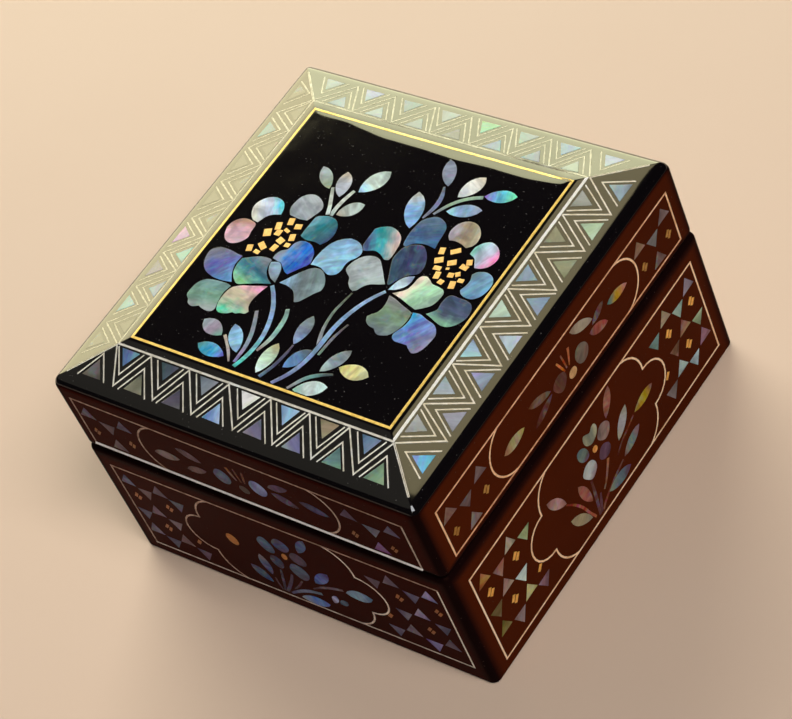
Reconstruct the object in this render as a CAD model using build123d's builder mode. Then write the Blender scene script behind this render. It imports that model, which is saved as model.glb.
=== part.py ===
from build123d import *
import math
import os

os.makedirs("parts", exist_ok=True)

# Square lacquered wooden box with a lift-off lid, inlaid with cut shell and gold.
# Millimetres, +Z up. The origin is the middle of the underside. The front face
# looks along -Y and the right face along +X.

# ---------------------------------------------------------------- dimensions
BOX = 100.0            # outside of the base, across the inlay plates, both ways
PLATE = 0.3            # thickness of the shell and gold plates
LID_STEP = 0.3         # the lid is this much smaller than the base on each side
BASE_HALF = BOX / 2 - PLATE            # outer face of the base walls
LID_HALF = BASE_HALF - LID_STEP        # outer face of the lid rails
CORNER = 1.6           # radius of the upright corners

RIM = 37.3             # top of the base walls, where the lid rests
BASE_IN = 45.0         # inner face of the base walls, from the middle
FLOOR = 4.0            # thickness of the bottom board
LINER = 1.5            # thickness of the liner boards
LINER_UP = 5.0         # the liner stands this far above the rim, inside the lid
FELT = 1.0             # floor felt
RIM_ROUND = 1.4        # rounding along the top of the base walls
FOOT_ROUND = 0.6       # rounding along the bottom of the base walls

LID_IN = 45.3          # inner face of the lid rails, clear of the liner
RAIL_TOP = 55.9        # top of the lid rails, underside of the top board
LIP_ROUND = 1.1        # rounding along the bottom of the lid rails
PANEL = 35.6           # half width of the flat middle of the top board
PANEL_Z = 63.0         # height of the flat middle
EDGE_Z = 59.2          # height where the bevel would meet the side
EDGE_ROUND = 1.6       # rounding of the lid's top outer edge
LID_FELT = 0.8         # felt under the top board

slope_rise = PANEL_Z - EDGE_Z
slope_run = LID_HALF - PANEL

# ---------------------------------------------------------------- planes
# Each side has its own plane, seen from outside with X to the right and Y up,
# so one table of outlines serves a face wherever it stands.
turns = (0, 90, 180, 270)  # front, right, back, left


def side_planes(half):
    return [Plane(origin=Vector(0, -half, 0).rotate(Axis.Z, t),
                  x_dir=Vector(1, 0, 0).rotate(Axis.Z, t),
                  z_dir=Vector(0, -1, 0).rotate(Axis.Z, t)) for t in turns]


def bevel_planes():
    # starts at the foot of the flat middle, Y runs up the slope
    tilt = Vector(0, -slope_rise, slope_run).normalized()
    return [Plane(origin=Vector(0, -PANEL, PANEL_Z).rotate(Axis.Z, t),
                  x_dir=Vector(1, 0, 0).rotate(Axis.Z, t),
                  z_dir=tilt.rotate(Axis.Z, t)) for t in turns]


base_faces = side_planes(BASE_HALF)
lid_faces = side_planes(LID_HALF)
bevels = bevel_planes()
panel = Plane.XY.offset(PANEL_Z)


def sets(planes, first, second):
    """Front and left carry the first design, right and back the second."""
    return list(zip(planes, (first, second, second, first)))

# ---------------------------------------------------------------- inlay outlines
# Every outline is one cut plate, as (x, y) in its face's plane.
# petals of the left flower on the top
LEFT_PETALS = [
    [(-29.77, -5.19), (-29.33, -5.1), (-28.89, -4.95), (-28.47, -4.74), (-28.1, -4.5), (-27.76, -4.2), (-27.45, -3.82), (-27.17, -3.41), (-26.94, -2.99), (-26.8, -2.6), (-26.76, -2.15), (-27.1, -0.8), (-27.17, 0.79), (-27.3, 1.2), (-27.62, 1.52), (-28.06, 1.69), (-28.99, 1.87), (-29.9, 1.98), (-30.36, 1.97), (-30.8, 1.9), (-31.22, 1.76), (-31.64, 1.56), (-32.04, 1.31), (-32.4, 1.02), (-32.7, 0.7), (-32.95, 0.33), (-33.16, -0.08), (-33.31, -0.54), (-33.4, -1.01), (-33.4, -1.5), (-33.34, -1.87), (-33.06, -2.71), (-32.66, -3.54), (-32.2, -4.2), (-31.85, -4.54), (-31.46, -4.8), (-31.05, -5), (-30.62, -5.14), (-30.2, -5.2)],
    [(-26.6, 3.56), (-26.4, 3.9), (-26.05, 4.32), (-25.66, 4.63), (-25.2, 4.9), (-24.77, 5.1), (-23.3, 5.6), (-23.63, 6.97), (-23.8, 7.4), (-24.31, 8.22), (-24.63, 8.6), (-25, 8.9), (-25.35, 9.1), (-26.16, 9.38), (-27, 9.5), (-27.41, 9.48), (-28.24, 9.32), (-29, 9), (-29.35, 8.78), (-29.99, 8.23), (-30.5, 7.6), (-30.74, 7.18), (-30.94, 6.74), (-31.06, 6.27), (-31.1, 5.8), (-31.05, 5.4), (-30.95, 4.99), (-30.61, 4.17), (-30.17, 3.45), (-29.62, 2.8), (-29, 2.3), (-28.6, 2.12), (-27.3, 1.9)],
    [(-18.04, 5.91), (-16.4, 6.1), (-15.79, 7.35), (-15.29, 8.61), (-15.05, 9.43), (-15, 9.8), (-15.05, 10.32), (-15.22, 10.77), (-15.5, 11.2), (-15.8, 11.53), (-16.16, 11.85), (-17, 12.4), (-17.94, 12.8), (-18.43, 12.93), (-18.9, 13), (-19.35, 12.99), (-19.79, 12.92), (-20.21, 12.79), (-20.6, 12.6), (-20.97, 12.36), (-21.32, 12.07), (-21.64, 11.72), (-21.9, 11.3), (-22.06, 10.89), (-22.2, 10.42), (-22.36, 9.43), (-22.4, 8.54), (-22.34, 8.13), (-22.1, 7.4), (-21.84, 6.97), (-21.2, 6.2), (-19.36, 5.96), (-18.5, 5.9)],
    [(-8.41, 2.21), (-8.2, 2.6), (-7.95, 3.35), (-7.81, 4.18), (-7.8, 4.6), (-7.93, 5.5), (-8.21, 6.4), (-8.4, 6.8), (-8.87, 7.5), (-9.46, 8.08), (-9.8, 8.3), (-10.18, 8.48), (-10.61, 8.62), (-11.5, 8.77), (-11.9, 8.8), (-12.34, 8.77), (-12.74, 8.68), (-14.29, 8.12), (-14.64, 7.92), (-14.9, 7.6), (-15.02, 7.21), (-15.07, 6.72), (-15.1, 5.2), (-15.19, 3.99), (-15.19, 3.18), (-15.1, 1.9), (-13.7, 1.39), (-13.2, 1.3), (-12.77, 1.3), (-11.42, 1.48), (-11, 1.5), (-10.52, 1.46), (-9.2, 1.2)],
    [(-9.8, -6.2), (-8.5, -4.64), (-8.3, -4.3), (-8.19, -3.84), (-8.26, -3.46), (-8.63, -2.26), (-8.97, -1.46), (-9.2, -1.1), (-9.48, -0.76), (-10.16, -0.11), (-10.9, 0.4), (-11.37, 0.61), (-11.87, 0.76), (-12.8, 0.9), (-13.32, 0.89), (-13.78, 0.79), (-14.2, 0.6), (-14.59, 0.32), (-14.93, -0.05), (-15.2, -0.5), (-15.32, -0.92), (-15.45, -1.9), (-15.6, -2.3), (-15.88, -2.58), (-16.6, -2.96), (-16.9, -3.2), (-17.18, -3.64), (-17.38, -4.14), (-17.5, -4.6), (-17.49, -5.12), (-17.4, -5.6), (-16.91, -5.66), (-16.3, -5.8), (-15.75, -5.97), (-15.2, -5.94), (-14.74, -6.12), (-14.33, -6.42), (-14.1, -6.67), (-13.82, -6.84), (-12.5, -7.9), (-12.09, -8.1), (-11.4, -8.3)],
    [(-24.55, -14.77), (-22.5, -14.4), (-23.65, -12.83), (-24.27, -11.64), (-24.59, -10.83), (-24.8, -10), (-24.84, -9.58), (-24.81, -8.71), (-24.7, -7.4), (-25.48, -7.36), (-26.34, -7.24), (-27.61, -7.01), (-28.5, -6.9), (-29.89, -6.83), (-30.8, -6.89), (-31.2, -7), (-31.66, -7.2), (-32.1, -7.46), (-32.5, -7.79), (-32.81, -8.17), (-33, -8.6), (-33.05, -8.96), (-33.04, -9.38), (-32.87, -10.31), (-32.73, -10.77), (-32.4, -11.6), (-32.18, -12), (-31.62, -12.73), (-31.3, -13.04), (-30.6, -13.6), (-30.22, -13.83), (-29.37, -14.21), (-28, -14.6), (-27.16, -14.73), (-26.27, -14.8), (-25.41, -14.81)],
    [(-20.39, -14.33), (-19.94, -14.16), (-18.98, -13.71), (-16.43, -12.74), (-13.35, -11.82), (-13.35, -11.77), (-14.51, -11.16), (-14.9, -10.9), (-15.65, -10.25), (-16.3, -9.5), (-16.56, -9.09), (-16.96, -8.22), (-17.19, -7.39), (-17.3, -6.2), (-17.56, -6.02), (-18, -5.9), (-18.77, -5.91), (-19.73, -6.01), (-20.2, -6.1), (-21.14, -6.4), (-22.5, -7), (-24.3, -8), (-24.42, -9.32), (-24.4, -9.8), (-24.25, -10.68), (-23.98, -11.59), (-23.8, -12), (-23.57, -12.37), (-23.01, -13.05), (-22.71, -13.34), (-21.66, -14.16), (-21.25, -14.34), (-20.8, -14.4)],
    [(-26.73, -23.1), (-25.6, -22.5), (-25.14, -22.71), (-24.6, -22.9), (-23.76, -23.05), (-22.9, -23.1), (-22.46, -23.03), (-22.09, -22.89), (-21.8, -22.7), (-21.6, -22.33), (-21.5, -21.9), (-22.09, -20.05), (-22.35, -18.7), (-22.41, -17.83), (-22.4, -17.4), (-22.25, -16.59), (-21.9, -15.4), (-22.82, -15.17), (-23.4, -15.1), (-25.1, -15.12), (-27.32, -15.37), (-28.15, -15.57), (-28.5, -15.7), (-28.95, -15.96), (-29.32, -16.27), (-29.64, -16.62), (-29.9, -17), (-30.1, -17.41), (-30.24, -17.86), (-30.34, -18.32), (-30.44, -19.31), (-30.45, -19.85), (-30.41, -20.37), (-30.3, -20.8), (-30.01, -21.21), (-29.2, -21.8), (-28.79, -22.51), (-28.5, -22.8), (-28.09, -23.02), (-27.6, -23.17), (-27.1, -23.2)],
    [(-19.42, -22.49), (-19, -22.43), (-18.2, -22.2), (-17.77, -21.97), (-17, -21.4), (-16.55, -21.49), (-16.1, -21.5), (-15.2, -21), (-14.36, -20.9), (-14, -20.8), (-13.71, -20.44), (-13.5, -20), (-14.14, -19.24), (-14.4, -18.8), (-14.63, -17.97), (-14.69, -17.51), (-14.67, -16.55), (-14.41, -15.06), (-14.15, -14.09), (-13.61, -12.73), (-13.63, -12.71), (-14.01, -12.76), (-14.92, -13), (-17, -13.7), (-19.21, -14.34), (-20.44, -14.92), (-21.13, -15.41), (-21.4, -15.7), (-21.65, -16.11), (-21.82, -16.56), (-21.93, -17.06), (-22.03, -18), (-22.04, -18.91), (-21.93, -20.04), (-21.62, -21.01), (-21.26, -21.66), (-21, -22), (-20.64, -22.29), (-20.24, -22.44), (-19.8, -22.5)],
    [(-4.76, -14.17), (-4.3, -13.9), (-4.03, -13.6), (-3.47, -12.8), (-2.3, -10.9), (-1.2, -9.6), (-1.19, -8.7), (-1.3, -8.2), (-1.45, -7.84), (-1.88, -7.04), (-2.4, -6.3), (-3.11, -5.56), (-3.5, -5.25), (-3.9, -5), (-4.31, -4.81), (-4.74, -4.68), (-5.18, -4.61), (-5.6, -4.6), (-6.01, -4.66), (-6.42, -4.79), (-7.2, -5.2), (-7.56, -5.48), (-7.9, -5.81), (-8.6, -6.6), (-9.67, -7.97), (-11.68, -10.87), (-11.66, -10.9), (-9.84, -10.94), (-9.4, -11), (-8.54, -11.21), (-7.75, -11.51), (-7.4, -11.7), (-7.02, -11.98), (-6.68, -12.31), (-5.85, -13.32), (-5.2, -14.3)],
    [(-1.81, -5.22), (-1.39, -5.06), (-1.01, -4.85), (-0.7, -4.6), (-0.44, -4.19), (-0.29, -3.71), (-0.2, -3.2), (-0.19, -2.81), (-0.3, -1.98), (-0.3, -1.6), (-0.23, -1.14), (-0.1, -0.71), (0.1, -0.3), (0.41, 0.1), (0.8, 0.5), (1.1, 0.9), (1.29, 1.32), (1.4, 1.76), (1.4, 2.2), (1.28, 2.67), (1.04, 3.15), (0.7, 3.6), (0.36, 3.91), (-0.06, 4.22), (-0.52, 4.49), (-1, 4.7), (-1.85, 4.93), (-2.76, 5.02), (-3.2, 5), (-3.62, 4.92), (-4.44, 4.63), (-5.2, 4.2), (-5.56, 3.94), (-6.24, 3.3), (-6.8, 2.6), (-7.02, 2.23), (-7.35, 1.45), (-7.74, 0.18), (-7.94, -1.23), (-7.99, -2.16), (-7.99, -3.01), (-7.9, -4.2), (-7.38, -4.14), (-6.44, -4.1), (-5.61, -4.13), (-5.2, -4.2), (-4.8, -4.34), (-3.99, -4.73), (-2.67, -5.26), (-2.2, -5.3)],
]
# petals of the right flower on the top
RIGHT_PETALS = [
    [(23.96, 12), (24.2, 12.3), (24.4, 12.76), (24.49, 13.26), (24.5, 13.8), (24.36, 14.69), (24.21, 15.16), (24, 15.6), (23.78, 15.95), (23.23, 16.63), (22.6, 17.2), (22.18, 17.46), (21.72, 17.67), (21.26, 17.82), (20.8, 17.9), (20.34, 17.92), (19.88, 17.87), (19.42, 17.76), (19, 17.6), (18.6, 17.38), (18.23, 17.09), (17.88, 16.76), (17.6, 16.4), (17.37, 15.99), (17.19, 15.52), (17.07, 15.05), (17, 14.6), (17, 14.17), (17.06, 13.76), (17.3, 13), (17.56, 12.6), (18.2, 11.9), (19.12, 12.06), (19.6, 12.1), (20.38, 12.06), (21.2, 11.9), (21.64, 11.76), (23, 11.2)],
    [(28.91, 7.24), (29.4, 7.4), (30.15, 7.86), (30.5, 8.16), (30.8, 8.5), (31.05, 8.88), (31.26, 9.31), (31.41, 9.75), (31.5, 10.2), (31.52, 10.65), (31.48, 11.11), (31.38, 11.56), (31.2, 12), (31, 12.35), (30.46, 13.03), (29.8, 13.6), (29.02, 14.04), (28.18, 14.34), (27.8, 14.4), (27.36, 14.36), (26.94, 14.23), (26.2, 13.8), (25.87, 13.52), (25.57, 13.18), (25.1, 12.5), (24.93, 12.13), (24.85, 11.77), (24.78, 10.98), (24.8, 10.1), (26.06, 9.6), (26.4, 9.4), (26.73, 9.07), (27.9, 7.1)],
    [(31.67, -0.47), (32.1, -0.37), (32.5, -0.2), (32.87, 0.06), (33.23, 0.39), (33.54, 0.78), (33.8, 1.2), (33.96, 1.56), (34.19, 2.39), (34.3, 3.2), (34.3, 4.14), (34.23, 4.58), (34.1, 5), (33.9, 5.4), (33.65, 5.78), (33.35, 6.12), (33, 6.4), (32.6, 6.61), (32.14, 6.77), (31.67, 6.87), (31.2, 6.9), (30.73, 6.86), (30.24, 6.74), (29.4, 6.4), (29.03, 6.1), (28.5, 5.4), (28.87, 4.47), (29, 4), (29.06, 3.54), (29.06, 3.09), (29, 2.6), (28.89, 2.2), (28.4, 0.9), (28.87, 0.27), (29.2, 0), (29.94, -0.32), (30.37, -0.44), (30.8, -0.5)],
    [(31.02, -8.61), (31.42, -8.48), (31.8, -8.3), (32.18, -8.05), (32.9, -7.38), (33.2, -7), (33.69, -6.14), (33.88, -5.68), (34, -5.2), (34.06, -4.7), (34.06, -4.18), (34, -3.67), (33.9, -3.2), (33.75, -2.77), (33.54, -2.36), (33.29, -2), (33, -1.7), (32.66, -1.47), (32.28, -1.31), (31.4, -1.1), (30.99, -1.05), (29.2, -1), (28.21, -0.87), (27.8, -0.9), (27.41, -1.03), (27.07, -1.26), (26.8, -1.6), (26.66, -1.98), (26.58, -2.44), (26.5, -3.4), (26.53, -3.83), (26.68, -4.66), (26.7, -5), (26.59, -5.42), (26.3, -5.8), (25, -7.1), (26.6, -7.6), (27.95, -8.14), (29.31, -8.57), (29.76, -8.66), (30.2, -8.7)],
    [(23.05, -6.25), (24.15, -5.44), (24.51, -5.14), (24.8, -4.8), (25.02, -4.44), (25.18, -4.04), (25.4, -3.2), (25.53, -2.21), (25.54, -1.72), (25.5, -1.3), (25.36, -0.88), (25.13, -0.56), (24.8, -0.3), (24.46, -0.15), (23.2, 0.1), (21.96, 0.22), (21.6, 0.3), (21.23, 0.5), (20.6, 1), (19.81, 1.47), (19.4, 1.6), (18.97, 1.59), (18.55, 1.49), (18.2, 1.3), (17.88, 0.88), (17.7, 0.3), (17.6, -1.2), (17.42, -2.02), (17.29, -2.43), (17.1, -2.8), (16.83, -3.14), (16.49, -3.45), (15.39, -4.3), (14.64, -4.77), (14.65, -4.81), (17.2, -5.4), (20, -6.32), (22, -6.9)],
    [(18.6, -15.4), (19.41, -15.19), (19.83, -15.01), (20.2, -14.8), (20.59, -14.47), (20.91, -14.08), (21.2, -13.6), (21.53, -12.86), (21.8, -12.01), (22, -11.09), (22.1, -10.08), (22.1, -9.6), (21.98, -8.73), (21.8, -7.9), (21, -7.6), (18.41, -6.76), (16.78, -6.13), (15.96, -5.87), (14.33, -5.51), (14.31, -5.53), (14.7, -6.77), (14.8, -7.2), (14.91, -8.12), (14.9, -9), (14.79, -9.52), (14.62, -9.99), (14.4, -10.4), (14.12, -10.71), (13.5, -11.2), (12.9, -12.1), (13.4, -13.01), (13.7, -13.4), (14.1, -13.7), (14.55, -13.93), (15, -14.1), (15.43, -14.2), (16.3, -14.3), (17.03, -14.95), (17.4, -15.2), (17.78, -15.35), (18.17, -15.42)],
    [(28.52, -16.92), (29, -16.6), (29.22, -16.33), (29.63, -15.6), (29.8, -15.2), (30.04, -14.34), (30.33, -12.39), (30.35, -11.88), (30.3, -11.4), (30.15, -10.96), (29.93, -10.53), (29.4, -9.8), (29.06, -9.44), (28.69, -9.15), (28.2, -8.9), (27.82, -8.76), (26, -8.3), (24.21, -7.68), (23.8, -7.6), (23.34, -7.59), (22.1, -7.8), (22.45, -9.12), (22.5, -9.6), (22.49, -10.02), (22.4, -10.92), (22.2, -11.8), (22.04, -12.23), (21.57, -13.16), (21.3, -13.8), (21.27, -14.43), (21.5, -14.9), (21.77, -15.19), (22.15, -15.43), (22.6, -15.6), (23.01, -15.65), (25.8, -15.6), (26.45, -16.15), (27.19, -16.65), (27.61, -16.88), (28, -17)],
    [(6, -7.06), (6.4, -6.8), (6.59, -6.51), (6.97, -5.75), (7.2, -5.4), (7.55, -5.02), (7.94, -4.69), (8.4, -4.4), (8.82, -4.22), (10.2, -3.8), (11.6, -3.3), (8.8, -0.14), (7.19, 1.57), (6.85, 1.86), (6.5, 2.1), (6.04, 2.31), (5.57, 2.44), (5.09, 2.51), (4.6, 2.5), (4.2, 2.44), (3.36, 2.2), (2.6, 1.8), (2.27, 1.54), (1.67, 0.9), (1.2, 0.2), (0.98, -0.25), (0.81, -0.73), (0.6, -1.6), (0.57, -2.22), (0.7, -2.7), (0.97, -3.06), (1.4, -3.4), (2.49, -4.13), (2.8, -4.4), (3.04, -4.79), (3.19, -5.19), (3.4, -5.6), (3.66, -5.92), (4.3, -6.56), (4.6, -6.8), (5.11, -7.05), (5.6, -7.2)],
    [(7.83, 2.53), (8.3, 2.7), (8.42, 3.09), (8.5, 3.6), (8.45, 4.91), (8.22, 6.91), (8.1, 7.4), (7.74, 8.35), (7.5, 8.8), (7.2, 9.2), (6.9, 9.49), (6.18, 10.01), (5.4, 10.4), (4.6, 10.67), (3.79, 10.8), (3.4, 10.8), (2.93, 10.73), (2.46, 10.59), (1.6, 10.2), (1.22, 9.98), (0.2, 9.2), (0.23, 5.42), (0.3, 4.6), (0.45, 4.04), (0.81, 3.72), (1.24, 3.11), (1.9, 3.2), (3.3, 3.8), (3.8, 3.9), (4.2, 3.88), (4.62, 3.81), (5.8, 3.4), (6.22, 3.18), (6.97, 2.66), (7.3, 2.5)],
    [(10.06, 7.4), (10.65, 8.1), (11, 8.4), (11.41, 8.6), (11.86, 8.77), (12.8, 9), (13.25, 9.07), (14.14, 9.11), (14.6, 9.1), (16.5, 8.8), (16.27, 9.96), (16.16, 10.8), (16.05, 12.16), (15.84, 13.85), (15.75, 14.24), (15.6, 14.6), (15.33, 15.01), (15, 15.39), (14.62, 15.72), (14.2, 16), (13.43, 16.36), (12.6, 16.58), (12.2, 16.6), (11.72, 16.53), (11.26, 16.37), (10.81, 16.15), (10.02, 15.62), (9.66, 15.31), (9.35, 14.96), (9.1, 14.6), (8.93, 14.23), (8.83, 13.83), (8.52, 11.65), (8.5, 10.75), (8.55, 9.85), (8.76, 8.41), (8.86, 7.95), (9, 7.6), (9.35, 7.21), (9.8, 7.2)],
    [(12.68, -2.91), (13, -2.4), (13.57, -1.28), (13.8, -0.9), (14.37, -0.2), (15, 0.4), (15.43, 0.68), (16.3, 1.1), (16.74, 1.38), (17.1, 1.8), (17.2, 2.16), (17.25, 2.61), (17.25, 3.1), (17.2, 3.6), (17.11, 4.02), (16.81, 4.93), (16.4, 5.8), (16.16, 6.2), (15.6, 6.96), (15.3, 7.3), (14.63, 7.94), (14.25, 8.24), (13.85, 8.47), (13.4, 8.6), (12.99, 8.61), (12.53, 8.54), (11.6, 8.26), (10.59, 7.79), (10.18, 7.3), (9.86, 7.05), (9.73, 7.04), (9.51, 6.65), (9.37, 6.26), (9.17, 5.4), (9.04, 4.54), (9.03, 3.65), (9.1, 3.2), (9.21, 2.83), (9.53, 2.07), (11.1, -1.13), (11.9, -2.9), (12.14, -3.12), (12.4, -3.2)],
]
# the small cup at the foot of each flower
BUDS = [
    [(-12.71, -11.16), (-13, -9.59), (-13.39, -8.2), (-13.57, -7.72), (-13.8, -7.3), (-14.09, -6.91), (-14.42, -6.55), (-14.8, -6.26), (-15.2, -6.1), (-15.64, -6.11), (-17.1, -6.6), (-16.94, -7.39), (-16.8, -7.8), (-16.42, -8.49), (-16.18, -8.85), (-15.57, -9.55), (-14.8, -10.22), (-14.4, -10.5), (-13.99, -10.72), (-12.73, -11.19)],
    [(14.23, -3.97), (14.6, -3.8), (15.4, -3.27), (15.78, -2.94), (16.1, -2.6), (16.35, -2.23), (16.55, -1.84), (16.7, -1.42), (16.8, -1), (16.83, -0.56), (16.7, 0.8), (15.46, 0.31), (15.1, 0.1), (14.49, -0.44), (14, -1.1), (13.81, -1.49), (13.52, -2.38), (13.28, -3.31), (13.1, -4.3)],
]
# leaves on the top
TOP_LEAVES = [
    [(-17.17, 16.76), (-17.55, 17.69), (-18.02, 18.53), (-18.6, 19.27), (-19.29, 19.89), (-20.1, 20.39), (-21.06, 20.74), (-22.3, 20.8), (-22.21, 19.56), (-21.85, 18.61), (-21.34, 17.81), (-20.7, 17.13), (-19.95, 16.57), (-19.1, 16.11), (-18.16, 15.74), (-17, 15.6)],
    [(-12.8, 15.44), (-12.64, 16.46), (-12.64, 17.43), (-12.8, 18.34), (-13.14, 19.19), (-13.69, 19.97), (-14.47, 20.66), (-15.7, 21.2), (-16.33, 20.01), (-16.51, 18.98), (-16.46, 18.04), (-16.2, 17.16), (-15.76, 16.35), (-15.16, 15.59), (-14.4, 14.88), (-13.3, 14.3)],
    [(-8.37, 17.35), (-7.35, 18.01), (-6.51, 18.76), (-5.85, 19.61), (-5.42, 20.58), (-5.22, 21.66), (-5.29, 22.89), (-5.9, 24.4), (-7.48, 24.03), (-8.53, 23.39), (-9.31, 22.6), (-9.85, 21.69), (-10.17, 20.66), (-10.3, 19.54), (-10.26, 18.33), (-9.8, 16.9)],
    [(-8.78, 9.89), (-7.96, 10.23), (-7.25, 10.7), (-6.69, 11.31), (-6.27, 12.07), (-6.02, 13.01), (-6.1, 14.3), (-7.38, 14.44), (-8.33, 14.23), (-9.11, 13.84), (-9.75, 13.3), (-10.24, 12.62), (-10.62, 11.81), (-10.89, 10.89), (-10.9, 9.7), (-9.71, 9.66)],
    [(9.27, 26.13), (9.16, 27.21), (8.91, 28.21), (8.54, 29.14), (8.02, 29.98), (7.33, 30.73), (6.45, 31.37), (5.2, 31.8), (4.92, 30.51), (5.02, 29.42), (5.3, 28.44), (5.76, 27.56), (6.36, 26.77), (7.09, 26.04), (7.95, 25.39), (9.1, 24.9)],
    [(14.25, 23.38), (15.13, 24.02), (15.84, 24.74), (16.37, 25.53), (16.72, 26.41), (16.84, 27.4), (16.71, 28.49), (16.1, 29.8), (14.71, 29.39), (13.81, 28.75), (13.16, 28.01), (12.73, 27.17), (12.49, 26.24), (12.42, 25.23), (12.53, 24.15), (13, 22.9)],
    [(22.81, 24.43), (23.7, 24.74), (24.52, 25.26), (25.28, 26.01), (25.9, 27.2), (24.72, 27.84), (23.68, 28.04), (22.7, 28.01), (21.79, 27.77), (20.93, 27.36), (20.12, 26.79), (19.36, 26.07), (18.7, 25), (19.84, 24.48), (20.88, 24.31), (21.87, 24.29)],
    [(16.24, 18.14), (17.25, 18.36), (18.2, 18.75), (19.07, 19.34), (19.87, 20.15), (20.5, 21.4), (19.21, 21.95), (18.08, 22.06), (17.03, 21.95), (16.05, 21.64), (15.14, 21.16), (14.28, 20.52), (13.48, 19.73), (12.8, 18.6), (14.05, 18.17), (15.17, 18.08)],
    [(8.08, 13.4), (8.14, 14.83), (8.01, 16.19), (7.69, 17.47), (7.15, 18.66), (6.37, 19.76), (5.31, 20.74), (3.7, 21.5), (3.07, 19.84), (2.98, 18.39), (3.17, 17.06), (3.61, 15.83), (4.27, 14.68), (5.11, 13.62), (6.15, 12.62), (7.6, 11.8)],
    [(-17.5, -28.22), (-16.51, -28.04), (-15.4, -27.5), (-15.94, -26.39), (-16.6, -25.63), (-17.32, -25.04), (-18.09, -24.6), (-18.93, -24.36), (-19.85, -24.33), (-20.84, -24.53), (-22, -25.2), (-21.51, -26.45), (-20.85, -27.22), (-20.12, -27.77), (-19.31, -28.1), (-18.43, -28.24)],
    [(-9.23, -29.01), (-9.52, -27.94), (-9.93, -26.96), (-10.46, -26.07), (-11.13, -25.3), (-11.96, -24.65), (-12.96, -24.14), (-14.3, -23.9), (-14.37, -25.26), (-14.09, -26.35), (-13.65, -27.3), (-13.04, -28.13), (-12.3, -28.84), (-11.43, -29.46), (-10.45, -29.99), (-9.2, -30.3)],
    [(-14.5, -33.31), (-13.49, -33.13), (-12.47, -32.79), (-11.4, -32.1), (-12.28, -31.19), (-13.21, -30.62), (-14.15, -30.21), (-15.11, -29.96), (-16.09, -29.89), (-17.09, -30.03), (-18.12, -30.39), (-19.2, -31.2), (-18.33, -32.24), (-17.41, -32.82), (-16.46, -33.18), (-15.49, -33.34)],
    [(-0.82, -32.27), (-0.32, -31.23), (0.03, -30.19), (0.2, -29.14), (0.18, -28.09), (-0.06, -27.04), (-0.54, -25.97), (-1.5, -24.9), (-2.51, -25.93), (-3.04, -26.96), (-3.33, -28.01), (-3.4, -29.06), (-3.28, -30.11), (-2.98, -31.17), (-2.53, -32.23), (-1.7, -33.3)],
    [(2.54, -22.97), (2.95, -21.95), (3.2, -20.94), (3.3, -19.94), (3.22, -18.94), (2.94, -17.95), (2.44, -16.97), (1.5, -16), (0.63, -17.03), (0.21, -18.05), (0, -19.06), (0, -20.06), (0.18, -21.06), (0.5, -22.05), (0.98, -23.03), (1.8, -24)],
    [(4.36, -29.65), (5.2, -29.12), (5.89, -28.52), (6.21, -27.42), (6.46, -26.27), (6.74, -24.04), (6.7, -23.9), (5.43, -24.19), (4.57, -24.7), (3.91, -25.34), (3.43, -26.08), (3.12, -26.91), (2.95, -27.83), (2.92, -28.83), (3.2, -30)],
    [(12.85, -27.57), (13.69, -26.88), (14.4, -26.12), (14.97, -25.3), (15.38, -24.39), (15.62, -23.39), (15.66, -22.3), (15.3, -21), (14.04, -21.48), (13.18, -22.16), (12.52, -22.93), (12.03, -23.8), (11.7, -24.75), (11.51, -25.77), (11.45, -26.86), (11.7, -28.1)],
    [(20.04, -27.54), (21, -27.24), (21.95, -26.68), (22.9, -25.6), (21.92, -24.54), (20.95, -24.01), (19.99, -23.74), (19.02, -23.7), (18.06, -23.87), (17.11, -24.23), (16.15, -24.77), (15.2, -25.7), (16.17, -26.61), (17.14, -27.12), (18.11, -27.45), (19.08, -27.6)],
    [(13.23, -34.33), (14.1, -33.89), (14.87, -33.24), (15.54, -32.35), (16, -31), (14.68, -30.45), (13.58, -30.36), (12.58, -30.51), (11.67, -30.87), (10.85, -31.41), (10.1, -32.12), (9.42, -32.98), (8.9, -34.2), (9.65, -34.45), (12.79, -34.45)],
]
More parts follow.
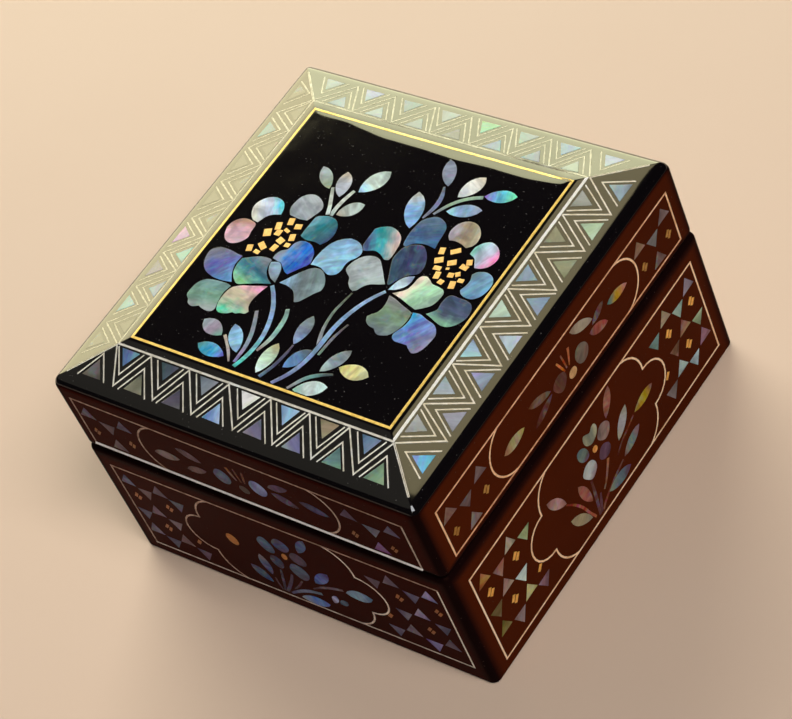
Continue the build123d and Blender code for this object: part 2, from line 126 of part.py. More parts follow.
# stems on the top
TOP_STEMS = [
    [(-6.3, -31.77), (-5.99, -30.72), (-5.78, -29.64), (-5.64, -28.54), (-5.56, -27.42), (-5.55, -26.28), (-5.61, -25.11), (-5.76, -23.91), (-6.02, -22.68), (-6.37, -21.43), (-6.79, -20.21), (-7.28, -19.01), (-7.84, -17.84), (-8.45, -16.73), (-9.12, -15.71), (-10.52, -13.89), (-11.19, -13.13), (-12.47, -11.79), (-13.13, -12.41), (-11.89, -13.76), (-11.28, -14.51), (-9.96, -16.29), (-9.35, -17.27), (-8.79, -18.32), (-8.27, -19.45), (-7.81, -20.59), (-7.42, -21.76), (-7.09, -22.94), (-6.84, -24.09), (-6.7, -25.2), (-6.63, -26.3), (-6.64, -27.38), (-6.7, -28.44), (-6.82, -29.47), (-7.01, -30.48), (-7.28, -31.46), (-7.97, -33.43), (-7.03, -33.77)],
    [(5.32, -32.4), (6.05, -31.24), (6.62, -30.08), (7.07, -28.92), (7.44, -27.74), (7.73, -26.51), (7.93, -25.27), (8.08, -24.05), (8.16, -22.88), (8.29, -18.25), (8.39, -17.07), (8.56, -15.89), (8.77, -14.71), (9.04, -13.55), (9.37, -12.4), (9.76, -11.27), (10.17, -10.21), (10.61, -9.23), (11.58, -7.45), (12.11, -6.65), (13.22, -5.14), (12.58, -4.66), (11.4, -6.14), (10.82, -6.95), (9.73, -8.78), (9.23, -9.79), (8.76, -10.89), (8.33, -12.06), (7.96, -13.25), (7.65, -14.46), (7.4, -15.69), (7.21, -16.93), (7.1, -18.17), (7, -20.58), (6.98, -22.84), (6.92, -23.95), (6.61, -26.3), (6.36, -27.46), (6.04, -28.58), (5.65, -29.67), (5.15, -30.76), (4.5, -31.86), (2.93, -34.14), (3.37, -34.45), (3.82, -34.45)],
    [(-12.34, 9.29), (-13.39, 11.6), (-14.82, 14.21), (-16.09, 16.37), (-16.71, 16.03), (-15.58, 13.79), (-14.21, 11.2), (-13.26, 8.91)],
    [(-11.45, 9.11), (-11.51, 10.9), (-11.5, 11.77), (-11.41, 12.61), (-11.13, 14.29), (-10.52, 16.79), (-11.28, 17.01), (-11.84, 15.36), (-12.07, 14.51), (-12.26, 13.63), (-12.5, 11.83), (-12.55, 10.14), (-12.19, 9.36), (-12.19, 9.23), (-12.29, 9.14), (-12.28, 9.1)],
    [(9.6, 16.59), (10.03, 18.03), (10.18, 18.79), (10.25, 19.59), (10.22, 20.42), (10.09, 21.27), (9.87, 22.13), (9.51, 22.98), (8.63, 24.6), (8.17, 24.4), (8.73, 22.68), (8.93, 21.87), (9.06, 21.1), (9.15, 19.61), (9.13, 18.9), (8.96, 17.5), (8.56, 15.37), (9.04, 15.23)],
    [(11.95, 18.86), (12.55, 19.76), (13.17, 20.53), (13.83, 21.23), (14.5, 21.86), (15.18, 22.41), (15.9, 22.89), (16.61, 23.3), (17.31, 23.63), (18.76, 24.18), (18.44, 25.02), (16.96, 24.46), (16.19, 24.1), (15.42, 23.65), (14.65, 23.14), (13.9, 22.54), (13.19, 21.86), (12.5, 21.1), (11.85, 20.24), (11.27, 19.25), (10.24, 17.14), (10.76, 16.86)],
    [(-9.24, -32.78), (-10.21, -31.31), (-10.75, -30.59), (-11.85, -29.36), (-12.41, -28.96), (-13.15, -28.24), (-13.48, -27.79), (-14.47, -26.94), (-14.93, -27.46), (-13.74, -28.5), (-12.51, -29.68), (-11.25, -31.01), (-9.56, -33.02)],
    [(-7.85, -32.6), (-7.74, -32.3), (-7.69, -29.86), (-7.74, -28.55), (-7.89, -27.39), (-8.12, -26.31), (-8.42, -25.25), (-8.81, -24.15), (-9.78, -22), (-10.31, -20.98), (-11.45, -19.01), (-12.15, -19.39), (-11.11, -21.39), (-10.17, -23.44), (-9.74, -24.5), (-9.38, -25.55), (-9.08, -26.56), (-8.84, -27.56), (-8.66, -28.65), (-8.56, -29.89), (-8.45, -32.6)],
    [(-3.91, -26.07), (-3.57, -24.89), (-3.4, -23.74), (-3.36, -22.64), (-3.4, -21.57), (-3.5, -20.5), (-3.66, -19.44), (-3.88, -18.46), (-4.19, -17.62), (-4.89, -16.21), (-5.71, -16.59), (-5.14, -17.99), (-4.92, -18.74), (-4.77, -19.62), (-4.66, -20.61), (-4.56, -22.65), (-4.56, -23.67), (-4.63, -24.71), (-4.83, -25.82), (-5.39, -28.21), (-4.81, -28.39)],
    [(1, -31.87), (1.39, -30.71), (1.69, -29.48), (1.91, -28.22), (2.05, -27.05), (2.11, -26.03), (2.1, -24.21), (1.7, -24.19), (1.5, -25.98), (0.91, -29.31), (0.61, -30.49), (0.22, -31.57), (-0.72, -33.73), (0.12, -34.07)],
    [(6.82, -22.34), (6.85, -20.36), (6.39, -19.27), (6.1, -18.46), (5.86, -17.53), (5.66, -16.4), (5.52, -15.16), (5.45, -14), (5.47, -12.99), (5.84, -10), (6.2, -7.84), (5.8, -7.76), (5.32, -9.9), (4.94, -11.95), (4.8, -12.94), (4.75, -14), (4.82, -15.22), (4.96, -16.5), (5.14, -17.67), (5.36, -18.66), (5.9, -20.36), (6.21, -21.13), (6.77, -22.35)],
    [(9.45, -20.44), (9.59, -19.47), (9.9, -17.88), (10.49, -15.46), (10.11, -15.34), (9.55, -16.91), (9.08, -18.52), (8.9, -19.36), (8.75, -20.36), (8.65, -21.63), (8.5, -24.48), (9.1, -24.52)],
    [(9.39, -32.1), (10.17, -31.13), (10.95, -30.41), (11.77, -29.82), (12.61, -29.29), (13.44, -28.83), (15.19, -28.03), (15.01, -27.57), (13.14, -28.12), (12.19, -28.51), (11.26, -29.01), (10.33, -29.63), (9.43, -30.47), (8.64, -31.59), (7.24, -34.14), (7.76, -34.46)],
]
# gold flakes in the heart of the left flower
LEFT_GOLD = [
    [(-18.78, 3.86), (-19.27, 5.7), (-20.62, 5.34), (-20.13, 3.5)],
    [(-16.2, 3.44), (-16.56, 4.8), (-18.2, 4.36), (-17.84, 3)],
    [(-20.78, 1.85), (-21.5, 3.83), (-22.82, 3.35), (-22.1, 1.37)],
    [(-18.26, 2.22), (-19.67, 2.73), (-19.94, 1.98), (-18.53, 1.47)],
    [(-19.95, 1.81), (-20.03, 1.85), (-20.62, 1.85), (-20.73, 1.7), (-21.45, 1.44), (-21.45, 0.15), (-19.95, 0.15)],
    [(-21.94, -0.37), (-22.83, 1.53), (-24.46, 0.77), (-23.57, -1.13)],
    [(-15.72, 0.15), (-16.37, 1.93), (-17.68, 1.45), (-17.03, -0.33)],
    [(-17.7, -0.4), (-19.39, 0.21), (-19.9, -1.2), (-18.21, -1.81)],
    [(-15.85, -0.85), (-17.15, -0.85), (-17.15, -1.95), (-15.85, -1.95)],
    [(-18.15, -2.24), (-19.53, -1.99), (-19.85, -3.76), (-18.47, -4.01)],
    [(-20.66, -3.49), (-22.54, -2.17), (-23.34, -3.31), (-21.46, -4.63)],
    [(-23.53, -5.51), (-24.15, -3.81), (-25.47, -4.29), (-24.85, -5.99)],
    [(-21.37, -4.94), (-22.85, -4.68), (-23.03, -5.66), (-21.55, -5.92)],
]
# gold flakes in the heart of the right flower
RIGHT_GOLD = [
    [(19.26, 8.1), (18.79, 9.84), (17.54, 9.5), (18.01, 7.76)],
    [(22.71, 9.83), (21.97, 10.89), (20.09, 9.57), (20.83, 8.51)],
    [(27.01, 7.59), (26.37, 8.95), (25.19, 8.41), (25.83, 7.05)],
    [(20.44, 6.25), (19.69, 7.55), (17.96, 6.55), (18.71, 5.25)],
    [(23.62, 6.59), (22.92, 7.81), (21.18, 6.81), (21.88, 5.59)],
    [(26.73, 7.01), (26.27, 7.08), (25.83, 6.89), (25.68, 6.98), (25.59, 7.17), (24.85, 7.28), (24.67, 5.99), (26.55, 5.72)],
    [(21.04, 3.93), (20.95, 5.03), (19.16, 4.87), (19.25, 3.77)],
    [(22.88, 4.85), (22.67, 5.42), (21.92, 5.15), (22.13, 4.58)],
    [(26.29, 4.22), (25.61, 5.21), (24.71, 4.58), (25.39, 3.59)],
    [(24.89, 3.23), (24.71, 4.3), (24.63, 4.4), (23.31, 4.17), (23.51, 2.99)],
    [(27.84, 2.66), (27.75, 3.66), (26.36, 3.54), (26.45, 2.54)],
    [(22.01, 1.88), (21.68, 3.75), (20.39, 3.52), (20.72, 1.65)],
    [(23.74, 1.88), (22.46, 2.1), (22.26, 0.92), (23.54, 0.7)],
    [(26.83, 0.72), (26.38, 2.4), (26.3, 2.47), (26.28, 2.64), (24.97, 2.28), (25.48, 0.35)],
]
# bent strips on the front and left bevels
BEVEL_F_ZIGZAG = [
    [(-27.7, -2.48), (-21.88, -11.23), (-16.88, -2.49), (-11.04, -11.23), (-5.89, -2.48), (0.37, -11.22), (5.49, -2.49), (11.07, -11.24), (15.85, -2.5), (21.36, -11.24), (26.31, -2.49), (32.31, -11.22), (37.58, -2.46), (37.32, -2.19), (32.29, -10.56), (26.49, -2.12), (26.1, -2.12), (21.34, -10.54), (16.03, -2.12), (15.64, -2.12), (11.05, -10.54), (5.69, -2.12), (5.29, -2.12), (0.34, -10.56), (-5.7, -2.12), (-6.1, -2.12), (-11.06, -10.55), (-16.69, -2.12), (-17.08, -2.12), (-21.91, -10.55), (-27.5, -2.12), (-27.9, -2.12), (-33.15, -10.52), (-37.33, -2.2), (-37.6, -2.48), (-33.19, -11.26)],
    [(-39.6, -5.35), (-35.94, -11.17), (-35.67, -11), (-39.6, -4.74), (-43.56, -11.05), (-43.29, -11.22)],
    [(-23.76, -11.26), (-27.8, -4.83), (-31.78, -11.16), (-31.5, -11.33), (-27.8, -5.43), (-24.03, -11.43)],
    [(-16.9, -5.41), (-13.3, -11.15), (-13.03, -10.98), (-16.9, -4.81), (-20.87, -11.13), (-20.59, -11.3)],
    [(-5.8, -5.57), (-2.33, -11.1), (-2.06, -10.93), (-5.8, -4.97), (-9.6, -11.02), (-9.33, -11.19)],
    [(9.56, -11.23), (5.5, -4.76), (1.62, -10.94), (1.89, -11.11), (5.5, -5.36), (9.29, -11.4)],
    [(19.75, -11.23), (15.8, -4.94), (12.02, -10.95), (12.3, -11.12), (15.8, -5.54), (19.48, -11.4)],
    [(26.4, -5.8), (29.72, -11.09), (29.99, -10.92), (26.4, -5.19), (22.73, -11.04), (23, -11.21)],
    [(41.41, -11), (37.5, -4.78), (33.66, -10.9), (33.93, -11.07), (37.5, -5.38), (41.14, -11.17)],
    [(-29.43, -2.47), (-29.7, -2.3), (-33.2, -7.88), (-36.7, -2.3), (-36.97, -2.47), (-33.2, -8.48)],
    [(-18.19, -2.47), (-18.46, -2.3), (-22, -7.94), (-25.54, -2.3), (-25.81, -2.47), (-22, -8.54)],
    [(-7.28, -2.47), (-7.55, -2.3), (-11.1, -7.95), (-14.65, -2.3), (-14.92, -2.47), (-11.1, -8.55)],
    [(4.2, -2.47), (3.93, -2.3), (0.3, -8.08), (-3.33, -2.3), (-3.6, -2.47), (0.3, -8.68)],
    [(14.98, -2.47), (14.71, -2.3), (11, -8.21), (7.29, -2.3), (7.02, -2.47), (11, -8.81)],
    [(25.34, -2.47), (25.07, -2.3), (21.4, -8.15), (17.73, -2.3), (17.46, -2.47), (21.4, -8.75)],
    [(36.06, -2.47), (35.79, -2.3), (32.2, -8.01), (28.61, -2.3), (28.34, -2.47), (32.2, -8.61)],
]
# square line strip, front and left
BEVEL_F_PEARL = [
    [(-37.14, -1.6), (37.14, -1.6), (37.6, -2.07), (-37.6, -2.07)],
]
# strips along the mitres of the front and left bevels
BEVEL_F_MITRE = [
    [(-37.28, -2.11), (-37.58, -2.11), (-46.57, -11.41), (-46.24, -11.41)],
    [(37.58, -2.11), (37.28, -2.11), (46.24, -11.41), (46.57, -11.41)],
]
# triangles along the outer edge, front and left
BEVEL_F_OUTER = [
    [(-37.04, -10.76), (-39.78, -6.52), (-42.23, -10.79)],
    [(-27.65, -6.5), (-30.26, -10.72), (-25.2, -10.81)],
    [(-16.72, -6.69), (-19.57, -10.75), (-14.33, -10.78)],
    [(-5.64, -6.58), (-8.29, -10.71), (-3.34, -10.82)],
    [(5.63, -6.7), (2.93, -10.7), (8.07, -10.86)],
    [(18.28, -10.73), (15.81, -6.64), (13.34, -10.75)],
    [(26.38, -6.6), (23.93, -10.82), (29.04, -10.83)],
    [(37.56, -6.53), (34.76, -10.83), (40.02, -10.86)],
]
# triangles along the inner edge, front and left
BEVEL_F_INNER = [
    [(-30.72, -2.51), (-35.74, -2.46), (-33.36, -6.25)],
    [(-19.58, -2.46), (-24.44, -2.5), (-21.96, -6.23)],
    [(-8.54, -2.5), (-13.6, -2.49), (-10.95, -6.37)],
    [(2.86, -2.51), (-2.21, -2.46), (0.22, -6.23)],
    [(13.43, -2.46), (8.55, -2.51), (11.07, -6.51)],
    [(23.81, -2.48), (18.88, -2.44), (21.47, -6.28)],
    [(34.65, -2.46), (29.82, -2.51), (32.39, -6.32)],
]
# frame strips, front and left faces of the base
BASE_F_FRAME = [
    [(-45.33, 31.57), (45.93, 32.18), (45.93, 32.62), (-45.33, 32.02)],
    [(-45.33, 2.87), (45.73, 4.19), (45.73, 4.62), (-45.33, 3.32)],
    [(-45.33, 3.36), (-44.87, 3.37), (-44.87, 31.54), (-45.33, 31.54)],
    [(45.27, 4.65), (45.73, 4.66), (45.93, 32.15), (45.47, 32.14)],
]
# curved strips that close the cartouche, front and left faces of the base
BASE_F_CARTOUCHE = [
    [(-18.55, 4.32), (-19.75, 5.16), (-20.77, 6.19), (-21.59, 7.38), (-22.17, 8.7), (-22.49, 10.1), (-22.56, 11.74), (-24.33, 11.97), (-25.78, 12.55), (-27.01, 13.47), (-27.96, 14.67), (-28.55, 16.07), (-28.75, 17.57), (-28.55, 19.08), (-27.95, 20.49), (-27, 21.71), (-25.76, 22.66), (-24.32, 23.27), (-22.53, 23.54), (-22.54, 25.24), (-22.23, 26.7), (-21.64, 28.08), (-20.78, 29.32), (-19.69, 30.37), (-18.4, 31.2), (-17.09, 31.72), (-18.31, 31.72), (-18.62, 31.6), (-19.98, 30.72), (-21.14, 29.6), (-22.05, 28.29), (-22.68, 26.83), (-23, 25.28), (-23, 23.92), (-24.44, 23.7), (-26, 23.04), (-27.33, 22.02), (-28.35, 20.71), (-28.99, 19.19), (-29.21, 17.57), (-29, 15.95), (-28.36, 14.44), (-27.34, 13.15), (-26.01, 12.16), (-24.46, 11.54), (-23.01, 11.35), (-22.95, 10.03), (-22.61, 8.56), (-21.99, 7.16), (-21.14, 5.91), (-20.06, 4.82), (-18.79, 3.94), (-18.37, 3.74), (-17.33, 3.76)],
    [(17.75, 4.97), (18.88, 5.93), (19.8, 7.06), (20.49, 8.33), (20.92, 9.7), (21.05, 10.93), (22.59, 11.22), (24.19, 11.94), (25.56, 13.03), (26.61, 14.4), (27.28, 15.97), (27.51, 17.64), (27.3, 19.3), (26.65, 20.86), (25.61, 22.21), (24.25, 23.26), (22.65, 23.95), (21.13, 24.2), (21.09, 25.59), (20.73, 27.14), (20.07, 28.58), (19.12, 29.88), (17.93, 30.97), (16.54, 31.83), (16.22, 31.95), (14.99, 31.94), (16.32, 31.43), (17.64, 30.62), (18.77, 29.59), (19.66, 28.36), (20.29, 26.99), (20.63, 25.53), (20.68, 23.83), (22.51, 23.53), (24, 22.88), (25.28, 21.9), (26.24, 20.64), (26.85, 19.19), (27.04, 17.63), (26.83, 16.07), (26.21, 14.61), (25.23, 13.33), (23.95, 12.32), (22.45, 11.64), (20.63, 11.3), (20.46, 9.78), (20.06, 8.49), (19.41, 7.29), (18.54, 6.22), (17.48, 5.33), (16.27, 4.64), (15.08, 4.22), (16.46, 4.24)],
]
# lattice triangles, front and left faces of the base
BASE_F_TRIANGLES = [
    [(-42.23, 29.89), (-44.56, 26.39), (-40.26, 26.22)],
    [(-33.04, 29.93), (-35.28, 26.37), (-30.85, 26.34)],
    [(-35.74, 26.24), (-40.02, 25.92), (-37.67, 22.49)],
    [(-26.32, 26.14), (-30.62, 26.16), (-28.5, 22.5)],
    [(-35.49, 17.12), (-37.89, 20.6), (-39.94, 16.89)],
    [(-40.15, 16.72), (-44.49, 16.78), (-42.56, 13.12)],
    [(-30.98, 16.91), (-35.15, 16.77), (-33.08, 13.37)],
    [(-40.15, 8.19), (-42.44, 11.9), (-44.58, 8.1)],
    [(-30.85, 8.4), (-33.13, 11.97), (-35.26, 8.31)],
    [(-35.47, 8.07), (-39.98, 8.07), (-37.78, 4.5)],
    [(-26.3, 8.1), (-30.61, 8.25), (-28.57, 4.46)],
    [(42.05, 30.43), (39.74, 27.03), (44.02, 26.85)],
    [(33.89, 27), (31.55, 30.4), (29.44, 26.7)],
    [(39.03, 26.56), (34.59, 26.67), (36.69, 22.97)],
    [(28.67, 26.6), (24.37, 26.59), (26.63, 23.06)],
    [(38.84, 17.84), (36.73, 21.27), (34.49, 17.78)],
    [(44.05, 17.74), (39.79, 17.49), (41.92, 14.24)],
    [(33.73, 17.45), (29.36, 17.57), (31.43, 13.98)],
    [(41.9, 12.76), (39.56, 9.39), (43.92, 9.23)],
    [(31.63, 12.7), (29.22, 9.23), (33.66, 9.06)],
    [(38.94, 9.14), (34.27, 8.9), (36.72, 5.38)],
    [(28.68, 8.84), (24.35, 8.97), (26.29, 5.31)],
]
# gold bars in the lattice, front and left faces of the base
BASE_F_BARS = [
    [(-40.38, 22.28), (-41, 22.7), (-42.12, 21.15), (-41.5, 20.73)],
    [(-41.16, 23.17), (-41.82, 23.53), (-42.81, 21.84), (-42.15, 21.48)],
    [(-31.06, 22.28), (-31.69, 22.7), (-32.8, 21.13), (-32.18, 20.72)],
    [(-31.87, 23.08), (-32.52, 23.45), (-33.45, 21.92), (-32.8, 21.55)],
    [(-35.78, 12.94), (-36.45, 13.29), (-37.42, 11.58), (-36.76, 11.23)],
    [(-36.47, 13.64), (-37.1, 14.05), (-38.23, 12.43), (-37.6, 12.02)],
    [(-27.46, 12.06), (-28.26, 12.55), (-29.29, 11), (-28.5, 10.51)],
    [(43.95, 23.06), (43.33, 23.47), (42.19, 21.95), (42.81, 21.53)],
    [(43.2, 23.83), (42.58, 24.22), (41.55, 22.78), (42.17, 22.38)],
    [(33.64, 22.88), (33.02, 23.29), (31.87, 21.74), (32.49, 21.33)],
    [(32.83, 23.72), (32.17, 24.07), (31.22, 22.44), (31.88, 22.1)],
    [(38.65, 13.65), (38.02, 14.05), (36.98, 12.58), (37.61, 12.19)],
    [(37.95, 14.46), (37.32, 14.86), (36.26, 13.35), (36.89, 12.95)],
    [(27.31, 13.6), (26.54, 14.08), (26.11, 13.52), (25.39, 12.49), (26.18, 12)],
]
# petals of the spray, front and left faces of the base
BASE_F_PETALS = [
    [(-3.49, 20.16), (-3.06, 20.33), (-2.68, 20.59), (-2.4, 20.9), (-2.24, 21.27), (-2.16, 21.73), (-2.16, 22.21), (-2.27, 23.1), (-2.54, 23.96), (-2.9, 24.7), (-3.26, 25.17), (-3.67, 25.52), (-4.1, 25.7), (-4.54, 25.66), (-4.99, 25.45), (-5.4, 25.1), (-5.91, 24.49), (-6.15, 24.11), (-6.33, 23.71), (-6.4, 23.3), (-6.35, 22.85), (-6.21, 22.35), (-6, 21.84), (-5.76, 21.38), (-5.5, 21), (-5.15, 20.64), (-4.74, 20.36), (-4.31, 20.17), (-3.9, 20.1)],
    [(1, 22.76), (1.42, 22.91), (1.84, 23.13), (2.2, 23.4), (2.53, 23.74), (2.84, 24.14), (3.08, 24.58), (3.2, 25), (3.17, 25.42), (3.01, 25.85), (2.78, 26.26), (2.5, 26.6), (2.16, 26.89), (1.75, 27.14), (1.31, 27.32), (0.9, 27.4), (0.51, 27.36), (0.11, 27.21), (-0.26, 26.99), (-0.6, 26.7), (-1.12, 26.05), (-1.35, 25.66), (-1.52, 25.26), (-1.6, 24.9), (-1.54, 24.46), (-1.35, 24.03), (-1.08, 23.62), (-0.8, 23.3), (-0.39, 22.98), (0.1, 22.77), (0.6, 22.7)],
    [(5.11, 19.67), (5.5, 19.8), (5.85, 20.03), (6.18, 20.34), (6.44, 20.71), (6.6, 21.1), (6.65, 21.53), (6.61, 22.01), (6.49, 22.49), (6.3, 22.9), (6.01, 23.26), (5.63, 23.59), (5.21, 23.85), (4.8, 24), (4.4, 24.04), (3.98, 23.98), (3.57, 23.83), (3.2, 23.6), (2.86, 23.26), (2.53, 22.81), (2.26, 22.33), (2.1, 21.9), (2.06, 21.39), (2.17, 20.91), (2.4, 20.5), (2.67, 20.24), (3.01, 20.01), (3.4, 19.82), (3.8, 19.7), (4.22, 19.63), (4.67, 19.62)],
    [(3.01, 13.35), (3.44, 13.52), (3.84, 13.78), (4.2, 14.1), (4.72, 14.78), (4.94, 15.19), (5.11, 15.6), (5.2, 16), (5.21, 16.49), (5.12, 17), (4.94, 17.48), (4.7, 17.9), (4.36, 18.26), (3.92, 18.59), (3.45, 18.84), (3, 19), (2.56, 19.06), (2.12, 19.03), (1.69, 18.91), (1.3, 18.7), (1.01, 18.43), (0.73, 18.06), (0.26, 17.25), (0.1, 16.9), (-0.02, 16.46), (-0.01, 16.09), (0.1, 15.7), (0.45, 14.99), (0.7, 14.63), (1, 14.3), (1.76, 13.66), (2.18, 13.41), (2.6, 13.3)],
    [(-2.76, 14.86), (-2.33, 15.23), (-2, 15.7), (-1.85, 16.05), (-1.62, 16.9), (-1.58, 17.32), (-1.6, 17.7), (-1.74, 18.13), (-1.97, 18.52), (-2.28, 18.86), (-2.6, 19.1), (-2.97, 19.24), (-3.4, 19.3), (-3.83, 19.26), (-4.2, 19.1), (-4.46, 18.86), (-4.72, 18.51), (-4.94, 18.11), (-5.11, 17.69), (-5.2, 17.3), (-5.18, 16.83), (-5.05, 16.34), (-4.84, 15.88), (-4.6, 15.5), (-4.3, 15.19), (-3.94, 14.92), (-3.55, 14.75), (-3.2, 14.7)],
]
# leaves of the spray, front and left faces of the base
BASE_F_LEAVES = [
    [(6.78, 25.45), (7.54, 26.04), (8.2, 26.68), (8.76, 27.39), (9.21, 28.17), (9.53, 29.03), (9.71, 29.98), (9.6, 31.1), (8.54, 30.7), (7.77, 30.12), (7.14, 29.46), (6.64, 28.71), (6.25, 27.89), (5.96, 27.01), (5.77, 26.07), (5.8, 25)],
    [(7.4, 14.38), (8.38, 14.87), (9.27, 15.44), (10.06, 16.11), (10.73, 16.89), (11.28, 17.78), (11.68, 18.81), (11.8, 20.1), (10.52, 19.89), (9.52, 19.42), (8.67, 18.81), (7.94, 18.09), (7.33, 17.26), (6.82, 16.33), (6.4, 15.32), (6.2, 14.1)],
    [(19.37, 14.29), (20.36, 14.55), (21.31, 15.02), (22.21, 15.72), (23, 16.9), (21.79, 17.65), (20.69, 17.93), (19.64, 17.98), (18.63, 17.81), (17.66, 17.45), (16.72, 16.93), (15.82, 16.24), (15, 15.2), (16.18, 14.58), (17.28, 14.32), (18.34, 14.22)],
    [(9.79, 8.62), (10.22, 8.92), (10.57, 9.26), (10.85, 9.64), (11.04, 10.06), (11.14, 10.53), (11.13, 11.06), (10.9, 11.7), (10.25, 11.51), (9.81, 11.22), (9.48, 10.86), (9.25, 10.46), (9.1, 10.02), (9.03, 9.53), (9.03, 9.01), (9.2, 8.4)],
    [(12.28, 8.94), (12.71, 9.06), (13.08, 9.25), (13.39, 9.52), (13.63, 9.88), (13.79, 10.34), (13.8, 11), (13.16, 11.16), (12.67, 11.12), (12.26, 10.98), (11.92, 10.75), (11.64, 10.44), (11.42, 10.06), (11.25, 9.61), (11.2, 9), (11.8, 8.89)],
    [(3.3, 4.14), (4.31, 4.35), (5.36, 4.78), (6.37, 5.42), (7.3, 6.5), (6.06, 7.2), (4.89, 7.47), (3.76, 7.52), (2.67, 7.38), (1.61, 7.05), (0.57, 6.58), (-0.45, 5.96), (-1.4, 5), (-0.18, 4.42), (0.98, 4.17), (1.64, 4.11)],
    [(-7.04, 11.08), (-6.77, 12.04), (-6.62, 12.98), (-6.61, 13.9), (-6.74, 14.81), (-7.05, 15.7), (-7.54, 16.57), (-8.4, 17.4), (-9.06, 16.4), (-9.35, 15.45), (-9.46, 14.51), (-9.39, 13.6), (-9.18, 12.7), (-8.83, 11.81), (-8.36, 10.94), (-7.6, 10.1)],
    [(-8.8, 6.7), (-8.84, 7.84), (-9.12, 8.72), (-9.5, 9.49), (-9.99, 10.14), (-10.6, 10.66), (-11.36, 11.03), (-12.28, 11.23), (-13.5, 11.1), (-13.55, 9.87), (-13.29, 8.97), (-12.87, 8.24), (-12.31, 7.66), (-11.63, 7.21), (-10.83, 6.88), (-9.94, 6.66)],
]
# stems of the spray, front and left faces of the base
BASE_F_STEMS = [
    [(6.39, 12.05), (7.38, 12.58), (9.58, 13.64), (10.74, 14.13), (11.96, 14.56), (14.5, 15.36), (14.3, 16.04), (11.72, 15.3), (10.46, 14.87), (9.25, 14.37), (8.1, 13.81), (7.02, 13.22), (6.05, 12.58), (4.29, 11.27), (4.51, 10.93)],
    [(-2.85, 5.51), (-0.33, 7.11), (0.64, 7.66), (1.6, 8.14), (2.58, 8.57), (3.55, 8.94), (4.51, 9.22), (6.49, 9.66), (6.31, 10.54), (4.29, 10.14), (3.25, 9.86), (2.21, 9.49), (1.17, 9.04), (0.16, 8.54), (-0.84, 7.93), (-1.8, 7.26), (-3.3, 6.1), (-4.39, 5.13), (-4.01, 4.67)],
    [(-3.82, 6.71), (-2.12, 9.54), (-1.62, 10.5), (-1.16, 11.52), (-0.33, 13.58), (-0.87, 13.82), (-2.38, 10.9), (-3.98, 8.13), (-5.74, 5.21), (-5.06, 4.79)],
    [(-0.88, 8.57), (-0.17, 9.31), (0.56, 10.25), (2, 12.35), (1.6, 12.65), (-0.63, 9.69), (-1.28, 8.95), (-2.54, 7.64), (-2.26, 7.36)],
    [(-5.63, 5.03), (-5.82, 5.15), (-5.84, 5.23), (-5.35, 6.06), (-4.28, 10), (-3.31, 14.02), (-3.89, 14.18), (-5.05, 10.21), (-6.34, 5.09), (-5.66, 4.91)],
    [(-6.51, 4.96), (-6.8, 6.43), (-6.9, 7.13), (-6.95, 9.09), (-7.45, 9.11), (-7.52, 7.78), (-7.5, 7.07), (-7.39, 6.33), (-7.09, 4.84)],
]
# gold heart of the spray, front and left faces of the base
BASE_F_GOLD = [
    [(0.24, 19.6), (0.62, 19.9), (0.93, 20.36), (1.08, 20.89), (1.07, 21.37), (0.88, 21.73), (0.55, 21.88), (0.16, 21.8), (-0.22, 21.5), (-0.53, 21.04), (-0.68, 20.51), (-0.67, 20.03), (-0.48, 19.67), (-0.15, 19.52)],
    [(-14.35, 17.51), (-13.83, 18.05), (-13.58, 18.83), (-13.65, 19.71), (-14.03, 20.51), (-14.64, 21.07), (-15.36, 21.28), (-16.05, 21.09), (-16.57, 20.55), (-16.82, 19.77), (-16.75, 18.89), (-16.37, 18.09), (-15.76, 17.53), (-15.04, 17.32)],
]
# frame strips, front and left faces of the lid
LID_F_FRAME = [
    [(-46.03, 54.58), (44.33, 52.98), (44.33, 53.41), (-46.03, 55.03)],
    [(-46.03, 39.17), (44.33, 38.59), (44.33, 39.01), (-46.03, 39.63)],
    [(-46.03, 39.67), (-45.57, 39.67), (-45.57, 54.53), (-46.03, 54.54)],
    [(43.87, 39.05), (44.33, 39.05), (44.33, 52.95), (43.87, 52.95)],
]
# curved strips that close the cartouche, front and left faces of the lid
LID_F_CARTOUCHE = [
    [(-25.46, 40.09), (-26.36, 40.85), (-27.15, 41.74), (-27.79, 42.73), (-28.28, 43.8), (-28.62, 44.93), (-28.78, 46.09), (-28.78, 47.26), (-28.6, 48.41), (-28.26, 49.53), (-27.75, 50.58), (-27.1, 51.55), (-26.31, 52.41), (-25.4, 53.14), (-24.39, 53.74), (-23.42, 54.14), (-24.57, 54.16), (-25.67, 53.51), (-26.63, 52.74), (-27.46, 51.83), (-28.15, 50.81), (-28.68, 49.7), (-29.05, 48.52), (-29.23, 47.3), (-29.24, 46.06), (-29.07, 44.83), (-28.71, 43.64), (-28.19, 42.52), (-27.51, 41.47), (-26.69, 40.54), (-25.73, 39.73), (-25.42, 39.53), (-24.56, 39.52)],
    [(21.12, 39.29), (22.17, 39.98), (23.09, 40.81), (23.87, 41.76), (24.5, 42.81), (24.94, 43.94), (25.21, 45.12), (25.28, 46.33), (25.16, 47.54), (24.85, 48.72), (24.35, 49.84), (23.69, 50.89), (22.87, 51.83), (21.91, 52.65), (20.75, 53.36), (19.63, 53.38), (20.62, 52.94), (21.63, 52.3), (22.54, 51.53), (23.32, 50.64), (23.94, 49.65), (24.41, 48.59), (24.7, 47.47), (24.82, 46.33), (24.75, 45.19), (24.5, 44.07), (24.08, 43), (23.49, 42), (22.75, 41.1), (21.88, 40.32), (20.89, 39.67), (19.92, 39.22), (20.94, 39.21)],
]
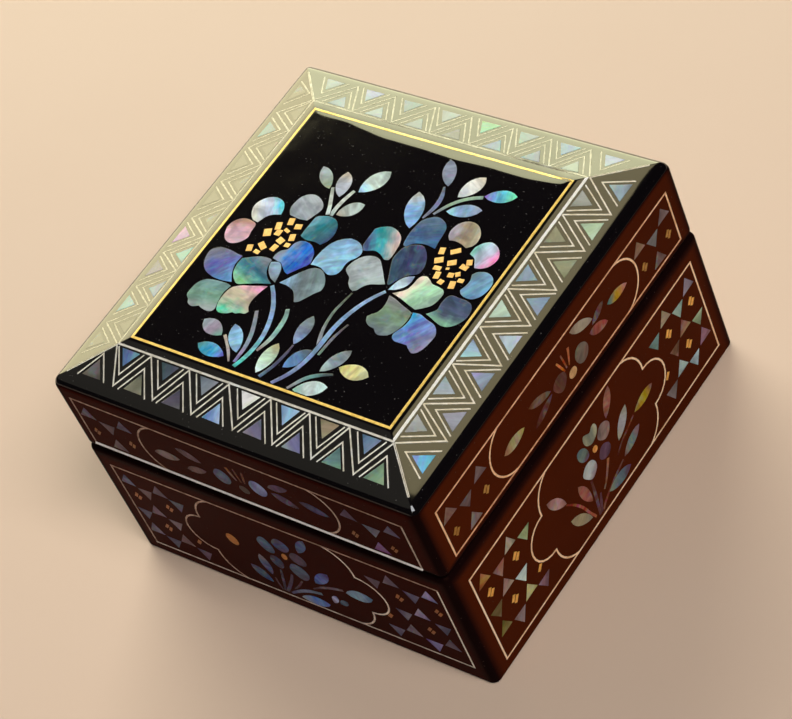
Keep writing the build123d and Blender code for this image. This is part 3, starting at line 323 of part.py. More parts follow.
# lattice triangles, front and left faces of the lid
LID_F_TRIANGLES = [
    [(-42.76, 52.89), (-45.27, 49.54), (-40.61, 49.37)],
    [(-32.64, 52.53), (-34.83, 49.38), (-30.39, 49.31)],
    [(-35.54, 49.18), (-40.11, 49.25), (-37.68, 45.53)],
    [(-37.69, 44.04), (-40.02, 40.42), (-35.44, 40.38)],
    [(39.97, 51.39), (37.77, 48.37), (42.04, 48.17)],
    [(28.94, 51.6), (26.55, 48.53), (31.05, 48.28)],
    [(36.8, 48.11), (32.13, 48.22), (34.47, 44.72)],
    [(36.68, 39.89), (34.45, 43.17), (32.26, 39.79)],
]
# gold bars in the lattice, front and left faces of the lid
LID_F_BARS = [
    [(-41.75, 44.72), (-42.31, 45.11), (-43.33, 43.66), (-42.78, 43.27)],
    [(-42.44, 45.49), (-43.04, 45.82), (-43.85, 44.33), (-43.25, 44.01)],
    [(-31.55, 44.71), (-32.14, 45.05), (-33.02, 43.51), (-32.43, 43.18)],
    [(-32.18, 45.43), (-32.77, 45.76), (-33.66, 44.18), (-33.07, 43.86)],
    [(39.5, 42.74), (38.94, 43.1), (37.97, 41.76), (38.53, 41.4)],
    [(38.88, 43.46), (38.31, 43.8), (37.4, 42.44), (37.98, 42.1)],
    [(29.41, 42.92), (28.85, 43.27), (27.82, 41.79), (28.39, 41.43)],
    [(28.75, 43.64), (28.16, 43.95), (27.26, 42.43), (27.85, 42.11)],
]
# petals of the spray, front and left faces of the lid
LID_F_PETALS = [
    [(-6.03, 43.29), (-5.59, 43.4), (-5.2, 43.6), (-4.87, 43.9), (-4.57, 44.31), (-4.34, 44.76), (-4.2, 45.2), (-4.18, 45.65), (-4.24, 46.13), (-4.39, 46.59), (-4.6, 47), (-4.9, 47.36), (-5.28, 47.69), (-5.69, 47.95), (-6.1, 48.1), (-6.51, 48.14), (-6.93, 48.08), (-7.34, 47.93), (-7.7, 47.7), (-7.96, 47.43), (-8.44, 46.67), (-8.61, 46.27), (-8.7, 45.9), (-8.7, 45.47), (-8.59, 45.05), (-8.42, 44.65), (-8.2, 44.3), (-7.94, 43.98), (-7.62, 43.68), (-7.27, 43.44), (-6.9, 43.3), (-6.49, 43.25)],
    [(4.02, 43.82), (4.44, 43.94), (4.85, 44.14), (5.2, 44.4), (5.51, 44.75), (5.79, 45.18), (6, 45.65), (6.1, 46.1), (6.06, 46.54), (5.91, 47), (5.68, 47.43), (5.4, 47.8), (5.06, 48.11), (4.66, 48.39), (4.22, 48.59), (3.8, 48.7), (3.38, 48.7), (2.95, 48.62), (2.54, 48.45), (2.2, 48.2), (1.91, 47.84), (1.66, 47.37), (1.48, 46.87), (1.4, 46.4), (1.43, 45.95), (1.55, 45.49), (1.75, 45.07), (2, 44.7), (2.33, 44.38), (2.74, 44.11), (3.18, 43.9), (3.6, 43.8)],
]
# leaves of the spray, front and left faces of the lid
LID_F_LEAVES = [
    [(-21.82, 44.4), (-20.91, 44.57), (-19.99, 44.87), (-19.09, 45.29), (-18.2, 46), (-19.16, 46.61), (-20.11, 46.93), (-21.04, 47.13), (-21.98, 47.2), (-22.9, 47.11), (-23.81, 46.86), (-24.72, 46.42), (-25.6, 45.6), (-24.63, 44.88), (-23.69, 44.54), (-22.75, 44.39)],
    [(-12.2, 47.73), (-11.2, 48), (-11.8, 48.84), (-12.49, 49.45), (-13.21, 49.94), (-13.98, 50.33), (-14.79, 50.58), (-15.65, 50.7), (-16.57, 50.66), (-17.6, 50.3), (-17.03, 49.37), (-16.35, 48.75), (-15.61, 48.29), (-14.82, 47.97), (-13.99, 47.78), (-13.11, 47.7)],
    [(-14.56, 43), (-13.78, 43.2), (-13.03, 43.51), (-12.31, 43.93), (-11.62, 44.45), (-11, 45.2), (-11.93, 45.5), (-12.79, 45.57), (-13.62, 45.54), (-14.42, 45.4), (-15.19, 45.15), (-15.92, 44.77), (-16.6, 44.23), (-17.2, 43.4), (-16.25, 43.02), (-15.38, 42.93)],
    [(9.87, 48.08), (10.65, 48.31), (11.4, 48.65), (12.11, 49.09), (12.79, 49.63), (13.4, 50.4), (12.46, 50.67), (11.59, 50.71), (10.75, 50.65), (9.95, 50.49), (9.18, 50.22), (8.46, 49.81), (7.78, 49.25), (7.2, 48.4), (8.17, 48.05), (9.04, 47.99)],
    [(13.15, 44.07), (14.2, 44.4), (13.55, 45.28), (12.81, 45.9), (12.03, 46.4), (11.22, 46.78), (10.36, 47.03), (9.44, 47.11), (8.48, 47.03), (7.4, 46.6), (8.02, 45.62), (8.76, 44.99), (9.54, 44.52), (10.38, 44.22), (11.27, 44.05), (12.19, 44)],
    [(20.72, 45.27), (21.74, 45.41), (22.8, 45.8), (21.96, 46.57), (21.08, 47.08), (20.17, 47.49), (19.24, 47.78), (18.29, 47.93), (17.3, 47.94), (16.28, 47.78), (15.2, 47.3), (16.02, 46.44), (16.9, 45.91), (17.81, 45.54), (18.76, 45.32), (19.73, 45.24)],
]
# stems of the spray, front and left faces of the lid
LID_F_STEMS = [
    [(-1.97, 46.29), (-2.39, 47.75), (-3.22, 50.32), (-3.98, 50.08), (-3.38, 48.17), (-3.11, 47.48), (-2.43, 46.11)],
    [(-0.7, 46.23), (-1.2, 50.62), (-1.6, 50.58), (-1.51, 49.19), (-1.35, 47.72), (-1.1, 46.17)],
    [(0.65, 47.64), (1.19, 50.24), (0.61, 50.36), (0.21, 48.46), (-0.1, 46.24), (0.3, 46.16)],
]
# gold heart of the spray, front and left faces of the lid
LID_F_GOLD = [
    [(-0.52, 42.39), (-0.03, 42.73), (0.25, 43.24), (0.26, 43.82), (0.01, 44.36), (-0.47, 44.74), (-1.07, 44.9), (-1.68, 44.81), (-2.17, 44.47), (-2.45, 43.96), (-2.46, 43.38), (-2.21, 42.84), (-1.73, 42.46), (-1.13, 42.3)],
]
# bent strips on the right and back bevels
BEVEL_R_ZIGZAG = [
    [(-5.7, -2.48), (-0.3, -11.24), (5.02, -2.51), (9.72, -11.24), (15.48, -2.48), (20.94, -11.23), (26.5, -2.49), (31.5, -11.23), (37.57, -2.44), (37.31, -2.18), (31.53, -10.55), (26.7, -2.12), (26.31, -2.12), (20.94, -10.55), (15.68, -2.12), (15.28, -2.12), (9.75, -10.54), (5.22, -2.12), (4.83, -2.12), (-0.3, -10.55), (-5.49, -2.12), (-5.89, -2.12), (-11.43, -10.54), (-15.85, -2.12), (-16.24, -2.12), (-21.66, -10.55), (-26.77, -2.12), (-27.16, -2.12), (-31.93, -10.54), (-37.32, -2.18), (-37.57, -2.45), (-31.91, -11.24), (-26.96, -2.5), (-21.67, -11.23), (-16.05, -2.5), (-11.47, -11.24)],
    [(-34.19, -11.26), (-38.2, -4.88), (-42.01, -10.95), (-41.74, -11.12), (-38.2, -5.48), (-34.47, -11.43)],
    [(-23.05, -10.88), (-26.9, -4.75), (-30.75, -10.88), (-30.48, -11.05), (-26.9, -5.35), (-23.32, -11.05)],
    [(-16.1, -5.48), (-12.39, -11.39), (-12.12, -11.22), (-16.1, -4.88), (-20.09, -11.23), (-19.81, -11.4)],
    [(-5.8, -5.66), (-2.19, -11.41), (-1.92, -11.24), (-5.8, -5.06), (-9.7, -11.27), (-9.43, -11.44)],
    [(9.12, -11.25), (5.1, -4.85), (1.28, -10.93), (1.55, -11.1), (5.1, -5.45), (8.85, -11.42)],
    [(19.31, -11.13), (15.5, -5.06), (11.85, -10.87), (12.13, -11.04), (15.5, -5.67), (19.04, -11.3)],
    [(26.4, -5.48), (29.97, -11.17), (30.24, -11), (26.4, -4.87), (22.55, -11.01), (22.82, -11.18)],
    [(41.6, -10.97), (37.7, -4.77), (33.87, -10.86), (34.15, -11.03), (37.7, -5.37), (41.33, -11.14)],
    [(-28.16, -2.47), (-28.43, -2.3), (-32, -7.99), (-35.57, -2.3), (-35.84, -2.47), (-32, -8.59)],
    [(-17.6, -2.47), (-17.87, -2.3), (-21.6, -8.24), (-25.33, -2.3), (-25.6, -2.47), (-21.6, -8.84)],
    [(-7.62, -2.47), (-7.89, -2.3), (-11.4, -7.89), (-14.91, -2.3), (-15.18, -2.47), (-11.4, -8.49)],
    [(3.7, -2.47), (3.43, -2.3), (-0.3, -8.24), (-4.03, -2.3), (-4.3, -2.47), (-0.3, -8.84)],
    [(13.6, -2.47), (13.33, -2.3), (9.8, -7.93), (6.27, -2.3), (6, -2.47), (9.8, -8.53)],
    [(24.74, -2.47), (24.47, -2.3), (20.9, -7.99), (17.33, -2.3), (17.06, -2.47), (20.9, -8.59)],
    [(35.56, -2.47), (35.29, -2.3), (31.6, -8.18), (27.91, -2.3), (27.64, -2.47), (31.6, -8.78)],
]
# square line strip, right and back
BEVEL_R_PEARL = [
    [(-37.14, -1.6), (37.14, -1.6), (37.6, -2.07), (-37.6, -2.07)],
]
# strips along the mitres of the right and back bevels
BEVEL_R_MITRE = [
    [(-37.28, -2.11), (-37.58, -2.11), (-46.57, -11.41), (-46.24, -11.41)],
    [(37.58, -2.11), (37.28, -2.11), (46.24, -11.41), (46.57, -11.41)],
]
# triangles along the outer edge, right and back
BEVEL_R_OUTER = [
    [(-38.25, -6.72), (-40.7, -10.78), (-35.74, -10.78)],
    [(-24.18, -10.71), (-26.94, -6.68), (-29.59, -10.76)],
    [(-15.93, -6.51), (-18.62, -10.71), (-13.64, -10.71)],
    [(-3.25, -10.75), (-5.62, -6.62), (-8.33, -10.85)],
    [(7.64, -10.75), (4.9, -6.67), (2.43, -10.82)],
    [(18.23, -10.71), (15.39, -6.58), (13.02, -10.81)],
    [(28.97, -10.75), (26.37, -6.58), (23.94, -10.86)],
    [(37.83, -6.67), (35.23, -10.73), (40.39, -10.83)],
]
# triangles along the inner edge, right and back
BEVEL_R_INNER = [
    [(-29.59, -2.47), (-34.42, -2.47), (-31.89, -6.25)],
    [(-19.21, -2.44), (-24.12, -2.52), (-21.79, -6.4)],
    [(-8.86, -2.54), (-13.89, -2.54), (-11.49, -6.25)],
    [(2.2, -2.48), (-2.85, -2.49), (-0.41, -6.35)],
    [(12.31, -2.53), (7.38, -2.51), (9.87, -6.26)],
    [(23.37, -2.48), (18.53, -2.47), (21, -6.29)],
    [(33.97, -2.53), (29.09, -2.46), (31.63, -6.32)],
]
# frame strips, right and back faces of the base
BASE_R_FRAME = [
    [(-44.83, 31.08), (45.13, 31.98), (45.13, 32.42), (-44.83, 31.52)],
    [(-44.83, 2.78), (45.23, 3.88), (45.23, 4.32), (-44.83, 3.22)],
    [(-44.83, 3.26), (-44.37, 3.26), (-44.37, 31.04), (-44.83, 31.04)],
    [(44.77, 4.35), (45.23, 4.36), (45.13, 31.95), (44.67, 31.94)],
]
# curved strips that close the cartouche, right and back faces of the base
BASE_R_CARTOUCHE = [
    [(-16.38, 4.16), (-17.58, 4.97), (-18.6, 5.98), (-19.43, 7.14), (-20.02, 8.44), (-20.36, 9.82), (-20.46, 11.45), (-22.27, 11.58), (-23.76, 12.1), (-25.04, 12.99), (-26.04, 14.18), (-26.66, 15.59), (-26.88, 17.11), (-26.66, 18.64), (-26.04, 20.06), (-25.05, 21.27), (-23.76, 22.19), (-22.28, 22.74), (-20.46, 22.91), (-20.45, 24.65), (-20.15, 26.13), (-19.55, 27.54), (-18.7, 28.81), (-17.61, 29.9), (-16.32, 30.77), (-15.01, 31.34), (-16.15, 31.33), (-16.54, 31.15), (-17.9, 30.24), (-19.05, 29.08), (-19.96, 27.74), (-20.58, 26.26), (-20.91, 24.69), (-20.91, 23.31), (-22.38, 23.17), (-23.98, 22.58), (-25.37, 21.59), (-26.43, 20.28), (-27.11, 18.75), (-27.33, 17.1), (-27.1, 15.46), (-26.43, 13.95), (-25.36, 12.66), (-23.97, 11.71), (-22.37, 11.14), (-20.89, 11.04), (-20.81, 9.75), (-20.45, 8.29), (-19.83, 6.93), (-18.96, 5.69), (-17.87, 4.63), (-16.61, 3.78), (-16.23, 3.61), (-15.16, 3.62)],
    [(16.9, 4.17), (18.14, 5.04), (19.21, 6.12), (20.06, 7.35), (20.67, 8.72), (21.01, 10.16), (21.07, 11.44), (22.54, 11.62), (24.12, 12.25), (25.47, 13.25), (26.52, 14.56), (27.17, 16.08), (27.39, 17.72), (27.16, 19.34), (26.5, 20.85), (25.45, 22.14), (24.09, 23.11), (22.5, 23.7), (21.05, 23.85), (21.05, 25.21), (20.74, 26.75), (20.12, 28.21), (19.22, 29.51), (18.08, 30.63), (16.73, 31.5), (16.36, 31.66), (15.21, 31.64), (16.51, 31.12), (17.79, 30.29), (18.87, 29.23), (19.72, 28), (20.3, 26.62), (20.59, 25.16), (20.59, 23.46), (22.39, 23.27), (23.86, 22.72), (25.13, 21.82), (26.1, 20.62), (26.72, 19.22), (26.93, 17.71), (26.73, 16.19), (26.12, 14.78), (25.15, 13.56), (23.89, 12.63), (22.42, 12.05), (20.63, 11.82), (20.56, 10.22), (20.23, 8.85), (19.66, 7.56), (18.85, 6.39), (17.85, 5.37), (16.67, 4.55), (15.46, 4), (16.54, 4.01)],
]
# lattice triangles, right and back faces of the base
BASE_R_TRIANGLES = [
    [(-41.37, 29.47), (-43.57, 26.01), (-39.26, 26.04)],
    [(-31.44, 29.48), (-33.7, 26.07), (-29.57, 26.07)],
    [(-34.17, 25.88), (-38.51, 25.85), (-36.53, 22.24)],
    [(-24.52, 25.87), (-28.9, 25.89), (-26.72, 22.48)],
    [(-34.24, 17.88), (-36.43, 21.4), (-38.68, 17.71)],
    [(-39.15, 17.58), (-43.61, 17.47), (-41.24, 13.95)],
    [(-29.38, 17.64), (-33.84, 17.68), (-31.5, 13.9)],
    [(-39.21, 9.37), (-41.39, 12.73), (-43.39, 9.27)],
    [(-29.22, 9.45), (-31.56, 12.94), (-33.75, 9.38)],
    [(-34.2, 9.14), (-38.52, 9.17), (-36.37, 5.42)],
    [(-24.56, 9.29), (-28.94, 9.09), (-26.68, 5.77)],
    [(43.98, 26.92), (41.71, 30.55), (39.51, 26.75)],
    [(34.22, 26.92), (32.05, 30.42), (29.93, 26.73)],
    [(39.05, 26.48), (34.66, 26.57), (36.67, 23.01)],
    [(29.09, 26.52), (24.75, 26.32), (27.1, 22.9)],
    [(39.09, 18.73), (36.65, 22.29), (34.61, 18.48)],
    [(43.93, 18.39), (39.63, 18.42), (41.68, 14.94)],
    [(34.07, 18.45), (30.05, 18.24), (32.11, 14.94)],
    [(44.1, 10.28), (41.79, 13.96), (39.61, 10.14)],
    [(34.41, 10.27), (32.12, 13.7), (29.93, 10.12)],
    [(38.9, 9.99), (34.71, 9.92), (36.88, 6.49)],
    [(29.51, 9.93), (24.8, 9.98), (27, 6.11)],
]
# gold bars in the lattice, right and back faces of the base
BASE_R_BARS = [
    [(-39.64, 22.24), (-40.33, 22.86), (-41.61, 21.53), (-40.92, 20.91)],
    [(-40.31, 23.29), (-41.03, 23.86), (-42.28, 22.38), (-41.56, 21.81)],
    [(-29.82, 22.42), (-30.57, 22.96), (-31.76, 21.44), (-31.01, 20.89)],
    [(-30.52, 23.24), (-31.22, 23.83), (-32.46, 22.48), (-31.76, 21.88)],
    [(-34.66, 13.51), (-35.37, 14.1), (-36.66, 12.65), (-35.95, 12.06)],
    [(-35.47, 14.44), (-36.22, 14.97), (-37.29, 13.56), (-36.53, 13.02)],
    [(-25.72, 12.76), (-26.41, 13.37), (-27.64, 12.06), (-26.95, 11.45)],
    [(42.66, 23.13), (41.96, 23.73), (40.75, 22.43), (41.44, 21.82)],
    [(42, 24.18), (41.27, 24.74), (40.03, 23.25), (40.77, 22.69)],
    [(33, 23.06), (32.25, 23.6), (31.12, 22.15), (31.87, 21.61)],
    [(32.3, 23.97), (31.57, 24.53), (30.36, 23.05), (31.09, 22.49)],
    [(37.78, 14.27), (37.09, 14.89), (35.78, 13.53), (36.47, 12.92)],
    [(37.04, 15.32), (36.29, 15.85), (35.13, 14.34), (35.88, 13.81)],
    [(28.04, 14.39), (27.35, 15), (26.04, 13.6), (26.73, 13)],
]
# petals of the spray, right and back faces of the base
BASE_R_PETALS = [
    [(0.2, 23.18), (1.05, 23.49), (1.51, 23.76), (1.9, 24.1), (2.14, 24.43), (2.36, 24.81), (2.52, 25.22), (2.6, 25.6), (2.57, 26.12), (2.42, 26.63), (2.2, 27), (1.74, 27.19), (1.2, 27.1), (0.87, 26.85), (0.54, 26.5), (0.2, 26.3), (-0.16, 26.37), (-1.61, 27.29), (-1.9, 27.4), (-2.21, 27.23), (-2.4, 26.8), (-2.49, 26.39), (-2.53, 25.89), (-2.5, 25.4), (-2.38, 24.94), (-2.18, 24.5), (-1.9, 24.1), (-1.62, 23.82), (-0.93, 23.35), (-0.6, 23.2), (-0.2, 23.13)],
    [(-2.97, 21.14), (-2.58, 21.32), (-2.3, 21.6), (-2.16, 21.99), (-2.14, 22.49), (-2.2, 23), (-2.46, 23.83), (-2.66, 24.24), (-2.9, 24.6), (-3.18, 24.9), (-3.51, 25.17), (-3.86, 25.38), (-4.2, 25.5), (-4.68, 25.54), (-5.16, 25.46), (-5.5, 25.2), (-5.63, 24.85), (-5.68, 24.38), (-5.67, 23.86), (-5.6, 23.4), (-5.48, 22.99), (-5.29, 22.59), (-5.06, 22.22), (-4.8, 21.9), (-4.49, 21.62), (-4.12, 21.37), (-3.74, 21.19), (-3.4, 21.1)],
    [(-3.4, 15.21), (-2.99, 15.37), (-2.19, 15.87), (-1.8, 16.21), (-1.5, 16.6), (-1.33, 17.03), (-1.25, 17.5), (-1.3, 18), (-1.43, 18.43), (-1.64, 18.91), (-1.9, 19.35), (-2.2, 19.7), (-2.56, 19.93), (-2.97, 20.09), (-3.4, 20.17), (-3.8, 20.2), (-4.3, 20.14), (-4.77, 19.97), (-5.2, 19.7), (-5.86, 19.1), (-6.11, 18.72), (-6.2, 18.3), (-6.1, 17.91), (-5.88, 17.46), (-5.59, 16.99), (-5, 16.2), (-4.6, 15.73), (-4.2, 15.39), (-3.8, 15.2)],
    [(4.2, 20.02), (4.63, 20.13), (5.04, 20.33), (5.4, 20.6), (5.71, 20.97), (5.99, 21.44), (6.2, 21.94), (6.3, 22.4), (6.26, 22.81), (6.11, 23.21), (5.88, 23.58), (5.6, 23.9), (5.26, 24.18), (4.84, 24.43), (4.41, 24.61), (4, 24.7), (3.5, 24.64), (3.03, 24.43), (2.6, 24.1), (2.28, 23.75), (1.96, 23.31), (1.71, 22.84), (1.6, 22.4), (1.66, 22), (1.85, 21.6), (2.12, 21.23), (2.7, 20.6), (3.05, 20.32), (3.42, 20.11), (3.8, 20)],
    [(3.2, 15.6), (3.54, 15.8), (3.86, 16.1), (4.13, 16.45), (4.3, 16.8), (4.37, 17.29), (4.3, 17.81), (4.1, 18.3), (3.84, 18.65), (3.48, 19.01), (3.09, 19.31), (2.7, 19.5), (2.19, 19.59), (1.67, 19.51), (1.2, 19.3), (0.89, 19.01), (0.59, 18.61), (0.35, 18.18), (0.2, 17.8), (0.14, 17.37), (0.21, 16.97), (0.4, 16.6), (0.71, 16.25), (1.13, 15.93), (1.6, 15.7), (2.41, 15.52), (2.83, 15.51)],
]
# leaves of the spray, right and back faces of the base
BASE_R_LEAVES = [
    [(6.93, 24.81), (7.72, 25.45), (8.4, 26.16), (8.97, 26.93), (9.42, 27.77), (9.72, 28.69), (9.87, 29.71), (9.7, 30.9), (8.58, 30.44), (7.78, 29.81), (7.13, 29.08), (6.63, 28.27), (6.25, 27.39), (5.98, 26.45), (5.82, 25.44), (5.9, 24.3)],
    [(8.21, 15.59), (9.18, 16.09), (10.06, 16.68), (10.82, 17.36), (11.47, 18.14), (11.98, 19.05), (12.34, 20.09), (12.4, 21.4), (11.11, 21.18), (10.12, 20.7), (9.28, 20.08), (8.58, 19.34), (7.99, 18.5), (7.52, 17.56), (7.14, 16.53), (7, 15.3)],
    [(18.27, 15.76), (19.24, 15.92), (20.19, 16.24), (21.12, 16.74), (22, 17.6), (20.93, 18.21), (19.91, 18.46), (18.91, 18.53), (17.93, 18.44), (16.97, 18.2), (16.02, 17.84), (15.09, 17.36), (14.2, 16.6), (15.26, 16.09), (16.28, 15.86), (17.28, 15.75)],
    [(10.1, 9.67), (11.05, 9.89), (11.95, 10.26), (12.79, 10.8), (13.56, 11.52), (14.2, 12.6), (13.01, 13.01), (11.96, 13.05), (10.97, 12.91), (10.05, 12.61), (9.18, 12.16), (8.35, 11.58), (7.57, 10.88), (6.9, 9.9), (8.05, 9.59), (9.1, 9.57)],
    [(5.5, 4.98), (6.63, 5.33), (7.8, 6.1), (6.79, 7.07), (5.75, 7.62), (4.68, 7.95), (3.6, 8.09), (2.5, 8.06), (1.38, 7.88), (0.26, 7.55), (-0.9, 6.9), (0.12, 6.05), (1.17, 5.52), (2.23, 5.14), (3.3, 4.91), (4.39, 4.85)],
    [(-5.91, 11.36), (-5.88, 12.43), (-5.96, 13.48), (-6.16, 14.48), (-6.49, 15.45), (-6.97, 16.37), (-7.62, 17.23), (-8.6, 18), (-8.98, 16.82), (-9.03, 15.73), (-8.91, 14.7), (-8.64, 13.72), (-8.24, 12.77), (-7.72, 11.87), (-7.09, 10.99), (-6.2, 10.2)],
    [(-8.28, 7.82), (-8.77, 8.83), (-9.34, 9.76), (-10.01, 10.59), (-10.78, 11.32), (-11.68, 11.92), (-12.71, 12.39), (-14, 12.6), (-13.79, 11.31), (-13.32, 10.28), (-12.72, 9.38), (-11.99, 8.61), (-11.16, 7.94), (-10.23, 7.37), (-9.22, 6.88), (-8, 6.6)],
    [(-13.35, 19.16), (-13.71, 20.15), (-14.17, 21.05), (-14.72, 21.87), (-15.38, 22.6), (-16.17, 23.22), (-17.1, 23.73), (-18.3, 24), (-18.23, 22.77), (-17.88, 21.78), (-17.39, 20.9), (-16.78, 20.13), (-16.06, 19.45), (-15.24, 18.85), (-14.32, 18.34), (-13.2, 18)],
]
# stems of the spray, right and back faces of the base
BASE_R_STEMS = [
    [(-6.63, 5.73), (-7.89, 8.52), (-8.63, 10.77), (-9.08, 11.94), (-9.63, 13.06), (-10.26, 14.14), (-10.95, 15.18), (-11.71, 16.14), (-13.35, 17.93), (-13.65, 17.67), (-12.15, 15.79), (-11.45, 14.82), (-10.83, 13.8), (-10.24, 12.73), (-9.72, 11.66), (-9.29, 10.54), (-8.79, 9.06), (-8.18, 7.84), (-8.05, 7.25), (-7.17, 5.47)],
    [(-0.83, 9.71), (-0.35, 10.19), (0.13, 10.8), (1.1, 12.21), (2.69, 14.67), (1.91, 15.13), (0.97, 13.39), (0.03, 11.87), (-0.85, 10.61), (-1.26, 10.12), (-2.07, 9.28), (-1.73, 8.92)],
    [(-4.57, 9.12), (-4.32, 11.55), (-4.15, 15.17), (-4.85, 15.23), (-5.56, 9.23), (-6, 4.75), (-5.2, 4.65)],
    [(-3.67, 7.26), (-3.02, 9.5), (-3.58, 9.7), (-4.23, 8.31), (-4.53, 7.54), (-4.85, 6.42), (-5.09, 4.75), (-4.56, 4.6)],
    [(6.69, 13.17), (7.54, 13.61), (10.72, 14.89), (13.69, 16.17), (13.51, 16.63), (8.28, 14.67), (7.26, 14.19), (6.39, 13.66), (4.89, 12.57), (5.11, 12.23)],
    [(-3.2, 5.32), (-2.69, 5.69), (-2.06, 6.06), (-0.79, 6.68), (-0.99, 6.85), (-1, 6.93), (-0.95, 6.99), (0.21, 7.64), (1.36, 7.98), (2.48, 8.16), (2.82, 8.17), (6.28, 9.46), (6.12, 9.94), (3.91, 9.31), (1.56, 8.52), (-0.76, 7.56), (-2.43, 6.73), (-3.11, 6.31), (-3.67, 5.88), (-4.2, 5.38), (-4.37, 4.87), (-4.06, 4.54)],
]
# gold heart of the spray, right and back faces of the base
BASE_R_GOLD = [
    [(0.39, 20.19), (0.65, 20.48), (0.76, 20.87), (0.7, 21.29), (0.48, 21.65), (0.14, 21.88), (-0.24, 21.94), (-0.59, 21.81), (-0.85, 21.52), (-0.96, 21.13), (-0.9, 20.71), (-0.68, 20.35), (-0.34, 20.12), (0.04, 20.06)],
]
# frame strips, right and back faces of the lid
LID_R_FRAME = [
    [(-44.83, 53.99), (45.23, 53.99), (45.23, 54.41), (-44.83, 54.41)],
    [(-44.83, 39.59), (45.13, 39.49), (45.13, 39.91), (-44.83, 40.01)],
    [(-44.83, 40.05), (-44.37, 40.05), (-44.37, 53.95), (-44.83, 53.95)],
    [(44.67, 39.95), (45.13, 39.95), (45.23, 53.95), (44.77, 53.95)],
]
# curved strips that close the cartouche, right and back faces of the lid
LID_R_CARTOUCHE = [
    [(-22.07, 40.31), (-23.22, 40.82), (-24.27, 41.5), (-25.18, 42.33), (-25.93, 43.29), (-26.51, 44.36), (-26.89, 45.5), (-27.07, 46.68), (-27.04, 47.87), (-26.79, 49.04), (-26.35, 50.16), (-25.71, 51.2), (-24.91, 52.12), (-23.95, 52.91), (-22.87, 53.54), (-21.81, 53.95), (-23, 53.95), (-24.22, 53.26), (-25.23, 52.42), (-26.09, 51.44), (-26.76, 50.35), (-27.23, 49.16), (-27.49, 47.92), (-27.52, 46.65), (-27.34, 45.4), (-26.93, 44.19), (-26.32, 43.07), (-25.52, 42.05), (-24.56, 41.17), (-23.45, 40.45), (-22.5, 40.03), (-21, 40.02)],
    [(26.29, 40.55), (27.36, 41.34), (28.28, 42.29), (29.01, 43.37), (29.54, 44.55), (29.86, 45.8), (29.96, 47.07), (29.83, 48.35), (29.47, 49.58), (28.9, 50.74), (28.13, 51.79), (27.19, 52.71), (26.1, 53.46), (25.07, 53.95), (23.63, 53.95), (24.71, 53.64), (25.86, 53.1), (26.89, 52.38), (27.78, 51.52), (28.5, 50.52), (29.04, 49.43), (29.38, 48.27), (29.5, 47.06), (29.41, 45.86), (29.11, 44.68), (28.61, 43.57), (27.91, 42.55), (27.05, 41.66), (26.04, 40.91), (24.92, 40.33), (23.84, 39.97), (25.17, 39.97)],
]
# lattice triangles, right and back faces of the lid
LID_R_TRIANGLES = [
    [(-41.84, 52.49), (-44.22, 49.23), (-39.37, 49.19)],
    [(-30.68, 52.34), (-32.94, 49.22), (-28.4, 49.15)],
    [(-34.2, 49.05), (-38.57, 48.95), (-36.26, 45.87)],
    [(-34, 40.91), (-36.4, 44.25), (-38.53, 40.77)],
    [(44.26, 49.26), (41.96, 52.43), (39.71, 49.22)],
    [(34.31, 49.18), (32.17, 52.33), (29.82, 49.14)],
    [(39.26, 49.03), (34.79, 48.97), (37.09, 45.58)],
    [(37.04, 44.18), (34.58, 40.83), (39.23, 40.61)],
]
# gold bars in the lattice, right and back faces of the lid
LID_R_BARS = [
    [(-40.63, 44.59), (-41.22, 45.12), (-42.5, 43.86), (-41.91, 43.34)],
    [(-41.29, 45.51), (-41.94, 45.96), (-43.02, 44.61), (-42.37, 44.16)],
    [(-29.46, 44.69), (-30.1, 45.16), (-31.24, 43.8), (-30.61, 43.33)],
    [(-30.04, 45.44), (-30.63, 45.95), (-31.85, 44.73), (-31.25, 44.21)],
    [(43.08, 44.65), (42.45, 45.12), (41.28, 43.73), (41.91, 43.25)],
    [(42.45, 45.4), (41.83, 45.9), (40.7, 44.63), (41.32, 44.14)],
    [(33.28, 44.59), (32.66, 45.09), (31.48, 43.78), (32.1, 43.28)],
    [(32.65, 45.45), (32.01, 45.92), (30.9, 44.58), (31.54, 44.11)],
]
# petals of the spray, right and back faces of the lid
LID_R_PETALS = [
    [(-1.41, 42.67), (-0.93, 42.93), (-0.5, 43.3), (-0.19, 43.66), (0.11, 44.09), (0.36, 44.56), (0.5, 45), (0.53, 45.43), (0.47, 45.86), (0.32, 46.27), (0.1, 46.6), (-0.24, 46.86), (-0.68, 47.08), (-1.15, 47.22), (-1.6, 47.3), (-2.02, 47.3), (-2.44, 47.22), (-2.84, 47.09), (-3.2, 46.9), (-3.56, 46.65), (-3.91, 46.35), (-4.18, 46), (-4.3, 45.6), (-4.26, 45.23), (-4.11, 44.8), (-3.9, 44.36), (-3.4, 43.6), (-3.06, 43.24), (-2.68, 42.93), (-2.28, 42.71), (-1.9, 42.6)],
    [(6.93, 42.71), (7.39, 42.82), (7.83, 43.02), (8.2, 43.3), (8.46, 43.6), (8.69, 43.98), (8.89, 44.39), (9.04, 44.81), (9.1, 45.2), (9.06, 45.66), (8.91, 46.11), (8.68, 46.54), (8.4, 46.9), (8.06, 47.21), (7.66, 47.49), (7.22, 47.69), (6.8, 47.8), (6.38, 47.8), (5.95, 47.71), (5.54, 47.54), (5.2, 47.3), (4.91, 46.97), (4.66, 46.54), (4.48, 46.07), (4.4, 45.6), (4.42, 45.2), (4.5, 44.77), (4.8, 43.93), (5, 43.6), (5.31, 43.26), (5.68, 42.99), (6.09, 42.79), (6.5, 42.7)],
]
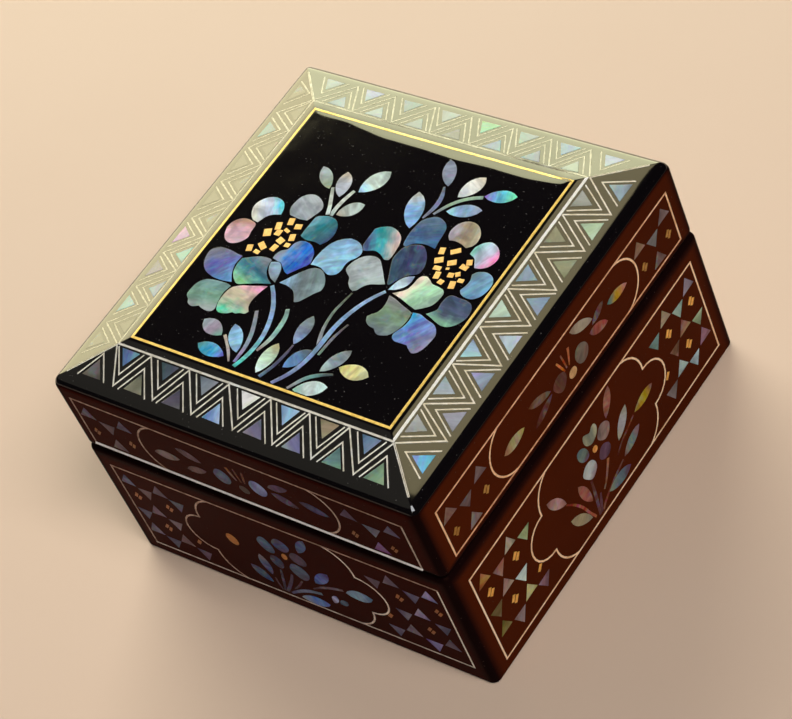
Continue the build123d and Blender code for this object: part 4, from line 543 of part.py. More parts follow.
# leaves of the spray, right and back faces of the lid
LID_R_LEAVES = [
    [(-18.09, 45), (-17.12, 45.28), (-16.16, 45.69), (-15.2, 46.4), (-16.19, 47.06), (-17.18, 47.42), (-18.16, 47.65), (-19.14, 47.75), (-20.11, 47.69), (-21.08, 47.45), (-22.05, 47.02), (-23, 46.2), (-22, 45.43), (-21.02, 45.05), (-20.04, 44.86), (-19.06, 44.85)],
    [(-5.04, 46.2), (-5.03, 46.23), (-5.74, 47.04), (-6.56, 47.66), (-7.42, 48.19), (-8.31, 48.63), (-9.25, 48.95), (-10.23, 49.15), (-11.26, 49.21), (-12.4, 49), (-11.69, 48.09), (-10.87, 47.45), (-10, 46.95), (-9.09, 46.57), (-8.13, 46.31), (-7.14, 46.14), (-6.11, 46.06)],
    [(-10.41, 42.56), (-9.4, 42.75), (-8.43, 43.05), (-7.49, 43.46), (-6.59, 43.95), (-5.71, 44.53), (-4.93, 45.27), (-4.95, 45.3), (-6.01, 45.42), (-7.06, 45.35), (-8.08, 45.19), (-9.07, 44.95), (-10.02, 44.6), (-10.94, 44.14), (-11.81, 43.54), (-12.57, 42.73), (-12.56, 42.69), (-11.46, 42.51)],
    [(12.9, 49.2), (12.27, 50.24), (11.51, 51.04), (10.69, 51.73), (9.82, 52.3), (8.88, 52.75), (7.86, 53.05), (6.76, 53.18), (5.5, 53), (6.09, 51.87), (6.84, 51.05), (7.67, 50.4), (8.58, 49.9), (9.56, 49.52), (10.59, 49.26), (11.68, 49.11)],
    [(16.8, 44.2), (16.28, 45.12), (15.65, 45.79), (14.97, 46.35), (14.24, 46.79), (13.45, 47.09), (12.6, 47.25), (11.67, 47.24), (10.6, 46.9), (11.08, 45.88), (11.7, 45.2), (12.4, 44.68), (13.16, 44.31), (13.98, 44.08), (14.85, 43.96), (15.77, 43.95)],
    [(13.76, 47.77), (14.48, 47.88), (15.16, 48.07), (15.8, 48.35), (16.39, 48.74), (16.95, 49.25), (17.4, 50), (16.55, 50.22), (15.81, 50.21), (15.1, 50.07), (14.44, 49.83), (13.82, 49.5), (13.24, 49.08), (12.68, 48.58), (12.2, 47.9), (13.02, 47.75)],
    [(23.61, 46.02), (24.58, 46.23), (25.6, 46.7), (24.77, 47.45), (23.89, 47.93), (23, 48.29), (22.09, 48.54), (21.16, 48.64), (20.21, 48.59), (19.23, 48.37), (18.2, 47.8), (19.02, 46.96), (19.89, 46.46), (20.79, 46.13), (21.71, 45.96), (22.65, 45.93)],
]
# stems of the spray, right and back faces of the lid
LID_R_STEMS = [
    [(0.79, 46.27), (0.34, 47.71), (-0.19, 49.08), (-0.77, 50.39), (-1.23, 50.21), (-0.2, 47.5), (0.41, 46.13)],
    [(1.6, 46.42), (1.52, 47.97), (1.35, 49.45), (1.1, 50.83), (0.7, 50.77), (1.2, 46.38)],
    [(3.04, 47.53), (3.99, 50.29), (3.21, 50.51), (2.91, 49.08), (2.11, 46.37), (2.49, 46.23)],
]
# gold heart of the spray, right and back faces of the lid
LID_R_GOLD = [
    [(3.23, 42.52), (3.67, 42.94), (3.88, 43.5), (3.82, 44.08), (3.49, 44.56), (2.97, 44.85), (2.36, 44.9), (1.77, 44.68), (1.33, 44.26), (1.12, 43.7), (1.18, 43.12), (1.51, 42.64), (2.03, 42.35), (2.64, 42.3)],
]

# ---------------------------------------------------------------- base
# Four walls mitred at the corners. Each is a flat board whose ends are cut at
# 45 degrees, rounded where it reaches the upright corner.
with BuildPart() as base_front_wall:
    with BuildSketch():
        with BuildLine():
            Polyline((-BASE_HALF, -BASE_HALF), (BASE_HALF, -BASE_HALF),
                     (BASE_IN, -BASE_IN), (-BASE_IN, -BASE_IN), close=True)
        make_face()
        RectangleRounded(2 * BASE_HALF, 2 * BASE_HALF, CORNER, mode=Mode.INTERSECT)
    extrude(amount=RIM)
    rim_edges = base_front_wall.edges().filter_by_position(Axis.Z, RIM, RIM)
    fillet([e for e in rim_edges if (e @ 0.5).Y < -BASE_IN - 3 or abs((e @ 0.5).X) > BASE_HALF - 1.2], RIM_ROUND)
    foot_edges = base_front_wall.edges().filter_by_position(Axis.Z, 0, 0)
    fillet([e for e in foot_edges if (e @ 0.5).Y < -BASE_IN - 3 or abs((e @ 0.5).X) > BASE_HALF - 1.2], FOOT_ROUND)
base_front_wall.part.label = "base_front_wall"

with BuildPart() as base_right_wall:
    add(base_front_wall.part, rotation=(0, 0, 90))
base_right_wall.part.label = "base_right_wall"

with BuildPart() as base_back_wall:
    add(base_front_wall.part, rotation=(0, 0, 180))
base_back_wall.part.label = "base_back_wall"

with BuildPart() as base_left_wall:
    add(base_front_wall.part, rotation=(0, 0, 270))
base_left_wall.part.label = "base_left_wall"

# The bottom board is let in between the walls.
with BuildPart() as base_bottom_board:
    with BuildSketch():
        Rectangle(2 * BASE_IN, 2 * BASE_IN)
    extrude(amount=FLOOR)
base_bottom_board.part.label = "base_bottom_board"

# Liner boards stand on the bottom board against the walls and rise above the
# rim, as the collar that the lid drops over.
with BuildPart() as liner_front:
    with BuildSketch(Plane.XY.offset(FLOOR)):
        with BuildLine():
            Polyline((-BASE_IN, -BASE_IN), (BASE_IN, -BASE_IN),
                     (BASE_IN - LINER, -BASE_IN + LINER), (-BASE_IN + LINER, -BASE_IN + LINER), close=True)
        make_face()
    extrude(amount=RIM + LINER_UP - FLOOR)
    fillet(liner_front.edges().filter_by(Axis.X).group_by(Axis.Z)[-1], 0.5)
liner_front.part.label = "liner_front"

with BuildPart() as liner_right:
    add(liner_front.part, rotation=(0, 0, 90))
liner_right.part.label = "liner_right"

with BuildPart() as liner_back:
    add(liner_front.part, rotation=(0, 0, 180))
liner_back.part.label = "liner_back"

with BuildPart() as liner_left:
    add(liner_front.part, rotation=(0, 0, 270))
liner_left.part.label = "liner_left"

# Felt pad laid on the bottom board.
with BuildPart() as floor_felt:
    with BuildSketch(Plane.XY.offset(FLOOR)):
        Rectangle(2 * (BASE_IN - LINER) - 0.4, 2 * (BASE_IN - LINER) - 0.4)
    extrude(amount=FELT)
floor_felt.part.label = "floor_felt"

# ---------------------------------------------------------------- lid
# Four mitred rails, which rest on the rim of the base walls.
with BuildPart() as lid_front_rail:
    with BuildSketch(Plane.XY.offset(RIM)):
        with BuildLine():
            Polyline((-LID_HALF, -LID_HALF), (LID_HALF, -LID_HALF),
                     (LID_IN, -LID_IN), (-LID_IN, -LID_IN), close=True)
        make_face()
        RectangleRounded(2 * LID_HALF, 2 * LID_HALF, CORNER, mode=Mode.INTERSECT)
    extrude(amount=RAIL_TOP - RIM)
    lip_edges = lid_front_rail.edges().filter_by_position(Axis.Z, RIM, RIM)
    fillet([e for e in lip_edges if (e @ 0.5).Y < -LID_IN - 3 or abs((e @ 0.5).X) > LID_HALF - 1.2], LIP_ROUND)
lid_front_rail.part.label = "lid_front_rail"

with BuildPart() as lid_right_rail:
    add(lid_front_rail.part, rotation=(0, 0, 90))
lid_right_rail.part.label = "lid_right_rail"

with BuildPart() as lid_back_rail:
    add(lid_front_rail.part, rotation=(0, 0, 180))
lid_back_rail.part.label = "lid_back_rail"

with BuildPart() as lid_left_rail:
    add(lid_front_rail.part, rotation=(0, 0, 270))
lid_left_rail.part.label = "lid_left_rail"

# Top board: flat in the middle, with four bevels falling to the outer edge,
# which is worked round in narrow facets that lie on a circle of EDGE_ROUND.
slope_angle = math.atan2(slope_rise, slope_run)
tangent = EDGE_ROUND / math.tan((math.pi / 2 + slope_angle) / 2)
arc_half = LID_HALF - EDGE_ROUND       # centre of the rounding, from the middle
arc_z = EDGE_Z - tangent
with BuildPart() as lid_top_board:
    with BuildSketch(Plane.XY.offset(RAIL_TOP)):
        RectangleRounded(2 * LID_HALF, 2 * LID_HALF, CORNER)
    extrude(amount=PANEL_Z - RAIL_TOP)
    for bevel in bevels:
        split(bisect_by=bevel, keep=Keep.BOTTOM)
    for t in turns:
        for lift in (24, 48):
            c, s = math.cos(math.radians(lift)), math.sin(math.radians(lift))
            touch = Vector(0, -arc_half - EDGE_ROUND * c, arc_z + EDGE_ROUND * s).rotate(Axis.Z, t)
            split(bisect_by=Plane(origin=touch, z_dir=Vector(0, -c, s).rotate(Axis.Z, t)), keep=Keep.BOTTOM)
            reach = (CORNER - EDGE_ROUND + EDGE_ROUND * c) / math.sqrt(2)
            corner = LID_HALF - CORNER + reach
            touch = Vector(corner, -corner, arc_z + EDGE_ROUND * s).rotate(Axis.Z, t)
            out = Vector(c / math.sqrt(2), -c / math.sqrt(2), s).rotate(Axis.Z, t)
            split(bisect_by=Plane(origin=touch, z_dir=out), keep=Keep.BOTTOM)
lid_top_board.part.label = "lid_top_board"

# Felt glued to the underside of the top board, inside the rails.
with BuildPart() as lid_felt:
    with BuildSketch(Plane.XY.offset(RAIL_TOP - LID_FELT)):
        Rectangle(2 * LID_IN - 0.4, 2 * LID_IN - 0.4)
    extrude(amount=LID_FELT)
lid_felt.part.label = "lid_felt"

# ---------------------------------------------------------------- inlay on the top
# Gold square line round the bouquet.
GOLD_LINE = 35.0       # centre of the gold square line, from the middle
GOLD_WIDTH = 0.6
BUTT = 0.04            # gap where one strip meets the next

with BuildPart() as top_gold_line:
    with BuildSketch(panel):
        with Locations((0, GOLD_LINE), (0, -GOLD_LINE)):
            Rectangle(2 * GOLD_LINE + GOLD_WIDTH, GOLD_WIDTH)
        with Locations((GOLD_LINE, 0), (-GOLD_LINE, 0)):
            Rectangle(GOLD_WIDTH, 2 * GOLD_LINE - GOLD_WIDTH - 2 * BUTT)
    extrude(amount=PLATE)
top_gold_line.part.label = "top_gold_line"

# Shell petals of the left flower.
with BuildPart() as left_flower_petals:
    for face, outlines in [(panel, LEFT_PETALS)]:
        with BuildSketch(face):
            for outline in outlines:
                with BuildLine():
                    Polyline(*outline, close=True)
                make_face()
        extrude(amount=PLATE)
left_flower_petals.part.label = "left_flower_petals"

# Shell petals of the right flower.
with BuildPart() as right_flower_petals:
    for face, outlines in [(panel, RIGHT_PETALS)]:
        with BuildSketch(face):
            for outline in outlines:
                with BuildLine():
                    Polyline(*outline, close=True)
                make_face()
        extrude(amount=PLATE)
right_flower_petals.part.label = "right_flower_petals"

# Shell cups below the flowers.
with BuildPart() as top_buds:
    for face, outlines in [(panel, BUDS)]:
        with BuildSketch(face):
            for outline in outlines:
                with BuildLine():
                    Polyline(*outline, close=True)
                make_face()
        extrude(amount=PLATE)
top_buds.part.label = "top_buds"

# Shell leaves of the bouquet.
with BuildPart() as top_leaves:
    for face, outlines in [(panel, TOP_LEAVES)]:
        with BuildSketch(face):
            for outline in outlines:
                with BuildLine():
                    Polyline(*outline, close=True)
                make_face()
        extrude(amount=PLATE)
top_leaves.part.label = "top_leaves"

# Shell stems of the bouquet.
with BuildPart() as top_stems:
    for face, outlines in [(panel, TOP_STEMS)]:
        with BuildSketch(face):
            for outline in outlines:
                with BuildLine():
                    Polyline(*outline, close=True)
                make_face()
        extrude(amount=PLATE)
top_stems.part.label = "top_stems"

# Gold flakes of the left flower.
with BuildPart() as left_flower_gold:
    for face, outlines in [(panel, LEFT_GOLD)]:
        with BuildSketch(face):
            for outline in outlines:
                with BuildLine():
                    Polyline(*outline, close=True)
                make_face()
        extrude(amount=PLATE)
left_flower_gold.part.label = "left_flower_gold"

# Gold flakes of the right flower.
with BuildPart() as right_flower_gold:
    for face, outlines in [(panel, RIGHT_GOLD)]:
        with BuildSketch(face):
            for outline in outlines:
                with BuildLine():
                    Polyline(*outline, close=True)
                make_face()
        extrude(amount=PLATE)
right_flower_gold.part.label = "right_flower_gold"

# ---------------------------------------------------------------- inlay on the bevels
# Shell square line just below the edge of the flat middle, mitred at its corners.
with BuildPart() as top_pearl_line:
    for face, outlines in sets(bevels, BEVEL_F_PEARL, BEVEL_R_PEARL):
        with BuildSketch(face):
            for outline in outlines:
                with BuildLine():
                    Polyline(*outline, close=True)
                make_face()
        extrude(amount=PLATE)
top_pearl_line.part.label = "top_pearl_line"

# Shell strips on both sides of each mitre.
with BuildPart() as mitre_lines:
    for face, outlines in sets(bevels, BEVEL_F_MITRE, BEVEL_R_MITRE):
        with BuildSketch(face):
            for outline in outlines:
                with BuildLine():
                    Polyline(*outline, close=True)
                make_face()
        extrude(amount=PLATE)
mitre_lines.part.label = "mitre_lines"

# Bent shell strips round the triangles.
with BuildPart() as bevel_zigzag_lines:
    for face, outlines in sets(bevels, BEVEL_F_ZIGZAG, BEVEL_R_ZIGZAG):
        with BuildSketch(face):
            for outline in outlines:
                with BuildLine():
                    Polyline(*outline, close=True)
                make_face()
        extrude(amount=PLATE)
bevel_zigzag_lines.part.label = "bevel_zigzag_lines"

# Shell triangles standing on the outer edge.
with BuildPart() as bevel_outer_triangles:
    for face, outlines in sets(bevels, BEVEL_F_OUTER, BEVEL_R_OUTER):
        with BuildSketch(face):
            for outline in outlines:
                with BuildLine():
                    Polyline(*outline, close=True)
                make_face()
        extrude(amount=PLATE)
bevel_outer_triangles.part.label = "bevel_outer_triangles"

# Shell triangles hanging from the inner edge.
with BuildPart() as bevel_inner_triangles:
    for face, outlines in sets(bevels, BEVEL_F_INNER, BEVEL_R_INNER):
        with BuildSketch(face):
            for outline in outlines:
                with BuildLine():
                    Polyline(*outline, close=True)
                make_face()
        extrude(amount=PLATE)
bevel_inner_triangles.part.label = "bevel_inner_triangles"

# ---------------------------------------------------------------- inlay on the lid sides
# Shell strips framing each side of the lid.
with BuildPart() as lid_frame_lines:
    for face, outlines in sets(lid_faces, LID_F_FRAME, LID_R_FRAME):
        with BuildSketch(face):
            for outline in outlines:
                with BuildLine():
                    Polyline(*outline, close=True)
                make_face()
        extrude(amount=PLATE)
lid_frame_lines.part.label = "lid_frame_lines"

# Curved shell strips closing each cartouche of the lid.
with BuildPart() as lid_cartouche_lines:
    for face, outlines in sets(lid_faces, LID_F_CARTOUCHE, LID_R_CARTOUCHE):
        with BuildSketch(face):
            for outline in outlines:
                with BuildLine():
                    Polyline(*outline, close=True)
                make_face()
        extrude(amount=PLATE)
lid_cartouche_lines.part.label = "lid_cartouche_lines"

# Shell triangles of the lattice on the lid.
with BuildPart() as lid_lattice_triangles:
    for face, outlines in sets(lid_faces, LID_F_TRIANGLES, LID_R_TRIANGLES):
        with BuildSketch(face):
            for outline in outlines:
                with BuildLine():
                    Polyline(*outline, close=True)
                make_face()
        extrude(amount=PLATE)
lid_lattice_triangles.part.label = "lid_lattice_triangles"

# Gold bars of the lattice on the lid.
with BuildPart() as lid_lattice_gold:
    for face, outlines in sets(lid_faces, LID_F_BARS, LID_R_BARS):
        with BuildSketch(face):
            for outline in outlines:
                with BuildLine():
                    Polyline(*outline, close=True)
                make_face()
        extrude(amount=PLATE)
lid_lattice_gold.part.label = "lid_lattice_gold"

# Shell petals of the sprays on the lid.
with BuildPart() as lid_spray_petals:
    for face, outlines in sets(lid_faces, LID_F_PETALS, LID_R_PETALS):
        with BuildSketch(face):
            for outline in outlines:
                with BuildLine():
                    Polyline(*outline, close=True)
                make_face()
        extrude(amount=PLATE)
lid_spray_petals.part.label = "lid_spray_petals"

# Shell leaves of the sprays on the lid.
with BuildPart() as lid_spray_leaves:
    for face, outlines in sets(lid_faces, LID_F_LEAVES, LID_R_LEAVES):
        with BuildSketch(face):
            for outline in outlines:
                with BuildLine():
                    Polyline(*outline, close=True)
                make_face()
        extrude(amount=PLATE)
lid_spray_leaves.part.label = "lid_spray_leaves"

# Shell stems of the sprays on the lid.
with BuildPart() as lid_spray_stems:
    for face, outlines in sets(lid_faces, LID_F_STEMS, LID_R_STEMS):
        with BuildSketch(face):
            for outline in outlines:
                with BuildLine():
                    Polyline(*outline, close=True)
                make_face()
        extrude(amount=PLATE)
lid_spray_stems.part.label = "lid_spray_stems"

# Gold hearts of the sprays on the lid.
with BuildPart() as lid_spray_gold:
    for face, outlines in sets(lid_faces, LID_F_GOLD, LID_R_GOLD):
        with BuildSketch(face):
            for outline in outlines:
                with BuildLine():
                    Polyline(*outline, close=True)
                make_face()
        extrude(amount=PLATE)
lid_spray_gold.part.label = "lid_spray_gold"

# ---------------------------------------------------------------- inlay on the base sides
# Shell strips framing each side of the base.
with BuildPart() as base_frame_lines:
    for face, outlines in sets(base_faces, BASE_F_FRAME, BASE_R_FRAME):
        with BuildSketch(face):
            for outline in outlines:
                with BuildLine():
                    Polyline(*outline, close=True)
                make_face()
        extrude(amount=PLATE)
base_frame_lines.part.label = "base_frame_lines"

# Curved shell strips closing each cartouche of the base.
with BuildPart() as base_cartouche_lines:
    for face, outlines in sets(base_faces, BASE_F_CARTOUCHE, BASE_R_CARTOUCHE):
        with BuildSketch(face):
            for outline in outlines:
                with BuildLine():
                    Polyline(*outline, close=True)
                make_face()
        extrude(amount=PLATE)
base_cartouche_lines.part.label = "base_cartouche_lines"

# Shell triangles of the lattice on the base.
with BuildPart() as base_lattice_triangles:
    for face, outlines in sets(base_faces, BASE_F_TRIANGLES, BASE_R_TRIANGLES):
        with BuildSketch(face):
            for outline in outlines:
                with BuildLine():
                    Polyline(*outline, close=True)
                make_face()
        extrude(amount=PLATE)
base_lattice_triangles.part.label = "base_lattice_triangles"

# Gold bars of the lattice on the base.
with BuildPart() as base_lattice_gold:
    for face, outlines in sets(base_faces, BASE_F_BARS, BASE_R_BARS):
        with BuildSketch(face):
            for outline in outlines:
                with BuildLine():
                    Polyline(*outline, close=True)
                make_face()
        extrude(amount=PLATE)
base_lattice_gold.part.label = "base_lattice_gold"

# Shell petals of the sprays on the base.
with BuildPart() as base_spray_petals:
    for face, outlines in sets(base_faces, BASE_F_PETALS, BASE_R_PETALS):
        with BuildSketch(face):
            for outline in outlines:
                with BuildLine():
                    Polyline(*outline, close=True)
                make_face()
        extrude(amount=PLATE)
base_spray_petals.part.label = "base_spray_petals"

# Shell leaves of the sprays on the base.
with BuildPart() as base_spray_leaves:
    for face, outlines in sets(base_faces, BASE_F_LEAVES, BASE_R_LEAVES):
        with BuildSketch(face):
            for outline in outlines:
                with BuildLine():
                    Polyline(*outline, close=True)
                make_face()
        extrude(amount=PLATE)
base_spray_leaves.part.label = "base_spray_leaves"

# Shell stems of the sprays on the base.
with BuildPart() as base_spray_stems:
    for face, outlines in sets(base_faces, BASE_F_STEMS, BASE_R_STEMS):
        with BuildSketch(face):
            for outline in outlines:
                with BuildLine():
                    Polyline(*outline, close=True)
                make_face()
        extrude(amount=PLATE)
base_spray_stems.part.label = "base_spray_stems"

# Gold hearts of the sprays on the base.
with BuildPart() as base_spray_gold:
    for face, outlines in sets(base_faces, BASE_F_GOLD, BASE_R_GOLD):
        with BuildSketch(face):
            for outline in outlines:
                with BuildLine():
                    Polyline(*outline, close=True)
                make_face()
        extrude(amount=PLATE)
base_spray_gold.part.label = "base_spray_gold"

# ---------------------------------------------------------------- export
export_step(base_front_wall.part, "parts/base_front_wall.step")
export_step(base_right_wall.part, "parts/base_right_wall.step")
export_step(base_back_wall.part, "parts/base_back_wall.step")
export_step(base_left_wall.part, "parts/base_left_wall.step")
export_step(base_bottom_board.part, "parts/base_bottom_board.step")
export_step(liner_front.part, "parts/liner_front.step")
export_step(liner_right.part, "parts/liner_right.step")
export_step(liner_back.part, "parts/liner_back.step")
export_step(liner_left.part, "parts/liner_left.step")
export_step(floor_felt.part, "parts/floor_felt.step")
export_step(lid_front_rail.part, "parts/lid_front_rail.step")
export_step(lid_right_rail.part, "parts/lid_right_rail.step")
export_step(lid_back_rail.part, "parts/lid_back_rail.step")
export_step(lid_left_rail.part, "parts/lid_left_rail.step")
export_step(lid_top_board.part, "parts/lid_top_board.step")
export_step(lid_felt.part, "parts/lid_felt.step")
export_step(top_gold_line.part, "parts/top_gold_line.step")
export_step(left_flower_petals.part, "parts/left_flower_petals.step")
export_step(right_flower_petals.part, "parts/right_flower_petals.step")
export_step(top_buds.part, "parts/top_buds.step")
export_step(top_leaves.part, "parts/top_leaves.step")
export_step(top_stems.part, "parts/top_stems.step")
export_step(left_flower_gold.part, "parts/left_flower_gold.step")
export_step(right_flower_gold.part, "parts/right_flower_gold.step")
export_step(top_pearl_line.part, "parts/top_pearl_line.step")
export_step(mitre_lines.part, "parts/mitre_lines.step")
export_step(bevel_zigzag_lines.part, "parts/bevel_zigzag_lines.step")
export_step(bevel_outer_triangles.part, "parts/bevel_outer_triangles.step")
export_step(bevel_inner_triangles.part, "parts/bevel_inner_triangles.step")
export_step(lid_frame_lines.part, "parts/lid_frame_lines.step")
export_step(lid_cartouche_lines.part, "parts/lid_cartouche_lines.step")
export_step(lid_lattice_triangles.part, "parts/lid_lattice_triangles.step")
export_step(lid_lattice_gold.part, "parts/lid_lattice_gold.step")
export_step(lid_spray_petals.part, "parts/lid_spray_petals.step")
export_step(lid_spray_leaves.part, "parts/lid_spray_leaves.step")
export_step(lid_spray_stems.part, "parts/lid_spray_stems.step")
export_step(lid_spray_gold.part, "parts/lid_spray_gold.step")
export_step(base_frame_lines.part, "parts/base_frame_lines.step")
export_step(base_cartouche_lines.part, "parts/base_cartouche_lines.step")
export_step(base_lattice_triangles.part, "parts/base_lattice_triangles.step")
export_step(base_lattice_gold.part, "parts/base_lattice_gold.step")
export_step(base_spray_petals.part, "parts/base_spray_petals.step")
export_step(base_spray_leaves.part, "parts/base_spray_leaves.step")
export_step(base_spray_stems.part, "parts/base_spray_stems.step")
export_step(base_spray_gold.part, "parts/base_spray_gold.step")
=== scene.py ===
import bpy
import math
import random
import numpy as np
from mathutils import Vector, Matrix


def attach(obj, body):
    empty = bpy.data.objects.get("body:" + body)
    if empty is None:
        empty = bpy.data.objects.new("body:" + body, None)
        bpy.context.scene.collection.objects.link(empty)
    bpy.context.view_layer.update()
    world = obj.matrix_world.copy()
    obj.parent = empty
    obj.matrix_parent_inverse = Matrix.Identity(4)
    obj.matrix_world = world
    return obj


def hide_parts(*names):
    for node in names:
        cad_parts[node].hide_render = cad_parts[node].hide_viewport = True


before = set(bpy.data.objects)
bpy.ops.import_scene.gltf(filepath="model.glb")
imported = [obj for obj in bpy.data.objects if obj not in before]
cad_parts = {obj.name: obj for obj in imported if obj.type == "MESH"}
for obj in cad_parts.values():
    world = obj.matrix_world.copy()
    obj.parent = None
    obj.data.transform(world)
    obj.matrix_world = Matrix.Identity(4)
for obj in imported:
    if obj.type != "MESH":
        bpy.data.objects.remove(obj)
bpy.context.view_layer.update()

for default in ("Cube", "Light", "Camera"):
    o = bpy.data.objects.get(default)
    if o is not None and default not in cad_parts:
        bpy.data.objects.remove(o)

MM = 0.001

